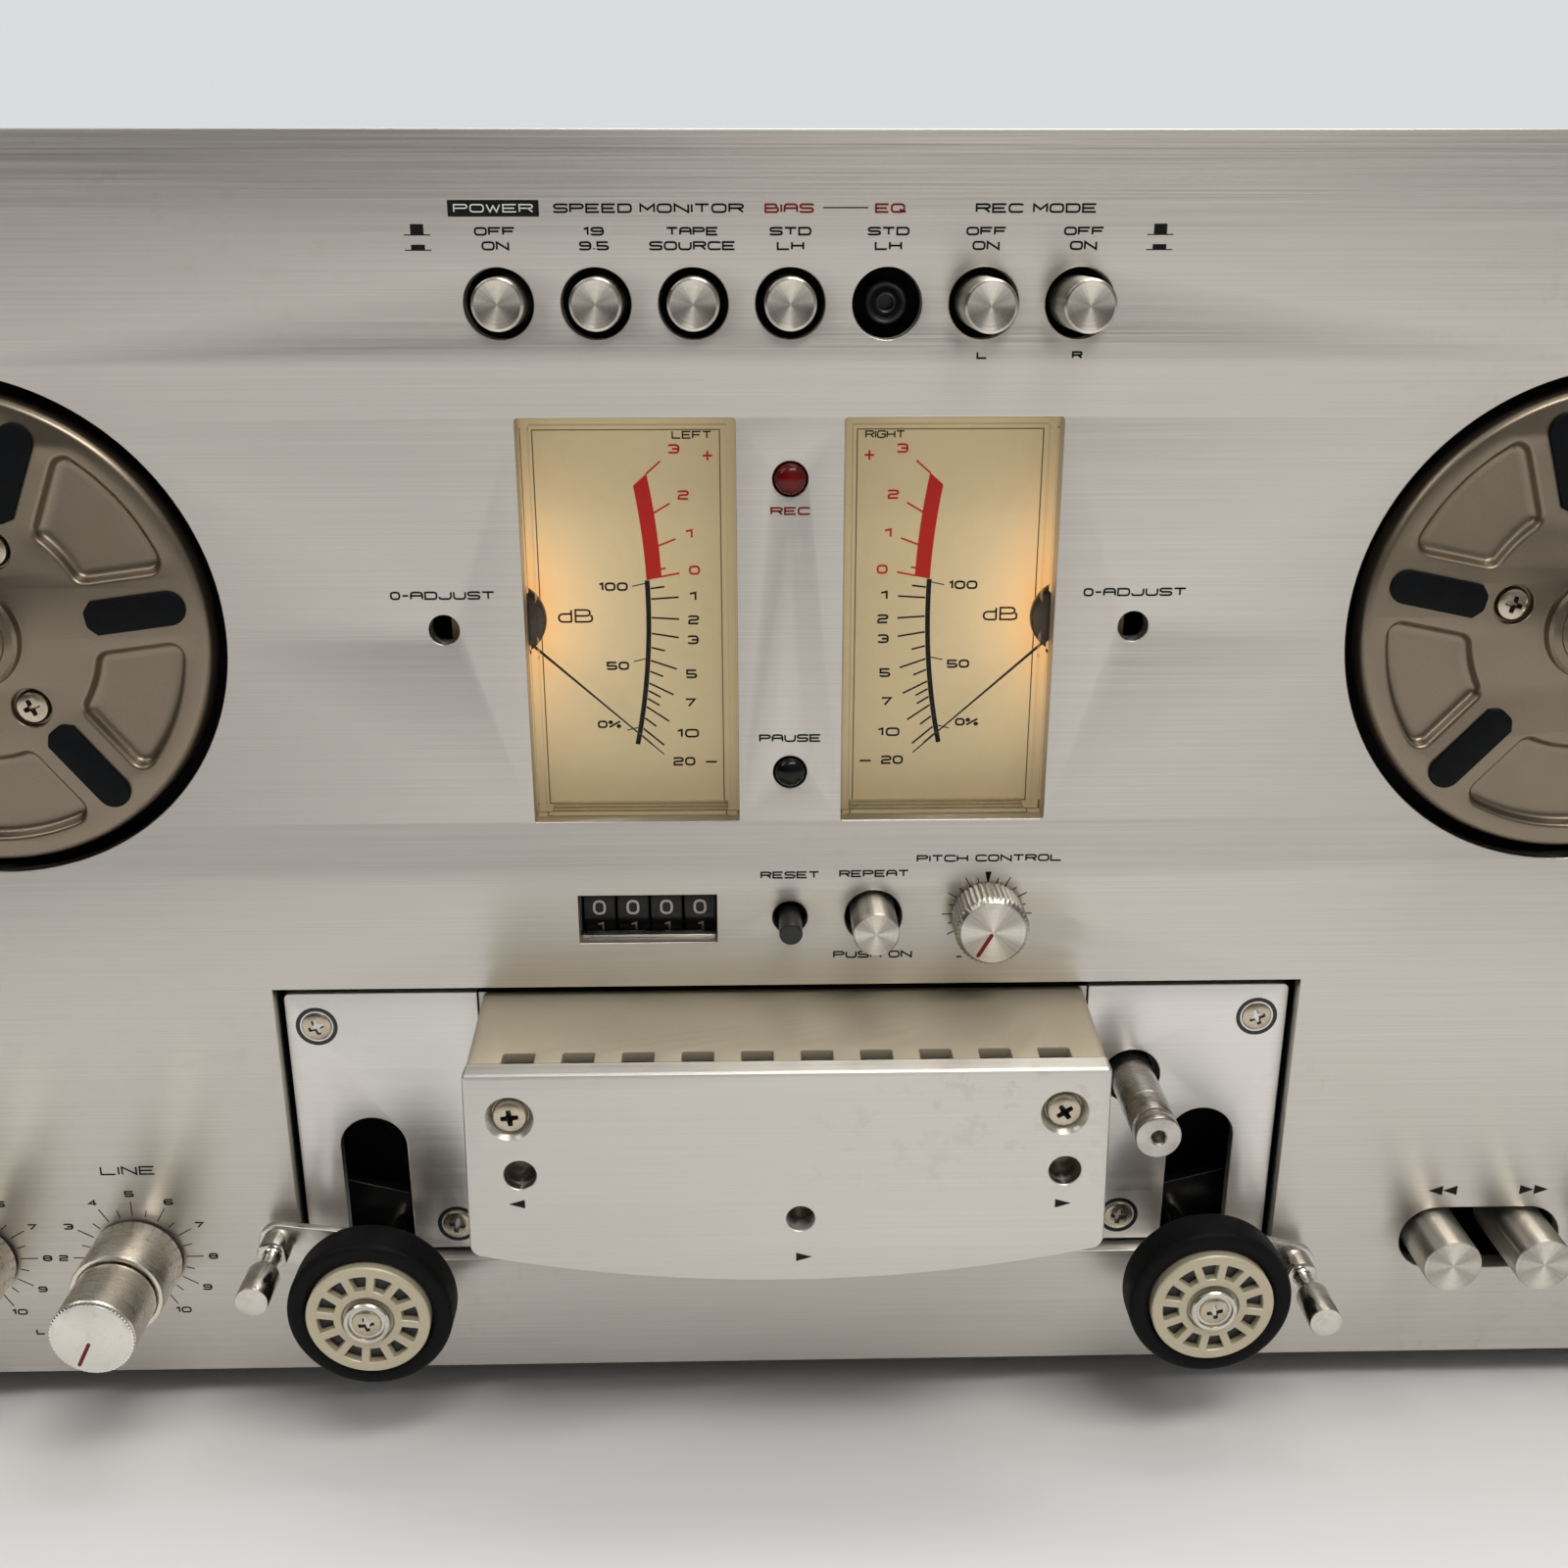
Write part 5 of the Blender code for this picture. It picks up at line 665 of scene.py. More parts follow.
# The red scale ink glows a little: painted lamp light; the red rings of the rear sockets share it.
INK_SCALE_RED = ink("scale_red", (0.50, 0.014, 0.012), 0.25)
INK_WHITE = ink("legend_white", (0.74, 0.72, 0.68))
RED_LENS = lens("red_lens", (0.15, 0.003, 0.005))
DARK_LENS = lens("dark_lens", (0.004, 0.0035, 0.0035))
GLASS = glass("clear_acrylic")
DRUM_BLACK = satin("drum_black", (0.010, 0.010, 0.011), (0.007, 0.007, 0.008), 0.45, 0.0, 0.6, 0.3, 0.1,
                   (0.02, 0.02, 0.02))
PIVOT_LOOK = satin("pivot_cover", (0.075, 0.035, 0.013), (0.03, 0.015, 0.006), 0.16, 0.0, 0.25, 0.4)
# The sill's cream is paler than its surroundings: painted lamp light on the window's grooved lower edge.
SILL = satin("meter_sill", (0.78, 0.70, 0.53), (0.68, 0.60, 0.44), 0.3, 0.1, 0.5, 0.3)
INK_SCALE = ink("scale_black", (0.012, 0.009, 0.008))
INK_BORDER = ink("scale_border", (0.30, 0.22, 0.12))
DARK_CREAM = satin("meter_case_inside", (0.42, 0.34, 0.20), (0.34, 0.27, 0.15), 0.5, 0.0, 0.5, 0.4)


# A cross-head screw, shared by every place that has one

def cross_outline(reach, half):
    corner = [(reach, -half), (reach, half), (half * 1.15, half * 1.15)]
    points = []
    for index in range(4):
        points += turned(corner, index * QUARTER)
    return soften(points, half * 0.45, 2)


def screw_mesh(radius, tall, look):
    """A domed head whose cross recess narrows as it goes down."""
    shape = bmesh.new()
    flat = radius * 0.70
    cross = cross_outline(radius * 0.50, radius * 0.135)
    rim = circle(0, 0, flat, SMALL)
    add_face(shape, [rim, cross], tall)
    before = len(shape.faces)
    add_sink(shape, cross, [(0, tall), (radius * 0.02, tall - radius * 0.05),
                            (radius * 0.08, tall - radius * 0.5)])
    # The recess faces take the second material, the painted shade.
    shape.faces.ensure_lookup_table()
    for face in shape.faces[before:]:
        face.material_index = 1
    dome = [(flat, tall), (radius * 0.88, tall - 0.08 * radius), (radius, tall - 0.28 * radius),
            (radius, 0), (0, 0)]
    add_lathe(shape, dome, SMALL)
    mesh = new_mesh(shape, "screw")
    mesh.materials.append(look)
    mesh.materials.append(CROSS_PAINTED_SHADE)
    return mesh


def add_screw(name, x, y, z, radius, tall, turn, body="deck"):
    return put(name, screw_mesh(radius, tall, SCREW), SCREW, x, y, turn, body, z=z)


# Front panel

REEL_HOLE = 41.8 * MM
METER_WIDE = 34.8 * MM
METER_TALL = 67.8 * MM
BUTTON_HOLE = 5.38 * MM
SLOT_END = 6.7 * MM
SLOT_HEIGHT = 25.9 * MM
SLOTS = ((116 * MM, 146.5 * MM), (149.9 * MM, 197.5 * MM), (200.9 * MM, 231.4 * MM))
RECESS_HALF = 91.4 * MM
RECESS_BOTTOM = 24.1 * MM
RECESS_TOP = 80.6 * MM
NOTCH_RADIUS = 3.9 * MM
ZERO_X = 56.7 * MM
ZERO_Y = 145.6 * MM
ZERO_RADIUS = 2.5 * MM
LAMP_HEIGHTS = (120.6 * MM, 170 * MM)
LAMP_HOLE = 2.8 * MM
COUNTER_CENTRE = (-24.8 * MM, 93.6 * MM)
COUNTER_WIDE = 24.1 * MM
COUNTER_TALL = 9 * MM
RESET_HOLE = 3 * MM
REPEAT_HOLE = 5 * MM
SHAFT_HOLE = 3.3 * MM
JACKS = (-226 * MM, -206 * MM, -186 * MM)
JACK_HEIGHT = 25.9 * MM
JACK_HOLE = 4.7 * MM
SMALL_HOLES = {"reset_button": RESET_HOLE, "repeat_button": REPEAT_HOLE, "pitch_knob": SHAFT_HOLE,
               "line_front_knob": SHAFT_HOLE, "mic_front_knob": SHAFT_HOLE}
PANEL_EDGE = 0.22 * MM
METER_CORNER = 0.5 * MM
TOP_BUTTONS = ("power", "speed", "monitor", "bias", "equaliser", "record_left", "record_right")
TRANSPORT = ("rewind", "fast_forward", "reverse_play", "stop", "forward_play", "pause", "record")


def recess_outline():
    """The opening round the tape path, with a half-round notch under each roller."""
    points = [(-RECESS_HALF, RECESS_BOTTOM)]
    for side in ("left", "right"):
        x, y = middle(side + "_pinch_tyre")
        dip = math.asin((y - RECESS_BOTTOM) / NOTCH_RADIUS)
        points += arc(x, y, NOTCH_RADIUS, math.pi + dip, TURN - dip, 16)
    points += [(RECESS_HALF, RECESS_BOTTOM), (RECESS_HALF, RECESS_TOP), (-RECESS_HALF, RECESS_TOP)]
    return points


def pill(left, right, y, radius, steps=20):
    """A slot with round ends."""
    return (arc(right - radius, y, radius, -QUARTER, QUARTER, steps)
            + arc(left + radius, y, radius, QUARTER, 3 * QUARTER, steps))


def centred(x, y, wide, tall):
    return rectangle(x - wide / 2, y - tall / 2, x + wide / 2, y + tall / 2)


def make_panel():
    low, high = extent("front_panel")
    holes = [rectangle(low.x, low.y, high.x, high.y), recess_outline()]
    for side in ("left", "right"):
        x, y = middle(side + "_reel_table")
        holes.append(circle(x, y, REEL_HOLE, FINE))
        x, y = middle(side + "_meter_window")
        holes.append(soften(centred(x, y, METER_WIDE, METER_TALL), METER_CORNER, 3))
        sign = -1 if side == "left" else 1
        holes.append(circle(sign * ZERO_X, ZERO_Y, ZERO_RADIUS, SMALL))
    for word in TOP_BUTTONS:
        x, y = middle(word + "_button")
        holes.append(circle(x, y, BUTTON_HOLE))
    for left, right in SLOTS:
        holes.append(pill(left, right, SLOT_HEIGHT, SLOT_END))
    for y in LAMP_HEIGHTS:
        holes.append(circle(0, y, LAMP_HOLE, SMALL))
    holes.append(centred(*COUNTER_CENTRE, COUNTER_WIDE, COUNTER_TALL))
    for node, radius in SMALL_HOLES.items():
        x, y = middle(node)
        holes.append(circle(x, y, radius, SMALL))
    for x in JACKS:
        holes.append(circle(x, JACK_HEIGHT, JACK_HOLE, SMALL))
    put("front_panel_skin", plate(holes, low.z, high.z, PANEL_EDGE), PANEL_METAL, replaces=["front_panel"])


# Each title: its words, its middle, its lower edge, its width and its height, in millimetres
PITCH = 14.95
TITLES = (("SPEED", -2 * PITCH, 210.09, 11.9, 1.4), ("MONITOR", -PITCH, 210.09, 15.8, 1.4),
          ("REC MODE", 37.35, 210.09, 18.5, 1.4),
          ("OFF", -3 * PITCH, 206.85, 6.25, 1.27), ("19", -2 * PITCH, 206.85, 3.2, 1.27),
          ("TAPE", -PITCH, 206.85, 8.0, 1.27), ("STD", 0, 206.85, 6.4, 1.27),
          ("STD", PITCH, 206.85, 6.4, 1.27), ("OFF", 2 * PITCH, 206.85, 6.2, 1.27),
          ("OFF", 3 * PITCH, 206.85, 6.2, 1.27),
          ("ON", -3 * PITCH, 204.72, 4.2, 1.35), ("9.5", -2 * PITCH, 204.72, 4.55, 1.35),
          ("SOURCE", -PITCH, 204.72, 13.15, 1.35), ("LH", 0, 204.72, 4.2, 1.35),
          ("LH", PITCH, 204.72, 4.2, 1.35), ("ON", 2 * PITCH, 204.72, 4.2, 1.35),
          ("ON", 3 * PITCH, 204.72, 4.2, 1.35),
          ("L", 29.9, 188.53, 1.7, 1.19), ("R", 44.85, 188.53, 1.7, 1.19), ("PAUSE", 0, 125.93, 10.46, 1.39),
          ("0-ADJUST", -56.6, 150.66, 17.0, 1.4), ("0-ADJUST", 56.6, 150.66, 17.0, 1.4),
          ("RESET", 0, 101.07, 10.26, 1.34), ("REPEAT", 14.6, 101.2, 12.15, 1.34),
          ("PITCH CONTROL", 34.54, 103.91, 25.25, 1.34), ("PUSH ON", 14.6, 85.78, 13.98, 1.39),
          ("-", 29.9, 85.2, 1.24, 1.3), ("+", 39.1, 85.2, 1.4, 1.4), ("LINE", -121.55, 43.4, 9.96, 1.84),
          ("MIC", -152.7, 43.4, 7.4, 1.84), ("L", -142.5, 8.6, 1.7, 1.27), ("L", -173.3, 8.6, 1.7, 1.27))
RED_TITLES = (("BIAS", -0.2, 210.09, 7.5, 1.4), ("EQ", 15.1, 210.09, 4.6, 1.4), ("REC", 0, 164.24, 6.4, 1.32))
TITLE_HALF = 0.09 * MM
# The push signs: a bar under a button that stands out, and under one that is in
SIGN_OFFSET = 56.55 * MM
SIGN_BARS = ((2.0, 206.9, 207.06), (1.0, 207.05, 208.54), (2.0, 204.7, 204.86), (1.05, 204.85, 205.58))
# The transport signs: place, direction and number of arrow heads
SIGN_HEIGHT = 36.35 * MM
SIGN_LOW, SIGN_HIGH = 35.3 * MM, 37.4 * MM
SIGN_STEP = 2.75
ROTATE_SIGNS = ((122.9, -1, 2), (140.3, 1, 2), (156.6, -1, 1), (190.8, 1, 1))
HEAD_ARROWS = ((-45.1, 54.6, -1), (44.1, 53.4, 1), (0.7, 43.5, 1))


def add_triangle(shape, x, y, way, wide, tall, level=0.0):
    """A small solid arrow head whose flat side is at x."""
    outline = [(x, y - tall / 2), (x + way * wide, y), (x, y + tall / 2)]
    add_prism(shape, outline, level - INK, level + INK)


def add_dial(shape, x, y, start, reach_major, reach_minor, first, last, step, major_every):
    """Ticks round a knob, clockwise from the top."""
    count = round((last - first) / step)
    for index in range(count + 1):
        angle = math.radians(first + index * step)
        reach = reach_major if index % major_every == 0 else reach_minor
        line = [(x + r * math.sin(angle), y + r * math.cos(angle)) for r in (start, reach)]
        add_ribbon(shape, line, TITLE_HALF, -INK, INK)


def make_legends():
    """Every printed mark on the panel and the head plate."""
    black, red = bmesh.new(), bmesh.new()
    for titles, shape in ((TITLES, black), (RED_TITLES, red)):
        for words, x, y, width, height in titles:
            add_text(shape, words, x * MM, y * MM, width * MM, height * MM)
    add_ribbon(black, sized([(4.95, 210.86), (11.78, 210.86)]), TITLE_HALF, -INK, INK)
    for x in (-SIGN_OFFSET, SIGN_OFFSET):
        for half, low, high in SIGN_BARS:
            add_box(black, x - half * MM, low * MM, -INK, x + half * MM, high * MM, INK)
    x, y = middle("pitch_knob")
    add_dial(black, x, y, 5.6 * MM, 7.9 * MM, 7.0 * MM, -120, 120, 15, 2)
    add_prism(black, [(x - 0.57 * MM, 102.03 * MM), (x, 99.6 * MM), (x + 0.57 * MM, 102.03 * MM)], -INK, INK)
    for word in ("line", "mic"):
        x, y = middle(word + "_front_knob")
        add_dial(black, x, y, 8.9 * MM, 12.1 * MM, 10.5 * MM, -150, 150, 15, 2)
        for value in range(11):
            angle = math.radians(30 * value - 150)
            width = {1: 0.9, 10: 3.0}.get(value, 1.75) * MM
            add_text(black, str(value), x + 13.9 * MM * math.sin(angle),
                     y + 13.7 * MM * math.cos(angle) - 0.65 * MM, width, 1.3 * MM)
    for x, way, count in ROTATE_SIGNS:
        for index in range(count):
            base = x - way * SIGN_STEP * (count - 1 - index)
            wide = 2.65 if count > 1 else 3.2
            base = base if count > 1 else x - way * 1.6
            add_triangle(black, base * MM, SIGN_HEIGHT, way, wide * MM, 2.0 * MM)
    for x, wide in ((172.6, 2.2), (206.4, 0.8), (208.1, 0.8)):
        add_box(black, x * MM, SIGN_LOW, -INK, (x + wide) * MM, SIGN_HIGH, INK)
    add_prism(red, circle(224.7 * MM, SIGN_HEIGHT, 1.15 * MM, SMALL), -INK, INK)
    put("panel_legends", new_mesh(black, "legends"), INK_BLACK)
    put("panel_legends_red", new_mesh(red, "legends"), INK_RED)
    shape = bmesh.new()
    box = soften(rectangle(-51.75 * MM, 209.6 * MM, -38.0 * MM, 211.98 * MM), 0.15 * MM, 2)
    add_prism(shape, box, -INK, 0.75 * INK)
    put("power_box", new_mesh(shape, "box"), INK_BLACK)
    shape = bmesh.new()
    add_text(shape, "POWER", -44.87 * MM, 210.2 * MM, 12.0 * MM, 1.2 * MM, TITLE_HALF, 0.9 * INK)
    put("power_title", new_mesh(shape, "title"), INK_WHITE)
    shape = bmesh.new()
    level = extent("head_front_plate")[1].z - 1.5 * INK
    for x, y, way in HEAD_ARROWS:
        add_triangle(shape, (x - way * 0.35) * MM, y * MM, way, 2.6 * MM, 1.6 * MM, level)
    put("head_plate_arrows", new_mesh(shape, "arrows"), INK_BLACK)


# Buttons

def stem(shape, low, high):
    """The square stem behind a button's cap."""
    half = 1.6 * MM
    add_box(shape, -half, -half, low, half, half, high, 0.2 * MM)


def cap_profile(radius, front, back, rim=0.45 * MM, dish=0.12 * MM):
    face = front - dish
    groove = sized([(-0.35, 0), (-0.12, 0)], start=radius - rim)
    edge = sized([(-0.28, -0.04), (-0.08, -0.2), (0, -0.45)], front, radius)
    return [(0, face), (groove[0][0], face), (groove[1][0], front - 0.02 * MM), (radius - rim, front),
            *edge, (radius, back), (0, back)]


def make_button(word, radius, length, look):
    node = word + "_button"
    low, high = extent(node)
    x, y = middle(node)
    shape = bmesh.new()
    add_lathe(shape, cap_profile(radius, high.z, high.z - length))
    stem(shape, low.z, high.z - length + 0.5 * MM)
    put(word + "_cap", new_mesh(shape, word), look, x, y, body=node, replaces=[node])


def make_bare_plunger(word):
    """The button that has lost its cap: a ringed black plunger deep in its hole."""
    node = word + "_button"
    low, high = extent(node)
    x, y = middle(node)
    shape = bmesh.new()
    profile = [(0, -2.2), (1.1, -2.2), (1.2, -0.5), (1.5, -0.3), (2.1, -0.9), (2.6, -0.2), (2.9, 0), (3.2, -0.3),
               (3.2, -6.5), (0, -6.5)]
    add_lathe(shape, sized(profile, high.z))
    stem(shape, low.z, high.z - 6 * MM)
    put(word + "_plunger", new_mesh(shape, word), BLACK, x, y, body=node, replaces=[node])


BARE_BUTTON = "equaliser"
TOP_CAP = (4.05 * MM, 13 * MM)
TRANSPORT_CAP = (5.4 * MM, 19 * MM)
REPEAT_CAP = (4 * MM, 18 * MM)
RESET_RADIUS = 2 * MM
RESET_LENGTH = 18 * MM


def make_buttons():
    for word in TOP_BUTTONS:
        if word == BARE_BUTTON:
            make_bare_plunger(word)
        else:
            make_button(word, *TOP_CAP, SPUN)
    for word in TRANSPORT:
        make_button(word, *TRANSPORT_CAP, SPUN)
    make_button("repeat", *REPEAT_CAP, SPUN)
    node = "reset_button"
    low, high = extent(node)
    x, y = middle(node)
    shape = bmesh.new()
    base = high.z - RESET_LENGTH
    profile = soften([(0, high.z), (RESET_RADIUS, high.z), (RESET_RADIUS, base), (0, base)], 0.4 * MM, 4, False)
    add_lathe(shape, profile)
    stem(shape, low.z, base + 0.5 * MM)
    put("reset_cap", new_mesh(shape, "reset"), BLACK, x, y, body=node, replaces=[node])


# Knobs

def pointer_line(shape, angle, inner, outer, width, low, high):
    """A filled line from near the middle of a knob's face to its edge."""
    bar = pill(inner, outer, 0, width / 2, 8)
    add_plate(shape, [turned(bar, angle)], low, high, 0.05 * MM)


def make_pitch_knob():
    low, high = extent("pitch_knob")
    x, y = middle("pitch_knob")
    radius = (high.x - low.x) / 2
    front = high.z
    shape = bmesh.new()
    flutes = 44
    ring = []
    for index in range(flutes * 6):
        angle = TURN * index / (flutes * 6)
        depth = 0.30 * MM * (0.5 - 0.5 * math.cos(angle * flutes)) ** 0.7
        ring.append((angle, radius - depth))
    rings = []
    for shrink, height in ((0.35 * MM, 0.6 * MM), (0, 0.9 * MM), (0, front - 1.0 * MM)):
        rings.append([((r - shrink) * math.cos(a), (r - shrink) * math.sin(a), height) for a, r in ring])
    face = radius - 0.85 * MM
    for r, height in ((radius - 0.42 * MM, front - 0.62 * MM), (face, front - 0.05 * MM),
                      (face - 0.2 * MM, front)):
        rings.append([(r * math.cos(a), r * math.sin(a), height) for a, _ in ring])
    add_rings(shape, rings)
    add_lathe(shape, [(2.9 * MM, 0.8 * MM), (2.9 * MM, low.z), (0, low.z)], SMALL)
    put("pitch_knob_body", new_mesh(shape, "pitch"), SPUN, x, y, body="pitch_knob", replaces=["pitch_knob"])
    shape = bmesh.new()
    pointer_line(shape, math.radians(240), 0.2 * MM, 5.2 * MM, 0.75 * MM, front - 0.2 * MM, front + 0.02 * MM)
    put("pitch_knob_line", new_mesh(shape, "line"), INK_RED, x, y, body="pitch_knob")


def knurled(shape, radius, back, front, count, depth):
    """A band of fine teeth round a knob's front edge."""
    ring_a = []
    for index in range(count * 4):
        angle = TURN * index / (count * 4)
        cut = depth if index % 4 in (2, 3) else 0
        ring_a.append((angle, radius - cut))
    rings = []
    for shrink, height in ((depth * 1.2, back), (0, back + depth), (0, front - depth), (depth * 1.6, front)):
        rings.append([((r - shrink) * math.cos(a), (r - shrink) * math.sin(a), height) for a, r in ring_a])
    add_rings(shape, rings)


def make_level_knobs(word):
    """Two knobs on one axis: a plain rear one and a narrower front one with a printed line."""
    rear = word + "_rear_knob"
    low, high = extent(rear)
    x, y = middle(rear)
    radius = (high.x - low.x) / 2
    bore = 1.8 * MM
    top = high.z
    profile = [(bore, top - 0.3 * MM)]
    profile += sized([(-1.1, -0.3), (-0.9, -0.05), (-0.5, 0), (-0.15, -0.15), (0, -0.5)], top, radius)
    profile += [(radius, 1.0 * MM), (radius - 0.3 * MM, 0.6 * MM), (3 * MM, 0.6 * MM), (3 * MM, low.z),
                (bore, low.z)]
    put(rear + "_body", lathe(profile, ROUND, True), KNOB_SIDE, x, y, body=rear, replaces=[rear])
    front = word + "_front_knob"
    low, high = extent(front)
    radius = (high.x - low.x) / 2
    top = high.z
    base = 12.1 * MM
    shape = bmesh.new()
    profile = [(0, top - 0.75 * MM), (radius - 0.22 * MM, top - 0.75 * MM), (radius, top - 1.0 * MM),
               (radius, base + 0.3 * MM), (radius - 0.3 * MM, base), (1.5 * MM, base), (1.5 * MM, low.z),
               (0, low.z)]
    add_lathe(shape, profile)
    put(front + "_body", new_mesh(shape, "front"), KNOB_SIDE, x, y, body=front, replaces=[front])
    shape = bmesh.new()
    knurled(shape, radius - 0.02 * MM, top - 0.75 * MM, top - 0.12 * MM, 60, 0.16 * MM)
    put(front + "_edge", new_mesh(shape, "edge"), BRIGHT, x, y, body=front)
    face = lathe([(0, top), (radius - 0.55 * MM, top), (radius - 0.40 * MM, top - 0.06 * MM),
                  (radius - 0.3 * MM, top - 0.3 * MM), (0, top - 0.3 * MM)])
    put(front + "_face", face, KNOB_FACE, x, y, body=front)
    shape = bmesh.new()
    pointer_line(shape, math.radians(243), 0.9 * MM, 6.3 * MM, 0.7 * MM, top - 0.1 * MM, top + 0.02 * MM)
    put(front + "_line", new_mesh(shape, "line"), INK_RED, x, y, body=front)


# Meters

SCALE_CENTRE = (-140.3 * MM, 146.2 * MM)
SCALE_RADIUS = 116.4 * MM


def make_meter(side):
    """One level meter: its case, its scale with its painted lamp glow and the moulded window over it."""
    sign = -1 if side == "left" else 1
    case = side + "_meter_case"
    low, high = extent(case)
    wall = 1.4 * MM
    face = -12 * MM
    shape = bmesh.new()
    outer = rectangle(low.x, low.y, high.x, high.y)
    inner = inset(outer, wall)
    add_rings(shape, [[(x, y, face) for x, y in inner], [(x, y, high.z) for x, y in inner],
                      [(x, y, high.z) for x, y in outer], [(x, y, low.z) for x, y in outer]], False, True)
    add_rings(shape, [[(x, y, face) for x, y in inner]], True, False)
    put(case + "_shell", new_mesh(shape, "case"), DARK_CREAM, replaces=[case])
    gap = 0.3 * MM
    paper = rectangle(inner[0][0] + gap, inner[0][1] + gap, inner[2][0] - gap, inner[2][1] - gap)
    mid = ((low.x + high.x) / 2, (low.y + high.y) / 2)
    look = scale_paper(side + "_scale_paper", sign * PIVOT_X - mid[0])
    sheet = plate([moved(paper, -mid[0], -mid[1])], face + 0.05 * MM, face + 0.35 * MM, 0.05 * MM)
    put(side + "_meter_scale", sheet, look, *mid)
    window = side + "_meter_window"
    low, high = extent(window)
    lip = 1.5 * MM

    def ring(shrink, height):
        corners = rectangle(low.x + shrink, low.y + shrink, high.x - shrink, high.y - shrink)
        return [(x, y, height) for x, y in soften(corners, max(0.9 * MM - 0.4 * shrink, 0.2 * MM), 4)]

    shape = bmesh.new()
    front = high.z
    seat = -4.3 * MM
    wall = 1.2 * MM
    add_rings(shape, [ring(lip + wall, front - wall), ring(lip + wall, low.z), ring(0, low.z), ring(0, seat),
                      ring(lip, seat), ring(lip, front - 0.35 * MM), ring(lip + 0.35 * MM, front)])
    put(window + "_pane", new_mesh(shape, "pane"), GLASS, replaces=[window])
    make_sill(side, low, high)
    make_scale(side, sign)
    make_needle(side, sign)


def make_sill(side, low, high):
    """The stepped ledge seen through the lower edge of the window, pale with painted lamp light."""
    shape = bmesh.new()
    left, right = low.x + 3.2 * MM, high.x - 3.2 * MM
    for index in range(5):
        step = index * 0.22 * MM
        add_box(shape, left, low.y - 0.6 * MM, -11.6 * MM + index * 1.2 * MM, right, low.y + 0.9 * MM - step,
                -10.7 * MM + index * 1.2 * MM, 0.12 * MM)
    put(side + "_meter_sill", new_mesh(shape, "sill"), SILL)


def ray_to_circle(angle, radius):
    """Where a ray from the needle's pivot meets a circle of the scale."""
    dx, dy = -PIVOT_X - SCALE_CENTRE[0], PIVOT_Y - SCALE_CENTRE[1]
    cosine, sine = math.cos(angle), math.sin(angle)
    along = dx * cosine + dy * sine
    reach = -along + math.sqrt(along ** 2 - dx ** 2 - dy ** 2 + radius ** 2)
    return -PIVOT_X + reach * cosine, PIVOT_Y + reach * sine


SCALE_LEVEL = -11.65 * MM
# Each tick: its angle from the pivot in degrees, its numeral and how far out the numeral stands, in millimetres
BLACK_TICKS = ((7.5, "", 0), (3.6, "1", 7.1), (-3.4, "2", 7.2), (-9.3, "3", 7.2), (-14.5, "", 0),
               (-19.2, "5", 7.4), (-23, "", 0), (-27, "7", 7.9), (-29.5, "", 0), (-32, "", 0),
               (-34.6, "10", 8.6), (-38, "", 0), (-41, "20", 9.3), (-43, "", 0))
RED_TICKS = ((41, "3", 6.3), (30.8, "2", 5.9), (21.1, "1", 5.6), (13.5, "", 0), (11, "0", 5.8))


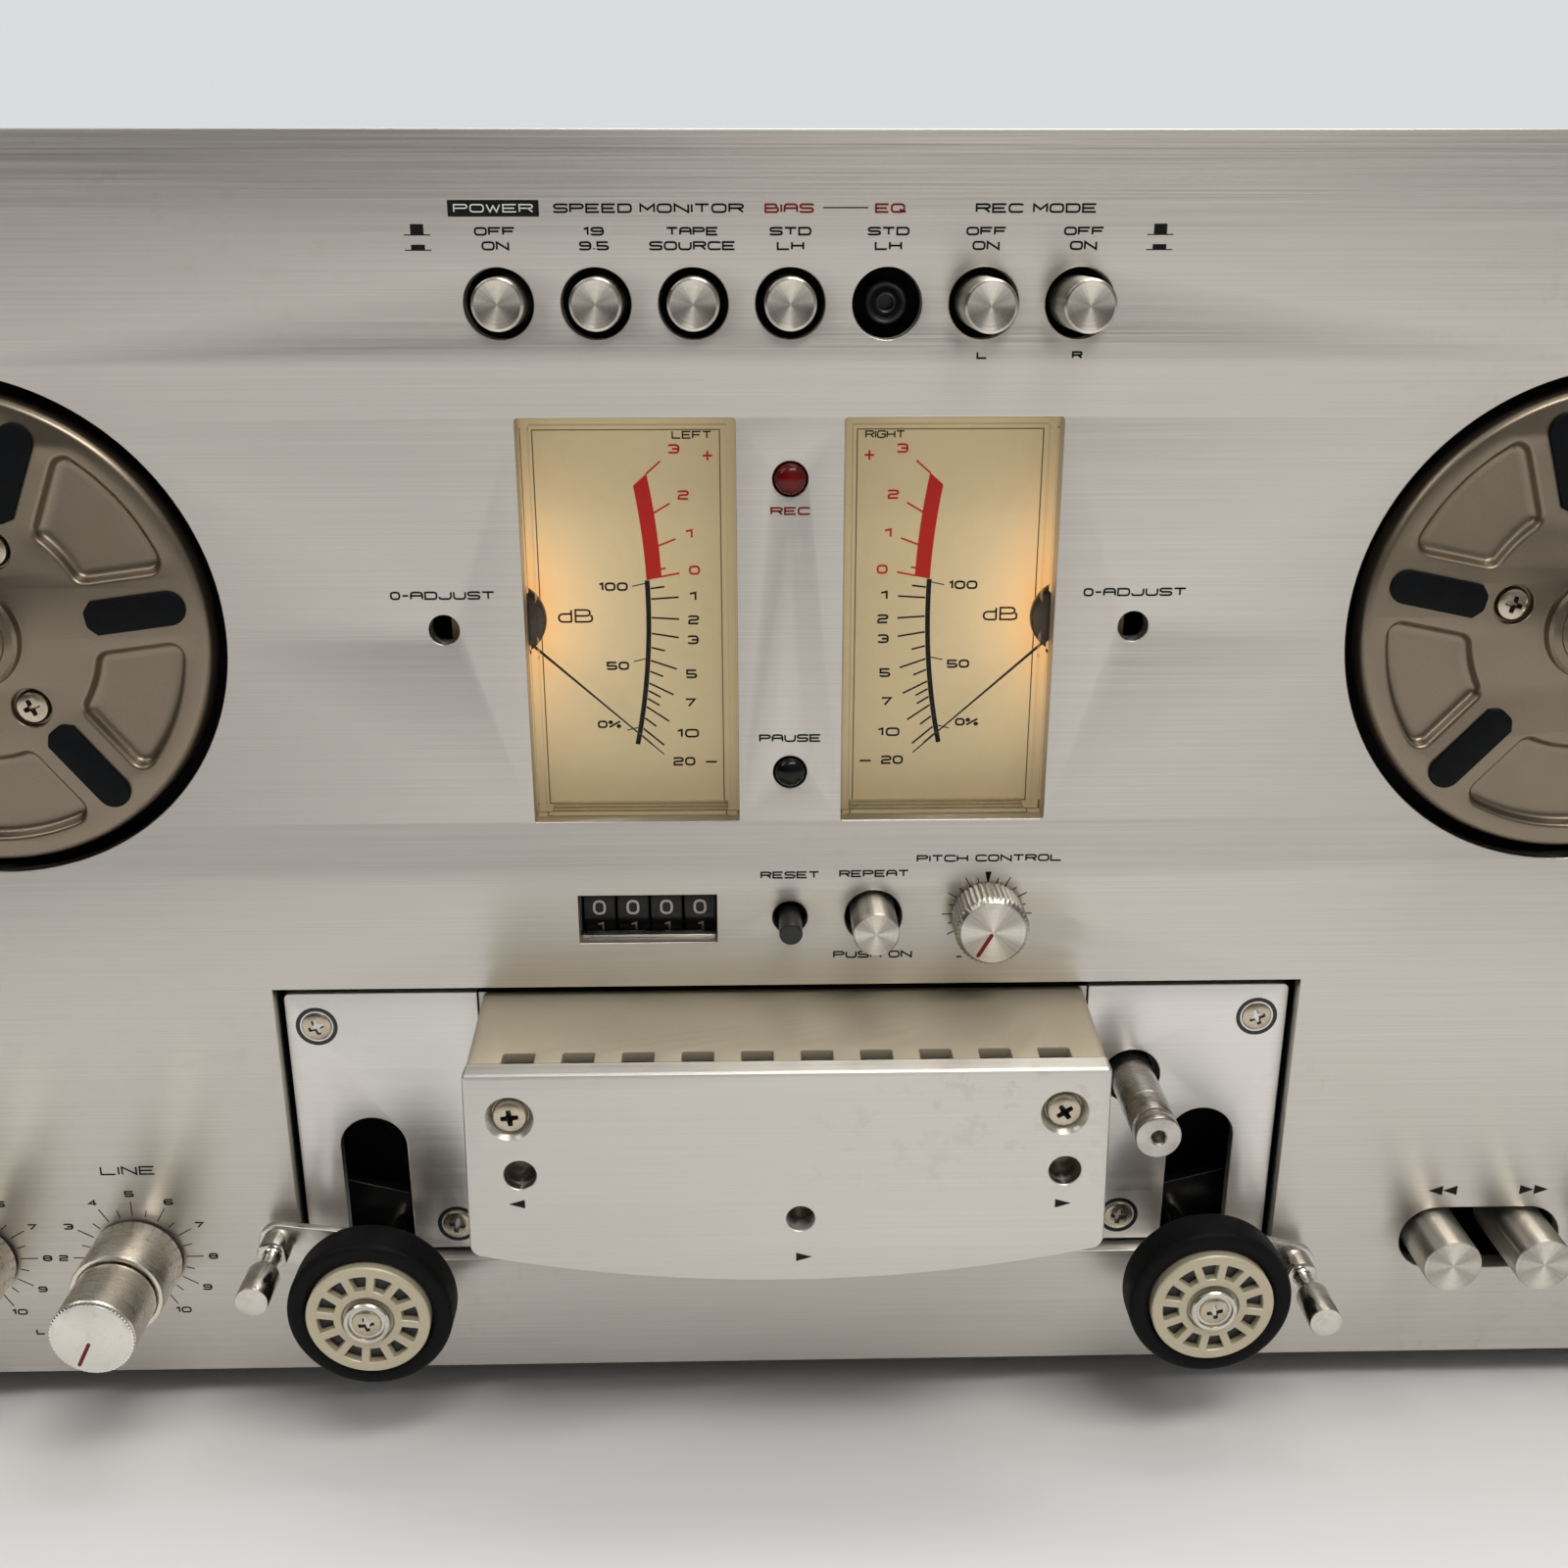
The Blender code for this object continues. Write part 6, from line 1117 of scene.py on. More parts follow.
def make_scale(side, sign):
    """Arc, ticks and numerals of a level meter; the right one is the left one's mirror image."""
    black, red = bmesh.new(), bmesh.new()

    def strip(shape, points, half):
        add_ribbon(shape, mirrored(points, -sign), half, SCALE_LEVEL - INK, SCALE_LEVEL + INK)

    def label(shape, words, x, y, width, height, half=0.17 * MM):
        add_text(shape, words, -sign * x, y, width, height, half, SCALE_LEVEL)

    def scale_arc(radius, bottom, top, steps):
        low = math.asin((bottom - SCALE_CENTRE[1]) / radius)
        high = math.asin((top - SCALE_CENTRE[1]) / radius)
        return arc(*SCALE_CENTRE, radius, low, high, steps)

    strip(black, scale_arc(SCALE_RADIUS, 122 * MM, 151.2 * MM, 24), 0.42 * MM)
    sweep = [math.radians(10.8 + 30.2 * index / 16) for index in range(17)]
    band = [ray_to_circle(angle, SCALE_RADIUS - 0.1 * MM) for angle in sweep]
    band += [ray_to_circle(angle, SCALE_RADIUS + 2.5 * MM) for angle in reversed(sweep)]
    add_prism(red, mirrored(band, -sign), SCALE_LEVEL - INK, SCALE_LEVEL + INK)
    for ticks, shape, start, major, minor in ((BLACK_TICKS, black, 0.5 * MM, 4.7 * MM, 2.4 * MM),
                                              (RED_TICKS, red, 2.4 * MM, 3.2 * MM, 0.9 * MM)):
        for degrees, words, reach in ticks:
            angle = math.radians(degrees)
            a = ray_to_circle(angle, SCALE_RADIUS + start)
            length = major if words else minor
            along = (math.cos(angle), math.sin(angle))
            b = (a[0] + along[0] * length, a[1] + along[1] * length)
            strip(shape, [a, b], 0.15 * MM)
            if words:
                reach = reach * MM
                width = 1.9 * MM if len(words) == 1 else 3.9 * MM
                label(shape, words, a[0] + along[0] * reach, a[1] + along[1] * reach - 0.8 * MM,
                      1.3 * MM if words == "1" else width, 1.6 * MM)
    label(red, "+", -13.44 * MM, 171.2 * MM, 1.9 * MM, 1.9 * MM)
    label(black, "-", -13.6 * MM, 117.9 * MM, 2.3 * MM, 1.5 * MM)
    label(black, "100", -29.8 * MM, 149.4 * MM, 5.0 * MM, 1.5 * MM)
    label(black, "50", -29.45 * MM, 135.5 * MM, 3.9 * MM, 1.5 * MM)
    label(black, "0%", -31.3 * MM, 125.0 * MM, 4.1 * MM, 1.4 * MM)
    label(black, "dB", -36.4 * MM, 143.9 * MM, 6.0 * MM, 2.4 * MM, 0.16 * MM)
    label(black, "LEFT" if sign < 0 else "RIGHT", -16.0 * MM, 174.9 * MM, 6.6 * MM, 1.3 * MM, 0.12 * MM)
    for x, y in ((-26.6, 150.2), (-26.7, 137.0), (-28.2, 124.6)):
        edge = SCALE_CENTRE[0] + math.sqrt(SCALE_RADIUS ** 2 - (y * MM - SCALE_CENTRE[1]) ** 2)
        strip(black, [(x * MM, y * MM), (edge - 0.3 * MM, (y + 0.5) * MM)], 0.09 * MM)
    frame_line = rectangle(-42.3 * MM, 111.1 * MM, -11.4 * MM, 176.4 * MM)
    border = bmesh.new()
    add_ribbon(border, mirrored(frame_line, -sign), 0.1 * MM, SCALE_LEVEL - INK, SCALE_LEVEL + INK, True)
    put(side + "_scale_border", new_mesh(border, "border"), INK_BORDER)
    put(side + "_scale_black", new_mesh(black, "marks"), INK_SCALE)
    put(side + "_scale_red", new_mesh(red, "marks"), INK_SCALE_RED)


PIVOT_X = 50 * MM
PIVOT_Y = 146.3 * MM
NEEDLE_REST = math.radians(42)


def make_needle(side, sign):
    node = side + "_meter_needle"
    shape = bmesh.new()
    back = -9.6 * MM
    half = 0.14 * MM
    lower = [(-3 * MM, -half * 2), (24 * MM, -half), (38 * MM, -half * 0.5)]
    bar = turned(lower + [(along, -across) for along, across in lower[::-1]], -NEEDLE_REST)
    add_plate(shape, [mirrored(bar, -sign)], back, back + 0.4 * MM, 0.06 * MM)
    add_lathe(shape, [(0, -9.0 * MM), (2.9 * MM, -9.0 * MM), (3.2 * MM, -9.3 * MM), (3.2 * MM, -11.55 * MM),
                      (0, -11.55 * MM)], SMALL)
    put(side + "_needle", new_mesh(shape, "needle"), BLACK, sign * PIVOT_X, PIVOT_Y, body=node, replaces=[node])
    shape = bmesh.new()
    cover = arc(-47.2 * MM, 145.6 * MM, 6.4 * MM, -QUARTER, QUARTER, 24) + sized([(-54.8, 152), (-54.8, 139.2)])
    add_plate(shape, [mirrored(cover, -sign)], -8.6 * MM, -6.4 * MM, 0.7 * MM)
    put(side + "_pivot_cover", new_mesh(shape, "cover"), PIVOT_LOOK)


# Lamps and counter

def make_lamps():
    low, high = extent("lamp_strip")
    shape = bmesh.new()
    add_box(shape, low.x, low.y, low.z, high.x, high.y, -4.3 * MM, 0.3 * MM)
    put("lamp_strip_body", new_mesh(shape, "strip"), BLACK, replaces=["lamp_strip"])
    for name, y, look in zip(("pause_lens", "record_lens"), LAMP_HEIGHTS, (DARK_LENS, RED_LENS)):
        profile = [(2.6 * MM * math.sin(QUARTER * k / 10), -0.3 * MM + 1.9 * MM * math.cos(QUARTER * k / 10))
                   for k in range(11)]
        profile += [(2.6 * MM, -4.8 * MM), (0, -4.8 * MM)]
        put(name, lathe(profile, SMALL), look, 0, y)


def make_counter():
    low, high = extent("counter_frame")
    cx, cy = COUNTER_CENTRE
    wall = 1.2 * MM
    shape = bmesh.new()
    outer = rectangle(low.x, low.y, high.x, high.y)
    add_plate(shape, [outer, inset(outer, wall)], low.z, high.z, 0.15 * MM)
    low_drum, high_drum = extent("counter_drum_units")
    axis_z = (low_drum.z + high_drum.z) / 2
    turn = Matrix.Translation((cx, cy, axis_z)) @ Matrix.Rotation(QUARTER, 4, "Y")
    axle = bmesh.new()
    half = (high.x - low.x) / 2 - wall / 2
    add_lathe(axle, [(0, half), (1.5 * MM, half), (1.5 * MM, -half), (0, -half)], SMALL)
    mesh = new_mesh(axle, "axle")
    mesh.transform(turn)
    shape.from_mesh(mesh)
    put("counter_frame_body", new_mesh(shape, "frame"), ZINC, replaces=["counter_frame"])
    shape = bmesh.new()
    bottom = cy - COUNTER_TALL / 2
    reach = COUNTER_WIDE / 2 - 0.3 * MM
    add_box(shape, cx - reach, bottom + 0.05 * MM, -4.2 * MM, cx + reach, bottom + 0.55 * MM, -2.2 * MM, 0.12 * MM)
    put("counter_lip", new_mesh(shape, "lip"), PALE_STEEL)
    for word in ("thousands", "hundreds", "tens", "units"):
        make_drum(word, axis_z)


def make_drum(word, axis_z):
    """A counter wheel with its ten digits wrapped round it."""
    node = "counter_drum_" + word
    low, high = extent(node)
    x, y = middle(node)
    radius = (high.y - low.y) / 2
    half = (high.x - low.x) / 2
    bore = 1.8 * MM
    edge = 0.2 * MM
    shape = bmesh.new()
    add_lathe(shape, [(bore, half), (radius - edge, half), (radius, half - edge), (radius, edge - half),
                      (radius - edge, -half), (bore, -half)], 60, closed=True)
    mesh = new_mesh(shape, "drum")
    mesh.transform(Matrix.Rotation(QUARTER, 4, "Y"))
    put("drum_" + word, mesh, DRUM_BLACK, x, y, body=node, replaces=[node], z=axis_z)
    shape = bmesh.new()
    for digit in range(10):
        flat = bmesh.new()
        width = 1.2 * MM if digit == 1 else 2.3 * MM
        add_text(flat, str(digit), 0, -1.4 * MM, width, 2.8 * MM, 0.21 * MM, radius, 0.3 * MM)
        for vert in flat.verts:
            angle = vert.co.y / radius - digit * TURN / 10
            vert.co = (vert.co.x, vert.co.z * math.sin(angle), vert.co.z * math.cos(angle))
        mesh = bpy.data.meshes.new("digit")
        flat.to_mesh(mesh)
        flat.free()
        shape.from_mesh(mesh)
    put("digits_" + word, new_mesh(shape, "digits", weld=False), INK_WHITE, x, y, body=node, z=axis_z)


# Recess: deck plates, head block and capstan

def make_deck_plate(side):
    sign = -1 if side == "left" else 1
    node = side + "_deck_plate"
    low, high = extent(node)
    inner, outer = (high.x, low.x) if sign < 0 else (low.x, high.x)
    bottom, top = low.y, high.y
    slot_x, slot_r, slot_top = 76.8 * MM, 6.1 * MM, 53.2 * MM
    reach_in = abs(inner)
    reach_out = abs(outer)
    crown = arc(slot_x, slot_top - slot_r, slot_r, math.pi, 0, 28)
    outline = [(reach_in, bottom), (slot_x - slot_r, bottom)] + crown
    outline += [(slot_x + slot_r, bottom), (reach_out, bottom)]
    outline += soften([(reach_out, bottom), (reach_out, top), (reach_in, top)], 1.2 * MM, 5, False)[1:]
    holes = [mirrored(outline, sign)]
    if sign > 0:
        x, y = middle("capstan_shaft")
        holes.append(circle(x, y, 5.3 * MM))
    shape = bmesh.new()
    front = -2.5 * MM
    screws = ((sign * 85.0 * MM, 72.1 * MM), (sign * 62.5 * MM, 30.3 * MM))
    add_plate(shape, holes, front - 2.5 * MM, front, 0.2 * MM)
    for x, y in screws:
        boss = [(0, low.z), (3.5 * MM, low.z), (3.5 * MM, front - 2.2 * MM), (0, front - 2.2 * MM)]
        add_lathe(shape, boss, SMALL, x, y)
    put(node + "_skin", new_mesh(shape, "deck"), DECK_METAL, replaces=[node])
    for index, (x, y) in enumerate(screws):
        ring = lathe(sized([(3, 0.02), (3.45, 0.12), (3.75, 0.02), (3.75, -0.3), (3, -0.3)], front), SMALL, True)
        put(f"{node}_cup_{index + 1}", ring, BLACK, x, y)
        add_screw(f"{node}_screw_{index + 1}", x, y, front - 0.9 * MM, 2.95 * MM, 1.35 * MM, 0.35 + index)


HEAD_X = -1 * MM


def make_head_housing():
    """A thin folded cover with round corners, drawn in a little towards the front, and a comb of slots."""
    low, high = extent("head_housing")
    wall = 2 * MM
    bottom = low.y
    top = high.y
    back, front = low.z, high.z
    half_back = (high.x - low.x) / 2
    half_front = half_back - 1 * MM

    def section(half, shrink):
        half = half - shrink
        crown = top - shrink
        path = [(HEAD_X - half, bottom), (HEAD_X - half, crown), (HEAD_X + half, crown),
                (HEAD_X + half, bottom)]
        return soften(path, 1.6 * MM if not shrink else 0.5 * MM, 6, False)

    shape = bmesh.new()
    rings = []
    for half, z in ((half_back, back), (half_front, front)):
        loop = section(half, 0) + section(half, wall)[::-1]
        rings.append([(x, y, z) for x, y in loop])
    add_rings(shape, rings)
    housing = put("head_cover", new_mesh(shape, "cover"), HOUSING, replaces=["head_housing"])
    cutter_shape = bmesh.new()
    for index in range(10):
        x = HEAD_X + (index - 4.5) * 9.85 * MM
        add_box(cutter_shape, x - 2.65 * MM, top - wall - 1 * MM, front - 3.4 * MM, x + 2.65 * MM, top + 1 * MM,
                front + 1 * MM)
    cut(housing, cutter_shape)
    bevel(housing, 0.25 * MM)


def cut(obj, shape):
    """Cut a shape out of a piece and keep the result as its mesh."""
    tool = bpy.data.objects.new("cutter", new_mesh(shape, "cutter", weld=False))
    bpy.context.scene.collection.objects.link(tool)
    tool.matrix_world = obj.matrix_world
    boolean = obj.modifiers.new("Cut", "BOOLEAN")
    boolean.object = tool
    boolean.solver = "EXACT"
    settle(obj)
    bpy.data.objects.remove(tool, do_unlink=True)


def settle(obj):
    bpy.context.view_layer.update()
    mesh = bpy.data.meshes.new_from_object(obj.evaluated_get(bpy.context.evaluated_depsgraph_get()))
    obj.modifiers.clear()
    obj.data = mesh
    mesh.shade_smooth()
    mesh.set_sharp_from_angle(angle=SHARP)


def bevel(obj, width, segments=2):
    made = obj.modifiers.new("Edges", "BEVEL")
    made.width = width
    made.segments = segments
    made.limit_method = "ANGLE"
    made.angle_limit = math.radians(40)
    made.use_clamp_overlap = True
    settle(obj)


def front_plate_outline():
    half_top = 52.9 * MM
    half = 53.5 * MM
    corner = 44.5 * MM
    lowest = 38.6 * MM
    top = 78.7 * MM
    sag = corner - lowest
    radius = (half ** 2 + sag ** 2) / (2 * sag)
    swing = math.asin((half - 2.5 * MM) / radius)
    bow = arc(HEAD_X, lowest + radius, radius, -QUARTER - swing, -QUARTER + swing, 40)
    y = bow[0][1] + 2.5 * MM
    left = arc(HEAD_X - half + 2.5 * MM, y, 2.5 * MM, math.pi, 3 * QUARTER - swing, 10)
    right = arc(HEAD_X + half - 2.5 * MM, y, 2.5 * MM, -QUARTER + swing, 0, 10)
    crown = soften([(HEAD_X + half, y), (HEAD_X + half_top, top), (HEAD_X - half_top, top), (HEAD_X - half, y)],
                   0.8 * MM, 4, False)[1:-1]
    return left[:-1] + bow + right[1:] + crown


def make_front_plate():
    """The bowed plate before the heads, with its sunk screws and three adjusting holes."""
    low, high = extent("head_front_plate")
    front = high.z - 2 * INK
    edge = 0.7 * MM
    outline = front_plate_outline()
    screws = ((-46.5 * MM, 70.7 * MM), (44.5 * MM, 70.6 * MM))
    holes = ((-45.3 * MM, 60.1 * MM, 2.7 * MM), (45.1 * MM, 59.7 * MM, 2.7 * MM), (1.1 * MM, 51 * MM, 2.4 * MM))
    shape = bmesh.new()
    face = inset(outline, edge)
    seats = [circle(x, y, 4.05 * MM, SMALL) for x, y in screws]
    bores = [circle(x, y, radius + 0.15 * MM, SMALL) for x, y, radius in holes]
    add_face(shape, [face] + seats + bores, front)
    add_face(shape, [outline] + [circle(x, y, radius, SMALL) for x, y, radius in holes], low.z)
    rings = [(face, front), (inset(outline, 0.4 * edge), front - 0.25 * edge),
             (inset(outline, 0.05 * edge), front - 0.75 * edge), (outline, front - 1.2 * edge), (outline, low.z)]
    add_rings(shape, [[(x, y, height) for x, y in ring] for ring, height in rings], False, False)
    for ring in seats:
        add_sink(shape, ring, [(0, front), (0.15 * MM, front - 0.12 * MM), (0.85 * MM, front - 1.5 * MM),
                               (1.0 * MM, front - 1.8 * MM)])
    for (x, y, radius), ring in zip(holes, bores):
        small = circle(x, y, radius, SMALL)
        add_rings(shape, [[(a, b, front) for a, b in ring], [(a, b, front - 0.15 * MM) for a, b in small],
                          [(a, b, low.z) for a, b in small]], False, False)
    put("head_plate_skin", new_mesh(shape, "plate"), FRONT_METAL, replaces=["head_front_plate"])
    for index, (x, y, radius) in enumerate(holes):
        reach = radius + 0.05 * MM
        top, base = low.z + 0.4 * MM, low.z + 0.05 * MM
        plug = lathe([(0, top), (reach, top), (reach, base), (0, base)], SMALL)
        put(f"head_plate_bore_{index + 1}", plug, PIVOT_LOOK, x, y)
    for index, (x, y) in enumerate(screws):
        add_screw(f"head_plate_screw_{index + 1}", x, y, front - 1.8 * MM, 2.95 * MM, 1.5 * MM,
                  0.1 + 0.5 * index)


def make_capstan():
    """The shaft that drives the tape, with its flywheel behind the panel."""
    low, high = extent("capstan_shaft")
    x, y = middle("capstan_shaft")
    r = 4 * MM
    profile = sized([(0, -3), (1.15, -3), (1.2, -0.25), (1.5, 0), (3.55, 0), (3.85, -0.12), (4, -0.4), (4, -2.2),
                     (3.88, -2.4), (3.5, -2.6), (3.5, -3.3), (3.9, -3.5), (4, -3.7), (4, -9), (3.92, -9.1),
                     (4, -9.2)], high.z)
    profile += sized([(4, -27.3), (27.4, -27.3), (28, -27.9), (28, -34.7), (27.4, -35.3), (4, -35.3)])
    profile += [(r, low.z), (0, low.z)]
    put("capstan_spindle", lathe(profile), STEEL, x, y, body="capstan", replaces=["capstan_shaft"])


# Pinch rollers and tension arms

def make_roller(side):
    tyre = side + "_pinch_tyre"
    body = side + "_roller"
    low, high = extent(tyre)
    x, y = middle(tyre)
    radius = (high.x - low.x) / 2
    bore = 11.0 * MM
    back, front = low.z, high.z
    profile = soften([(bore, front - 0.15 * MM), (radius, front), (radius, back), (bore, back)], 1.5 * MM, 6)
    put(side + "_tyre", lathe(profile, FINE, True), TYRE, x, y, body=body, replaces=[tyre])
    hub = side + "_pinch_hub"
    low, high = extent(hub)
    front = high.z
    rim = 10.9 * MM
    shape = bmesh.new()
    count = 12
    windows = []
    for index in range(count):
        step = TURN / count
        outline = []
        for r, sign in ((9.05 * MM, 1), (5.95 * MM, -1)):
            half = step / 2 - 0.62 * MM / r
            outline += arc(0, 0, r, -half * sign, half * sign, 8)
        windows.append(soften(turned(outline, index * step + 0.13), 0.5 * MM, 3))
    outer = circle(0, 0, rim - 0.25 * MM, 96)
    inner = circle(0, 0, 4.75 * MM, 96)
    web = front - 1.5 * MM
    add_face(shape, [outer, inner] + windows, front)
    for window in windows:
        add_rings(shape, [[(a, b, front) for a, b in window],
                          [(a, b, front - 0.15 * MM) for a, b in inset(window, 0.12 * MM)],
                          [(a, b, web) for a, b in inset(window, 0.18 * MM)]], False, False)
    back = low.z
    sleeve = 2.8 * MM
    add_lathe(shape, [(rim - 0.25 * MM, front), (rim, front - 0.25 * MM), (rim, back), (9.8 * MM, back),
                      (9.8 * MM, web), (4.9 * MM, web), (4.9 * MM, back), (sleeve, back), (sleeve, front - 0.5 * MM),
                      (4.4 * MM, front - 0.5 * MM), (4.6 * MM, front - 0.1 * MM), (4.75 * MM, front)], 96)
    put(side + "_hub", new_mesh(shape, "hub"), HUB_PLASTIC, x, y, body=body, replaces=[hub])
    # A black ring over the web under the hub's windows: painted shade, so the windows read dark.
    window_shade_ring = lathe(sized([(5.6, 0.12), (9.4, 0.12), (9.4, -0.1), (5.6, -0.1)], web), ROUND, True)
    put(side + "_hub_window_shade", window_shade_ring, BLACK, x, y, body=body)
    make_pinch_arm(side, x, y)


ARM_PIVOT = (103.8 * MM, 34 * MM)


def make_pinch_arm(side, x, y):
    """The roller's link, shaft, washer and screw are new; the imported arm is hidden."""
    sign = -1 if side == "left" else 1
    node = side + "_pinch_arm"
    low, high = extent(node)
    pivot_x, pivot_y = sign * ARM_PIVOT[0], ARM_PIVOT[1]
    dx, dy = ARM_PIVOT[0] - abs(x), pivot_y - y
    reach = math.hypot(dx, dy)
    link = arc(0, 0, 5 * MM, -QUARTER, QUARTER, 16) + arc(-reach, 0, 5 * MM, QUARTER, 3 * QUARTER, 16)
    link = mirrored(turned(link, math.atan2(dy, dx)), sign)
    shape = bmesh.new()
    add_plate(shape, [link, circle(0, 0, 2.7 * MM, SMALL)], -14.5 * MM, -12 * MM, 0.2 * MM)
    bush = [(2.7 * MM, -14.2 * MM), (4.5 * MM, -14.2 * MM), (4.5 * MM, low.z), (2.7 * MM, low.z)]
    add_lathe(shape, bush, SMALL, closed=True)
    put(side + "_roller_link", new_mesh(shape, "link"), BLACK, pivot_x, pivot_y, body=node)
    shape = bmesh.new()
    sx, sy = x - pivot_x, y - pivot_y
    washer = high.z
    profile = sized([(0, -0.5), (3.1, -0.5), (3.3, -0.06), (3.5, 0), (3.9, -0.06), (4.1, -0.3), (4.1, -0.9),
                     (2.5, -0.9)], washer)
    profile += sized([(2.5, 11.7), (3.5, 11.7), (3.5, 1.2), (2.5, 1.2), (2.5, -13.2), (0, -13.2)])
    add_lathe(shape, profile, ROUND, sx, sy)
    put(side + "_roller_arm", new_mesh(shape, "arm"), CHROME, pivot_x, pivot_y, body=node, replaces=[node])
    add_screw(side + "_roller_screw", x, y, washer - 0.9 * MM, 2.85 * MM, 0.88 * MM, 0.2, node)


def make_tension_arm(side, angle):
    node = side + "_tension_arm"
    low, high = extent(node)
    x, y = middle(side + "_pinch_tyre")
    reach, ring, end = 20 * MM, 6.4 * MM, 3.6 * MM
    lean = math.asin((ring - end) / reach)
    outline = arc(0, 0, ring, QUARTER - lean, 3 * QUARTER + lean, 30)
    outline += arc(reach, 0, end, -QUARTER + lean, QUARTER - lean, 20)
    shape = bmesh.new()
    add_plate(shape, [turned(outline, angle), circle(0, 0, 3.8 * MM, SMALL)], 3 * MM, 4.6 * MM, 0.2 * MM)
    put(side + "_tension_plate", new_mesh(shape, "plate"), PALE_STEEL, x, y, body=node, replaces=[node])
    tip = high.z
    profile = sized([(0, 0), (2.4, 0), (2.78, -0.12), (2.9, -0.45)], tip)
    profile += sized([(2.9, 14.6), (2.65, 14), (1.75, 12.9), (1.6, 12.5), (1.6, 9.3), (1.8, 9.05), (2.4, 9),
                      (2.8, 8.75), (2.9, 8.4), (2.9, 4.5), (0, 4.5)])
    px, py = x + reach * math.cos(angle), y + reach * math.sin(angle)
    put(side + "_tension_post", lathe(profile), CHROME, px, py, body=node)


# Reel tables

DISC_BACK = -4 * MM


def pocket_ring(angle, inwards):
    """A pocket between two spokes with filleted corners, drawn in by a distance."""
    inner, outer = 20.4 * MM + inwards, 35.8 * MM - inwards
    side = 5.2 * MM + inwards
    fillet = max(2.9 * MM - inwards, 0.15 * MM)
    spoke = TURN / 6
    half = []
    for radius, sign in ((outer, -1), (inner, 1)):
        reach = radius + sign * fillet
        height = side + fillet
        cx, cy = math.sqrt(reach ** 2 - height ** 2), height
        lean = math.atan2(cy, cx)
        rim = arc(0, 0, radius, spoke / 2, lean, 7)
        out = lean if sign < 0 else lean + math.pi
        if sign < 0:
            corner = arc(cx, cy, fillet, out, -QUARTER, 8)
            half += rim[:-1] + corner
        else:
            corner = arc(cx, cy, fillet, 3 * QUARTER, out, 8)
            half += corner + rim[::-1][1:]
    across = [turned([(x, -y)], spoke)[0] for x, y in half[::-1]]
    ring = half[:-1] + across[:-1]
    return turned(ring[::-1], angle - spoke / 2)


def make_reel_table(side, spoke_angle, screw_angle):
    """A turned disc with six sunk pockets, six pads between them and three screws."""
    node = side + "_reel_table"
    low, high = extent(node)
    x, y = middle(node)
    radius = (high.x - low.x) / 2
    top = 1 * MM
    spoke = TURN / 6
    places = [spoke_angle + (index + 0.5) * spoke for index in range(6)]
    screws = [turned([(15.2 * MM, 0)], screw_angle + index * TURN / 3)[0] for index in range(3)]
    seats = [circle(a, b, 3.45 * MM, SMALL) for a, b in screws]
    edge = radius - 1.2 * MM
    ring_radius = 9.1 * MM
    shape = bmesh.new()
    pockets = [pocket_ring(place, 0) for place in places]
    add_face(shape, [circle(0, 0, edge, FINE), circle(0, 0, ring_radius + 0.6 * MM, 96)] + pockets + seats, top)
    wall = [(0, 0), (0.18, 0.04), (0.40, 0.16), (0.62, 0.42), (0.80, 0.80), (0.95, 1.20), (1.20, 1.58),
            (1.55, 1.84), (2.05, 1.97), (2.7, 2.0)]
    for place in places:
        add_rings(shape, [[(a, b, top - depth * MM) for a, b in pocket_ring(place, distance * MM)]
                          for distance, depth in wall], False, True)
    for seat in seats:
        add_sink(shape, seat, [(0, top), (0.12 * MM, top - 0.15 * MM), (0.2 * MM, top - 1.3 * MM)])
    back = DISC_BACK
    add_lathe(shape, [(edge, top), (radius - 0.75 * MM, top - 0.22 * MM), (radius - 0.2 * MM, top - 0.85 * MM),
                      (radius, top - 1.4 * MM), (radius, back), (12 * MM, back), (12 * MM, back - 8 * MM),
                      (4 * MM, back - 8 * MM), (4 * MM, low.z), (0, low.z)], FINE)
    crown = top + 2.2 * MM
    add_lathe(shape, [(ring_radius + 0.6 * MM, top), (ring_radius + 0.15 * MM, top + 0.12 * MM),
                      (ring_radius, top + 0.5 * MM), (ring_radius, crown - 0.5 * MM),
                      (ring_radius - 0.5 * MM, crown), (7.2 * MM, crown), (6.9 * MM, crown - 0.25 * MM),
                      (0, crown - 0.25 * MM)], 96)
    put(side + "_reel_disc", new_mesh(shape, "disc"), BRONZE, x, y, body=node, replaces=[node])
    make_pads(side, node, x, y, spoke_angle)
    make_spindle(side, node, x, y, crown - 0.3 * MM)
    for index, (a, b) in enumerate(screws):
        add_screw(f"{side}_reel_screw_{index + 1}", x + a, y + b, top - 1.25 * MM, 2.85 * MM, 1.15 * MM,
                  0.4 + 0.9 * index, node)


def make_pads(side, node, x, y, spoke_angle):
    """Six rubber pads, each with a round outer end and a blunter inner end."""
    half = 2.85 * MM
    shape = bmesh.new()
    for index in range(6):
        outline = arc(36.6 * MM - half, 0, half, -QUARTER, QUARTER, 12)
        inner = [(21.6 * MM, half), (20.1 * MM, half * 0.45), (20.1 * MM, -half * 0.45), (21.6 * MM, -half)]
        outline = outline + soften(inner, 0.5 * MM, 3, False)
        add_plate(shape, [turned(outline, spoke_angle + index * TURN / 6)], 0.9 * MM, 1.8 * MM, 0.3 * MM)
    put(side + "_reel_pads", new_mesh(shape, "pads"), RUBBER, x, y, body=node)


def add_ribs(shape, inner, back, front):
    for index in range(3):
        bar = soften(rectangle(inner, -0.8 * MM, 5.6 * MM, 0.8 * MM), 0.3 * MM, 3)
        add_plate(shape, [turned(bar, TURN * index / 3 + QUARTER)], back, front, 0.2 * MM)


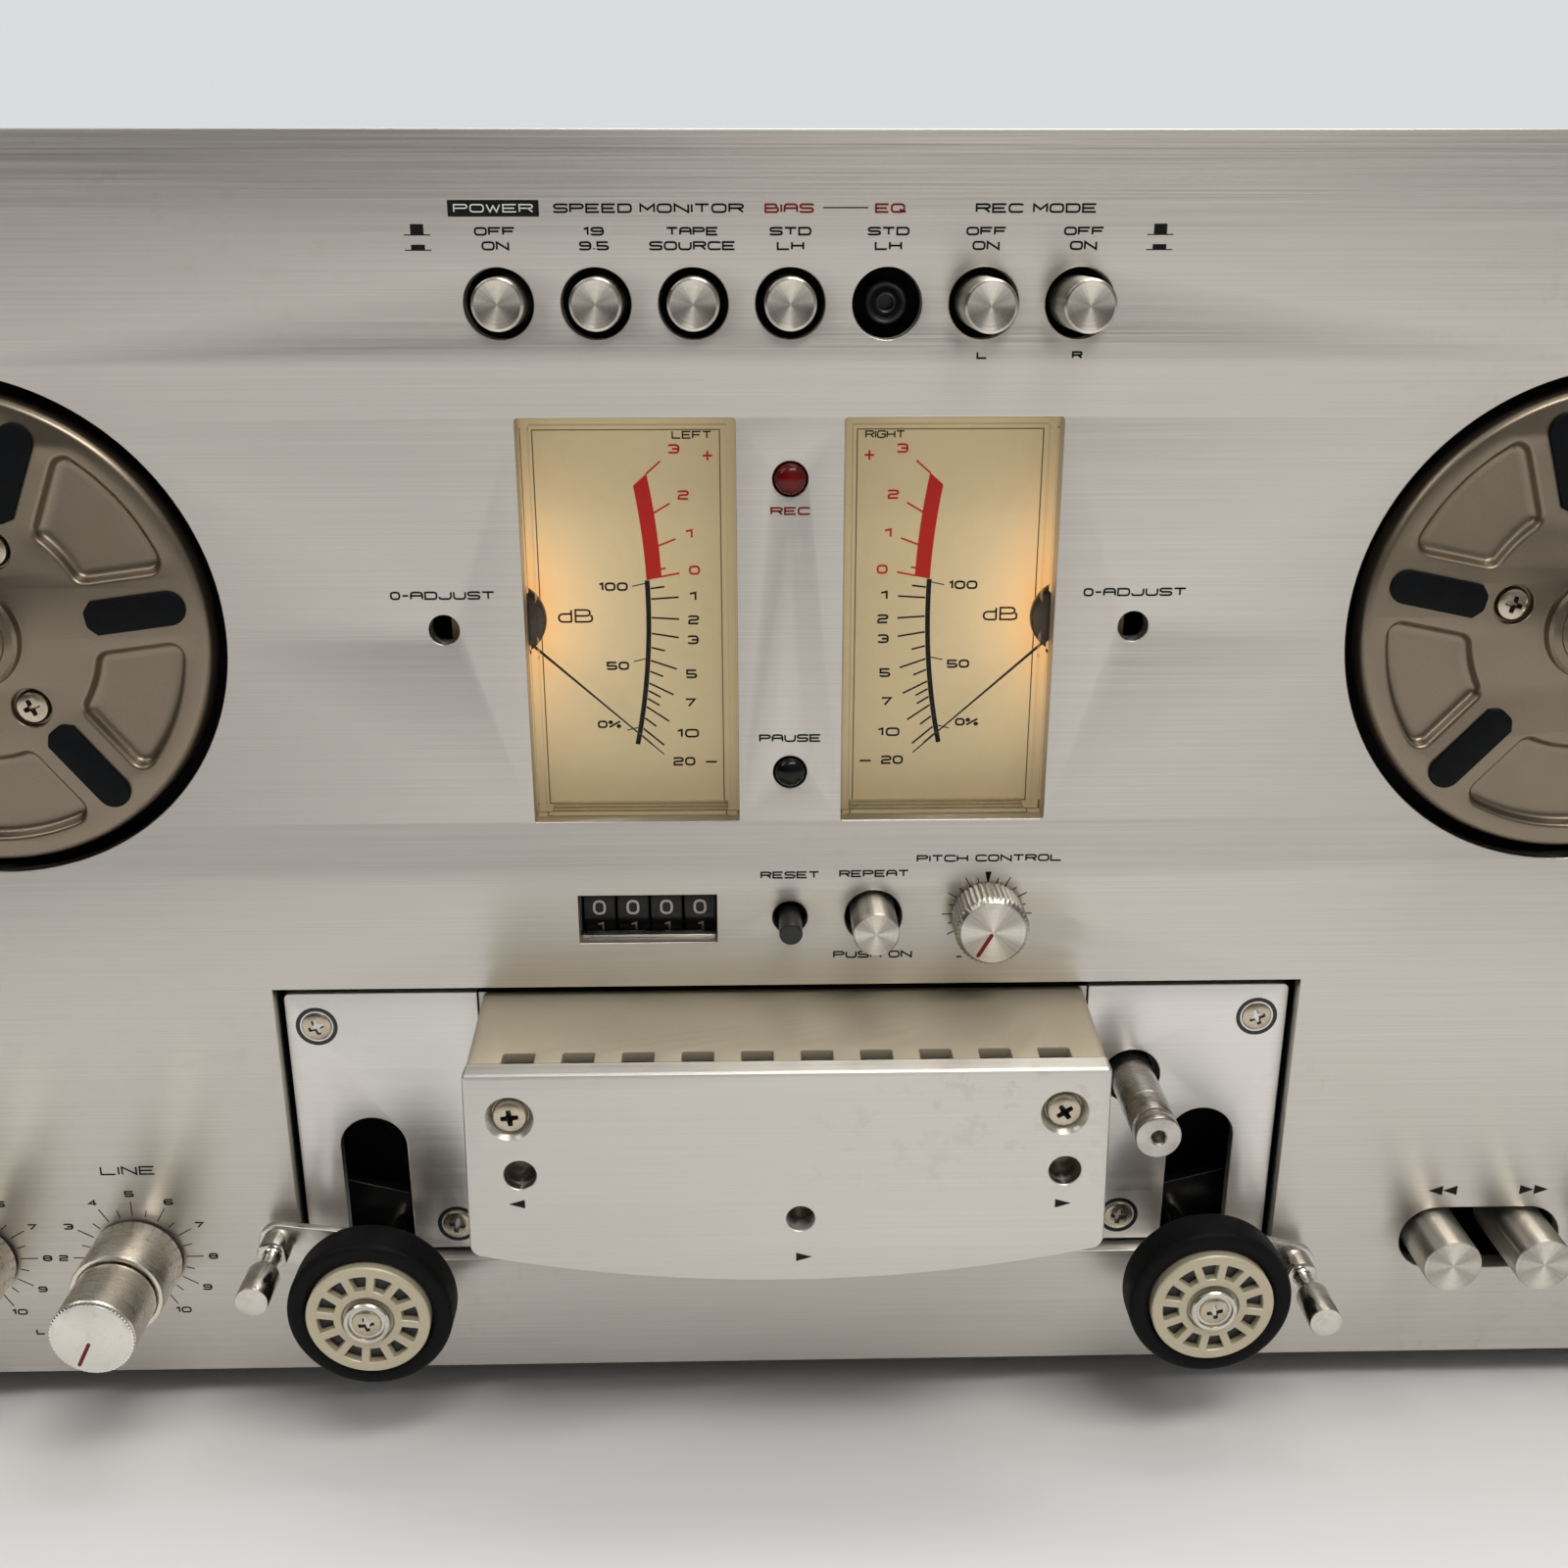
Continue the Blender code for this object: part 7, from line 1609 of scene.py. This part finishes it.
def make_spindle(side, node, x, y, base):
    shape = bmesh.new()
    add_lathe(shape, [(0, 22.9 * MM), (1.9 * MM, 22.9 * MM), (1.9 * MM, 17 * MM), (3.6 * MM, 17 * MM),
                      (3.95 * MM, 16.7 * MM), (3.95 * MM, base), (0, base)])
    add_ribs(shape, 2 * MM, base + 0.3 * MM, 16.8 * MM)
    put(side + "_spindle", new_mesh(shape, "spindle"), CHROME, x, y, body=node)
    cap = side + "_reel_lock_cap"
    low, high = extent(cap)
    top = high.z
    shape = bmesh.new()
    crown = sized([(0, 0), (1.2, -0.05), (2.6, -0.4), (3.6, -1.1), (3.95, -1.8)], top)
    add_lathe(shape, crown + sized([(3.95, 0.3), (3.65, 0), (2.3, 0), (2.3, 6), (0, 6)], low.z))
    add_ribs(shape, 2.6 * MM, low.z + 0.2 * MM, top - 1.7 * MM)
    put(side + "_lock_cap", new_mesh(shape, "cap"), BLACK, x, y, body=cap, replaces=[cap])


# Jacks

def make_jacks():
    low, high = extent("jack_block")
    shape = bmesh.new()
    face = -4.3 * MM
    add_box(shape, low.x, low.y, low.z, high.x, high.y, face, 0.4 * MM)
    body = put("jack_body", new_mesh(shape, "jack"), BLACK, replaces=["jack_block"])
    bores = bmesh.new()
    for x in JACKS:
        add_lathe(bores, [(0, face + 1 * MM), (3.2 * MM, face + 1 * MM), (3.2 * MM, face - 14 * MM),
                          (0, face - 14 * MM)], SMALL, x, JACK_HEIGHT)
    cut(body, bores)
    for index, x in enumerate(JACKS):
        collar = sized([(3.25, 1.2), (3.5, 1.55), (3.9, 1.6), (4.25, 1.45), (4.4, 1.1)])
        base = face + 0.1 * MM
        nut = lathe([(3.25 * MM, base), *collar, (4.4 * MM, base)], ROUND, True)
        put(f"jack_collar_{index + 1}", nut, BRIGHT, x, JACK_HEIGHT)


# Case

def make_cover():
    """A folded cover with round folds and slotted vents."""
    low, high = extent("top_cover")
    sheet = 1.2 * MM

    def section(shrink):
        half = high.x - shrink
        path = [(-half, low.y), (-half, high.y - shrink), (half, high.y - shrink), (half, low.y)]
        return soften(path, 3 * MM - shrink, 6, False)

    loop = section(0) + section(sheet)[::-1]
    shape = bmesh.new()
    add_rings(shape, [[(x, y, low.z) for x, y in loop], [(x, y, high.z) for x, y in loop]])
    cover = put("case_cover", new_mesh(shape, "cover"), CASE_PAINT, replaces=["top_cover"])
    vents = bmesh.new()
    upright = Matrix.Translation((0, high.y + 2 * MM, 0)) @ Matrix.Rotation(QUARTER, 4, "X")
    for side in (-1, 1):
        for index in range(9):
            x = side * 120 * MM + (index - 4) * 15 * MM
            slot = [(a, -b) for a, b in turned(pill(-249.3 * MM, -154.3 * MM, 0, 2.25 * MM, 8), QUARTER)]
            add_plate(vents, [moved(slot, x, 0)], 0, 8 * MM, 0, upright)
    cut(cover, vents)
    bevel(cover, 0.2 * MM)


def make_pan():
    low, high = extent("bottom_pan")
    half = 236.5 * MM
    sheet = 1.2 * MM
    front = -4.3 * MM
    back = -322.3 * MM
    top = high.y
    outer = [(front, 11 * MM), (front, 1 * MM), (back, 1 * MM), (back, top)]
    outer = soften(outer, 1.6 * MM, 4, False)
    inner = [(back + sheet, top), (back + sheet, 2.2 * MM), (front - sheet, 2.2 * MM), (front - sheet, 11 * MM)]
    inner = soften(inner, 0.5 * MM, 4, False)
    loop = outer + inner
    shape = bmesh.new()
    add_rings(shape, [[(-half, y, z) for z, y in loop], [(half, y, z) for z, y in loop]])
    put("case_pan", new_mesh(shape, "pan"), CASE_PAINT, replaces=["bottom_pan"])
    foot = lathe(sized([(0, 1.2), (12, 1.2), (12, 0), (11.2, -7.2), (10.4, -8), (6, -8), (5.5, -6.5), (0, -6.5)]))
    foot.transform(Matrix.Rotation(-QUARTER, 4, "X"))
    for index, (x, z) in enumerate(((-204.5, -36.3), (204.5, -36.3), (-204.5, -290.3), (204.5, -290.3))):
        put(f"foot_{index + 1}", foot.copy(), RUBBER, x * MM, 0, z=z * MM)
    make_rear(back)


# Profiles of the fittings on the rear wall, in millimetres from its face
SOCKET_SHELL = ((0, -1.5), (1.7, -1.5), (1.7, -7.9), (3.7, -7.9), (4.2, -7.6), (4.2, -1.5), (5.9, -1.5), (6.2, -1.2),
                (6.2, 0), (0, 0))
SOCKET_RING = ((1.75, -7.9), (2.0, -8), (3.1, -8), (3.2, -7.9), (3.2, -7.5), (1.75, -7.5))
GLAND = ((0, -1.5), (4, -1.5), (4, -5.6), (4.6, -6), (7, -6), (8, -5), (8, -1.5), (9.2, -1.5), (9.5, -1.2), (9.5, 0),
         (0, 0))


def make_rear(wall):
    """Sockets, cord gland and screws on the rear wall."""
    for column in range(2):
        for row in range(2):
            x, y = (-170 + 22 * column) * MM, (62 + 22 * row) * MM
            shell = lathe(sized(SOCKET_SHELL), SMALL)
            put(f"socket_{column + 1}_{row + 1}", shell, BRIGHT, x, y, z=wall)
            ring = lathe(sized(SOCKET_RING), SMALL, True)
            # The red rings use the scale's red ink and so carry its painted lamp glow.
            look = INK_SCALE_RED if column else INK_WHITE
            put(f"socket_ring_{column + 1}_{row + 1}", ring, look, x, y, z=wall)
    put("cord_gland", lathe(sized(GLAND), SMALL), BLACK, 190 * MM, 40 * MM, z=wall)
    places = [(x, y) for x in (-226, -75, 75, 226) for y in (12, 208)]
    for index, (x, y) in enumerate(places):
        mesh = screw_mesh(3.2 * MM, 1.6 * MM, ZINC)
        mesh.transform(Matrix.Rotation(math.pi, 4, "Y"))
        put(f"rear_screw_{index + 1}", mesh, ZINC, x * MM, y * MM, z=wall + 0.02 * MM)


def dress_inside():
    """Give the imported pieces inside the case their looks; their shapes stay."""
    # The mechanism plate takes the near-black painted shade look.
    looks = {"mechanism_plate": INSIDE_PAINTED_SHADE, "head_assembly": ZINC, "power_transformer": ZINC,
             "capstan_motor": ZINC, "left_reel_motor": ZINC, "right_reel_motor": ZINC}
    for node, look in looks.items():
        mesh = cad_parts[node].data
        mesh.materials.clear()
        mesh.materials.append(look)


# Floor, backdrop, light and camera

FLOOR_SIZE = 12
FLOOR_TONES = ((0.765, 0.765, 0.775), (0.815, 0.81, 0.805))
PALE_ROOM = (0.70, 0.715, 0.72)
DIM_ROOM_LEFT = (0.055, 0.048, 0.040)
DIM_ROOM_RIGHT = (0.27, 0.262, 0.25)


class Room:
    """The world: pale behind, above and below the part, and dim in front of it, most of all to the left."""

    def __init__(self):
        world = bpy.data.worlds.new("studio")
        bpy.context.scene.world = world
        world.use_nodes = True
        self.nodes, self.links = world.node_tree.nodes, world.node_tree.links
        coords = self.nodes.new("ShaderNodeTexCoord")
        split = self.nodes.new("ShaderNodeSeparateXYZ")
        self.links.new(coords.outputs["Generated"], split.inputs[0])
        self.axes = split.outputs

    def ramp(self, axis, low, high):
        made = self.nodes.new("ShaderNodeMapRange")
        for socket, value in (("From Min", low), ("From Max", high), ("To Min", 0.0), ("To Max", 1.0)):
            made.inputs[socket].default_value = value
        self.links.new(self.axes[axis], made.inputs["Value"])
        return made.outputs["Result"]

    def most(self, a, b):
        made = self.nodes.new("ShaderNodeMath")
        made.operation = "MAXIMUM"
        self.links.new(a, made.inputs[0])
        self.links.new(b, made.inputs[1])
        return made.outputs[0]

    def mix(self, share, a, b):
        made = self.nodes.new("ShaderNodeMix")
        made.data_type = "RGBA"
        self.links.new(share, made.inputs[0])
        for socket, value in zip([s for s in made.inputs if s.type == "RGBA"], (a, b)):
            if isinstance(value, tuple):
                socket.default_value = (*value, 1)
            else:
                self.links.new(value, socket)
        return next(s for s in made.outputs if s.type == "RGBA")


def make_stage():
    bpy.ops.mesh.primitive_plane_add(size=FLOOR_SIZE)
    floor = bpy.context.object
    floor.name = "floor"
    look = Look("pale_floor", FLOOR_TONES[1], 0.42)
    cloud = look.noise(look.place((0.004, 0.004, 0.004)), 1.0, 3.0, 0.5)
    look.feed("Base Color", look.mix(look.stretch(cloud, 0.3, 0.7, 0, 1), *FLOOR_TONES))
    look.feed("Roughness", look.stretch(cloud, 0.3, 0.7, 0.32, 0.5))
    floor.data.materials.append(look.material)
    room = Room()
    pale = room.most(room.ramp(1, -0.1, 0.45), room.ramp(2, 0.45, 0.85))
    pale = room.most(pale, room.ramp(2, -0.1, -0.35))
    dim = room.mix(room.ramp(0, -0.55, 0.45), DIM_ROOM_LEFT, DIM_ROOM_RIGHT)
    room.links.new(room.mix(pale, dim, PALE_ROOM), room.nodes["Background"].inputs["Color"])
    room.nodes["Background"].inputs["Strength"].default_value = 1.0


def area_light(name, place, aim, size, power, colour):
    data = bpy.data.lights.new(name, "AREA")
    data.shape = "RECTANGLE"
    data.size, data.size_y = size
    data.energy = power
    data.color = colour
    light = bpy.data.objects.new(name, data)
    bpy.context.scene.collection.objects.link(light)
    light.location = place
    light.rotation_euler = (Vector(aim) - Vector(place)).to_track_quat("-Z", "Y").to_euler()


# Each lamp: its name, place, aim, size, power and colour
LAMPS = (("key_light", (0.5, -1.1, 1.9), (0.1, -0.1, 0.05), (1.3, 0.35), 17, (1.0, 0.97, 0.92)),
         ("left_light", (-1.3, -0.7, 1.5), (0, -0.1, 0.05), (0.3, 1.0), 4, (1.0, 0.98, 0.95)),
         ("top_light", (0.1, 0.3, 2.0), (0, -0.1, 0), (1.4, 0.8), 22, (1.0, 0.99, 0.97)))
CAMERA_PLACE = (-0.0069, -0.41339, 0.21825)
CAMERA_YAW = 0.02238
CAMERA_PITCH = 0.33663
CAMERA_ROLL = -0.00047
CAMERA_LENS = 37.53
CAMERA_SENSOR = 36
CAMERA_NEAREST = 0.01

# Where the spokes and screws of the reel tables and the tension arms stand in the photo
REEL_ANGLES = {"left": (math.radians(7.5), math.radians(-54)), "right": (math.radians(-11.7), math.radians(46))}
ARM_ANGLES = {"left": math.radians(164.2), "right": math.radians(-6)}


def make_camera():
    data = bpy.data.cameras.new("photo_camera")
    data.lens = CAMERA_LENS
    data.sensor_width = CAMERA_SENSOR
    data.clip_start = CAMERA_NEAREST
    camera = bpy.data.objects.new("photo_camera", data)
    bpy.context.scene.collection.objects.link(camera)
    level = math.cos(CAMERA_PITCH)
    forward = Vector((math.sin(CAMERA_YAW) * level, math.cos(CAMERA_YAW) * level, -math.sin(CAMERA_PITCH)))
    right = Vector((math.cos(CAMERA_YAW), -math.sin(CAMERA_YAW), 0))
    up = right.cross(forward)
    tilted_right = right * math.cos(CAMERA_ROLL) + up * math.sin(CAMERA_ROLL)
    tilted_up = up * math.cos(CAMERA_ROLL) - right * math.sin(CAMERA_ROLL)
    basis = Matrix((tilted_right, tilted_up, -forward)).transposed()
    camera.matrix_world = Matrix.Translation(CAMERA_PLACE) @ basis.to_4x4()
    bpy.context.scene.camera = camera
    bpy.context.scene.view_settings.view_transform = "Standard"


make_panel()
make_legends()
make_buttons()
make_pitch_knob()
for word in ("line", "mic"):
    make_level_knobs(word)
for side in ("left", "right"):
    make_meter(side)
make_lamps()
make_counter()
for side in ("left", "right"):
    make_deck_plate(side)
make_head_housing()
make_front_plate()
make_capstan()
for side in ("left", "right"):
    make_roller(side)
for side in ("left", "right"):
    make_tension_arm(side, ARM_ANGLES[side])
for side in ("left", "right"):
    make_reel_table(side, *REEL_ANGLES[side])
make_jacks()
make_cover()
make_pan()
dress_inside()
make_stage()
for lamp in LAMPS:
    area_light(*lamp)
make_camera()
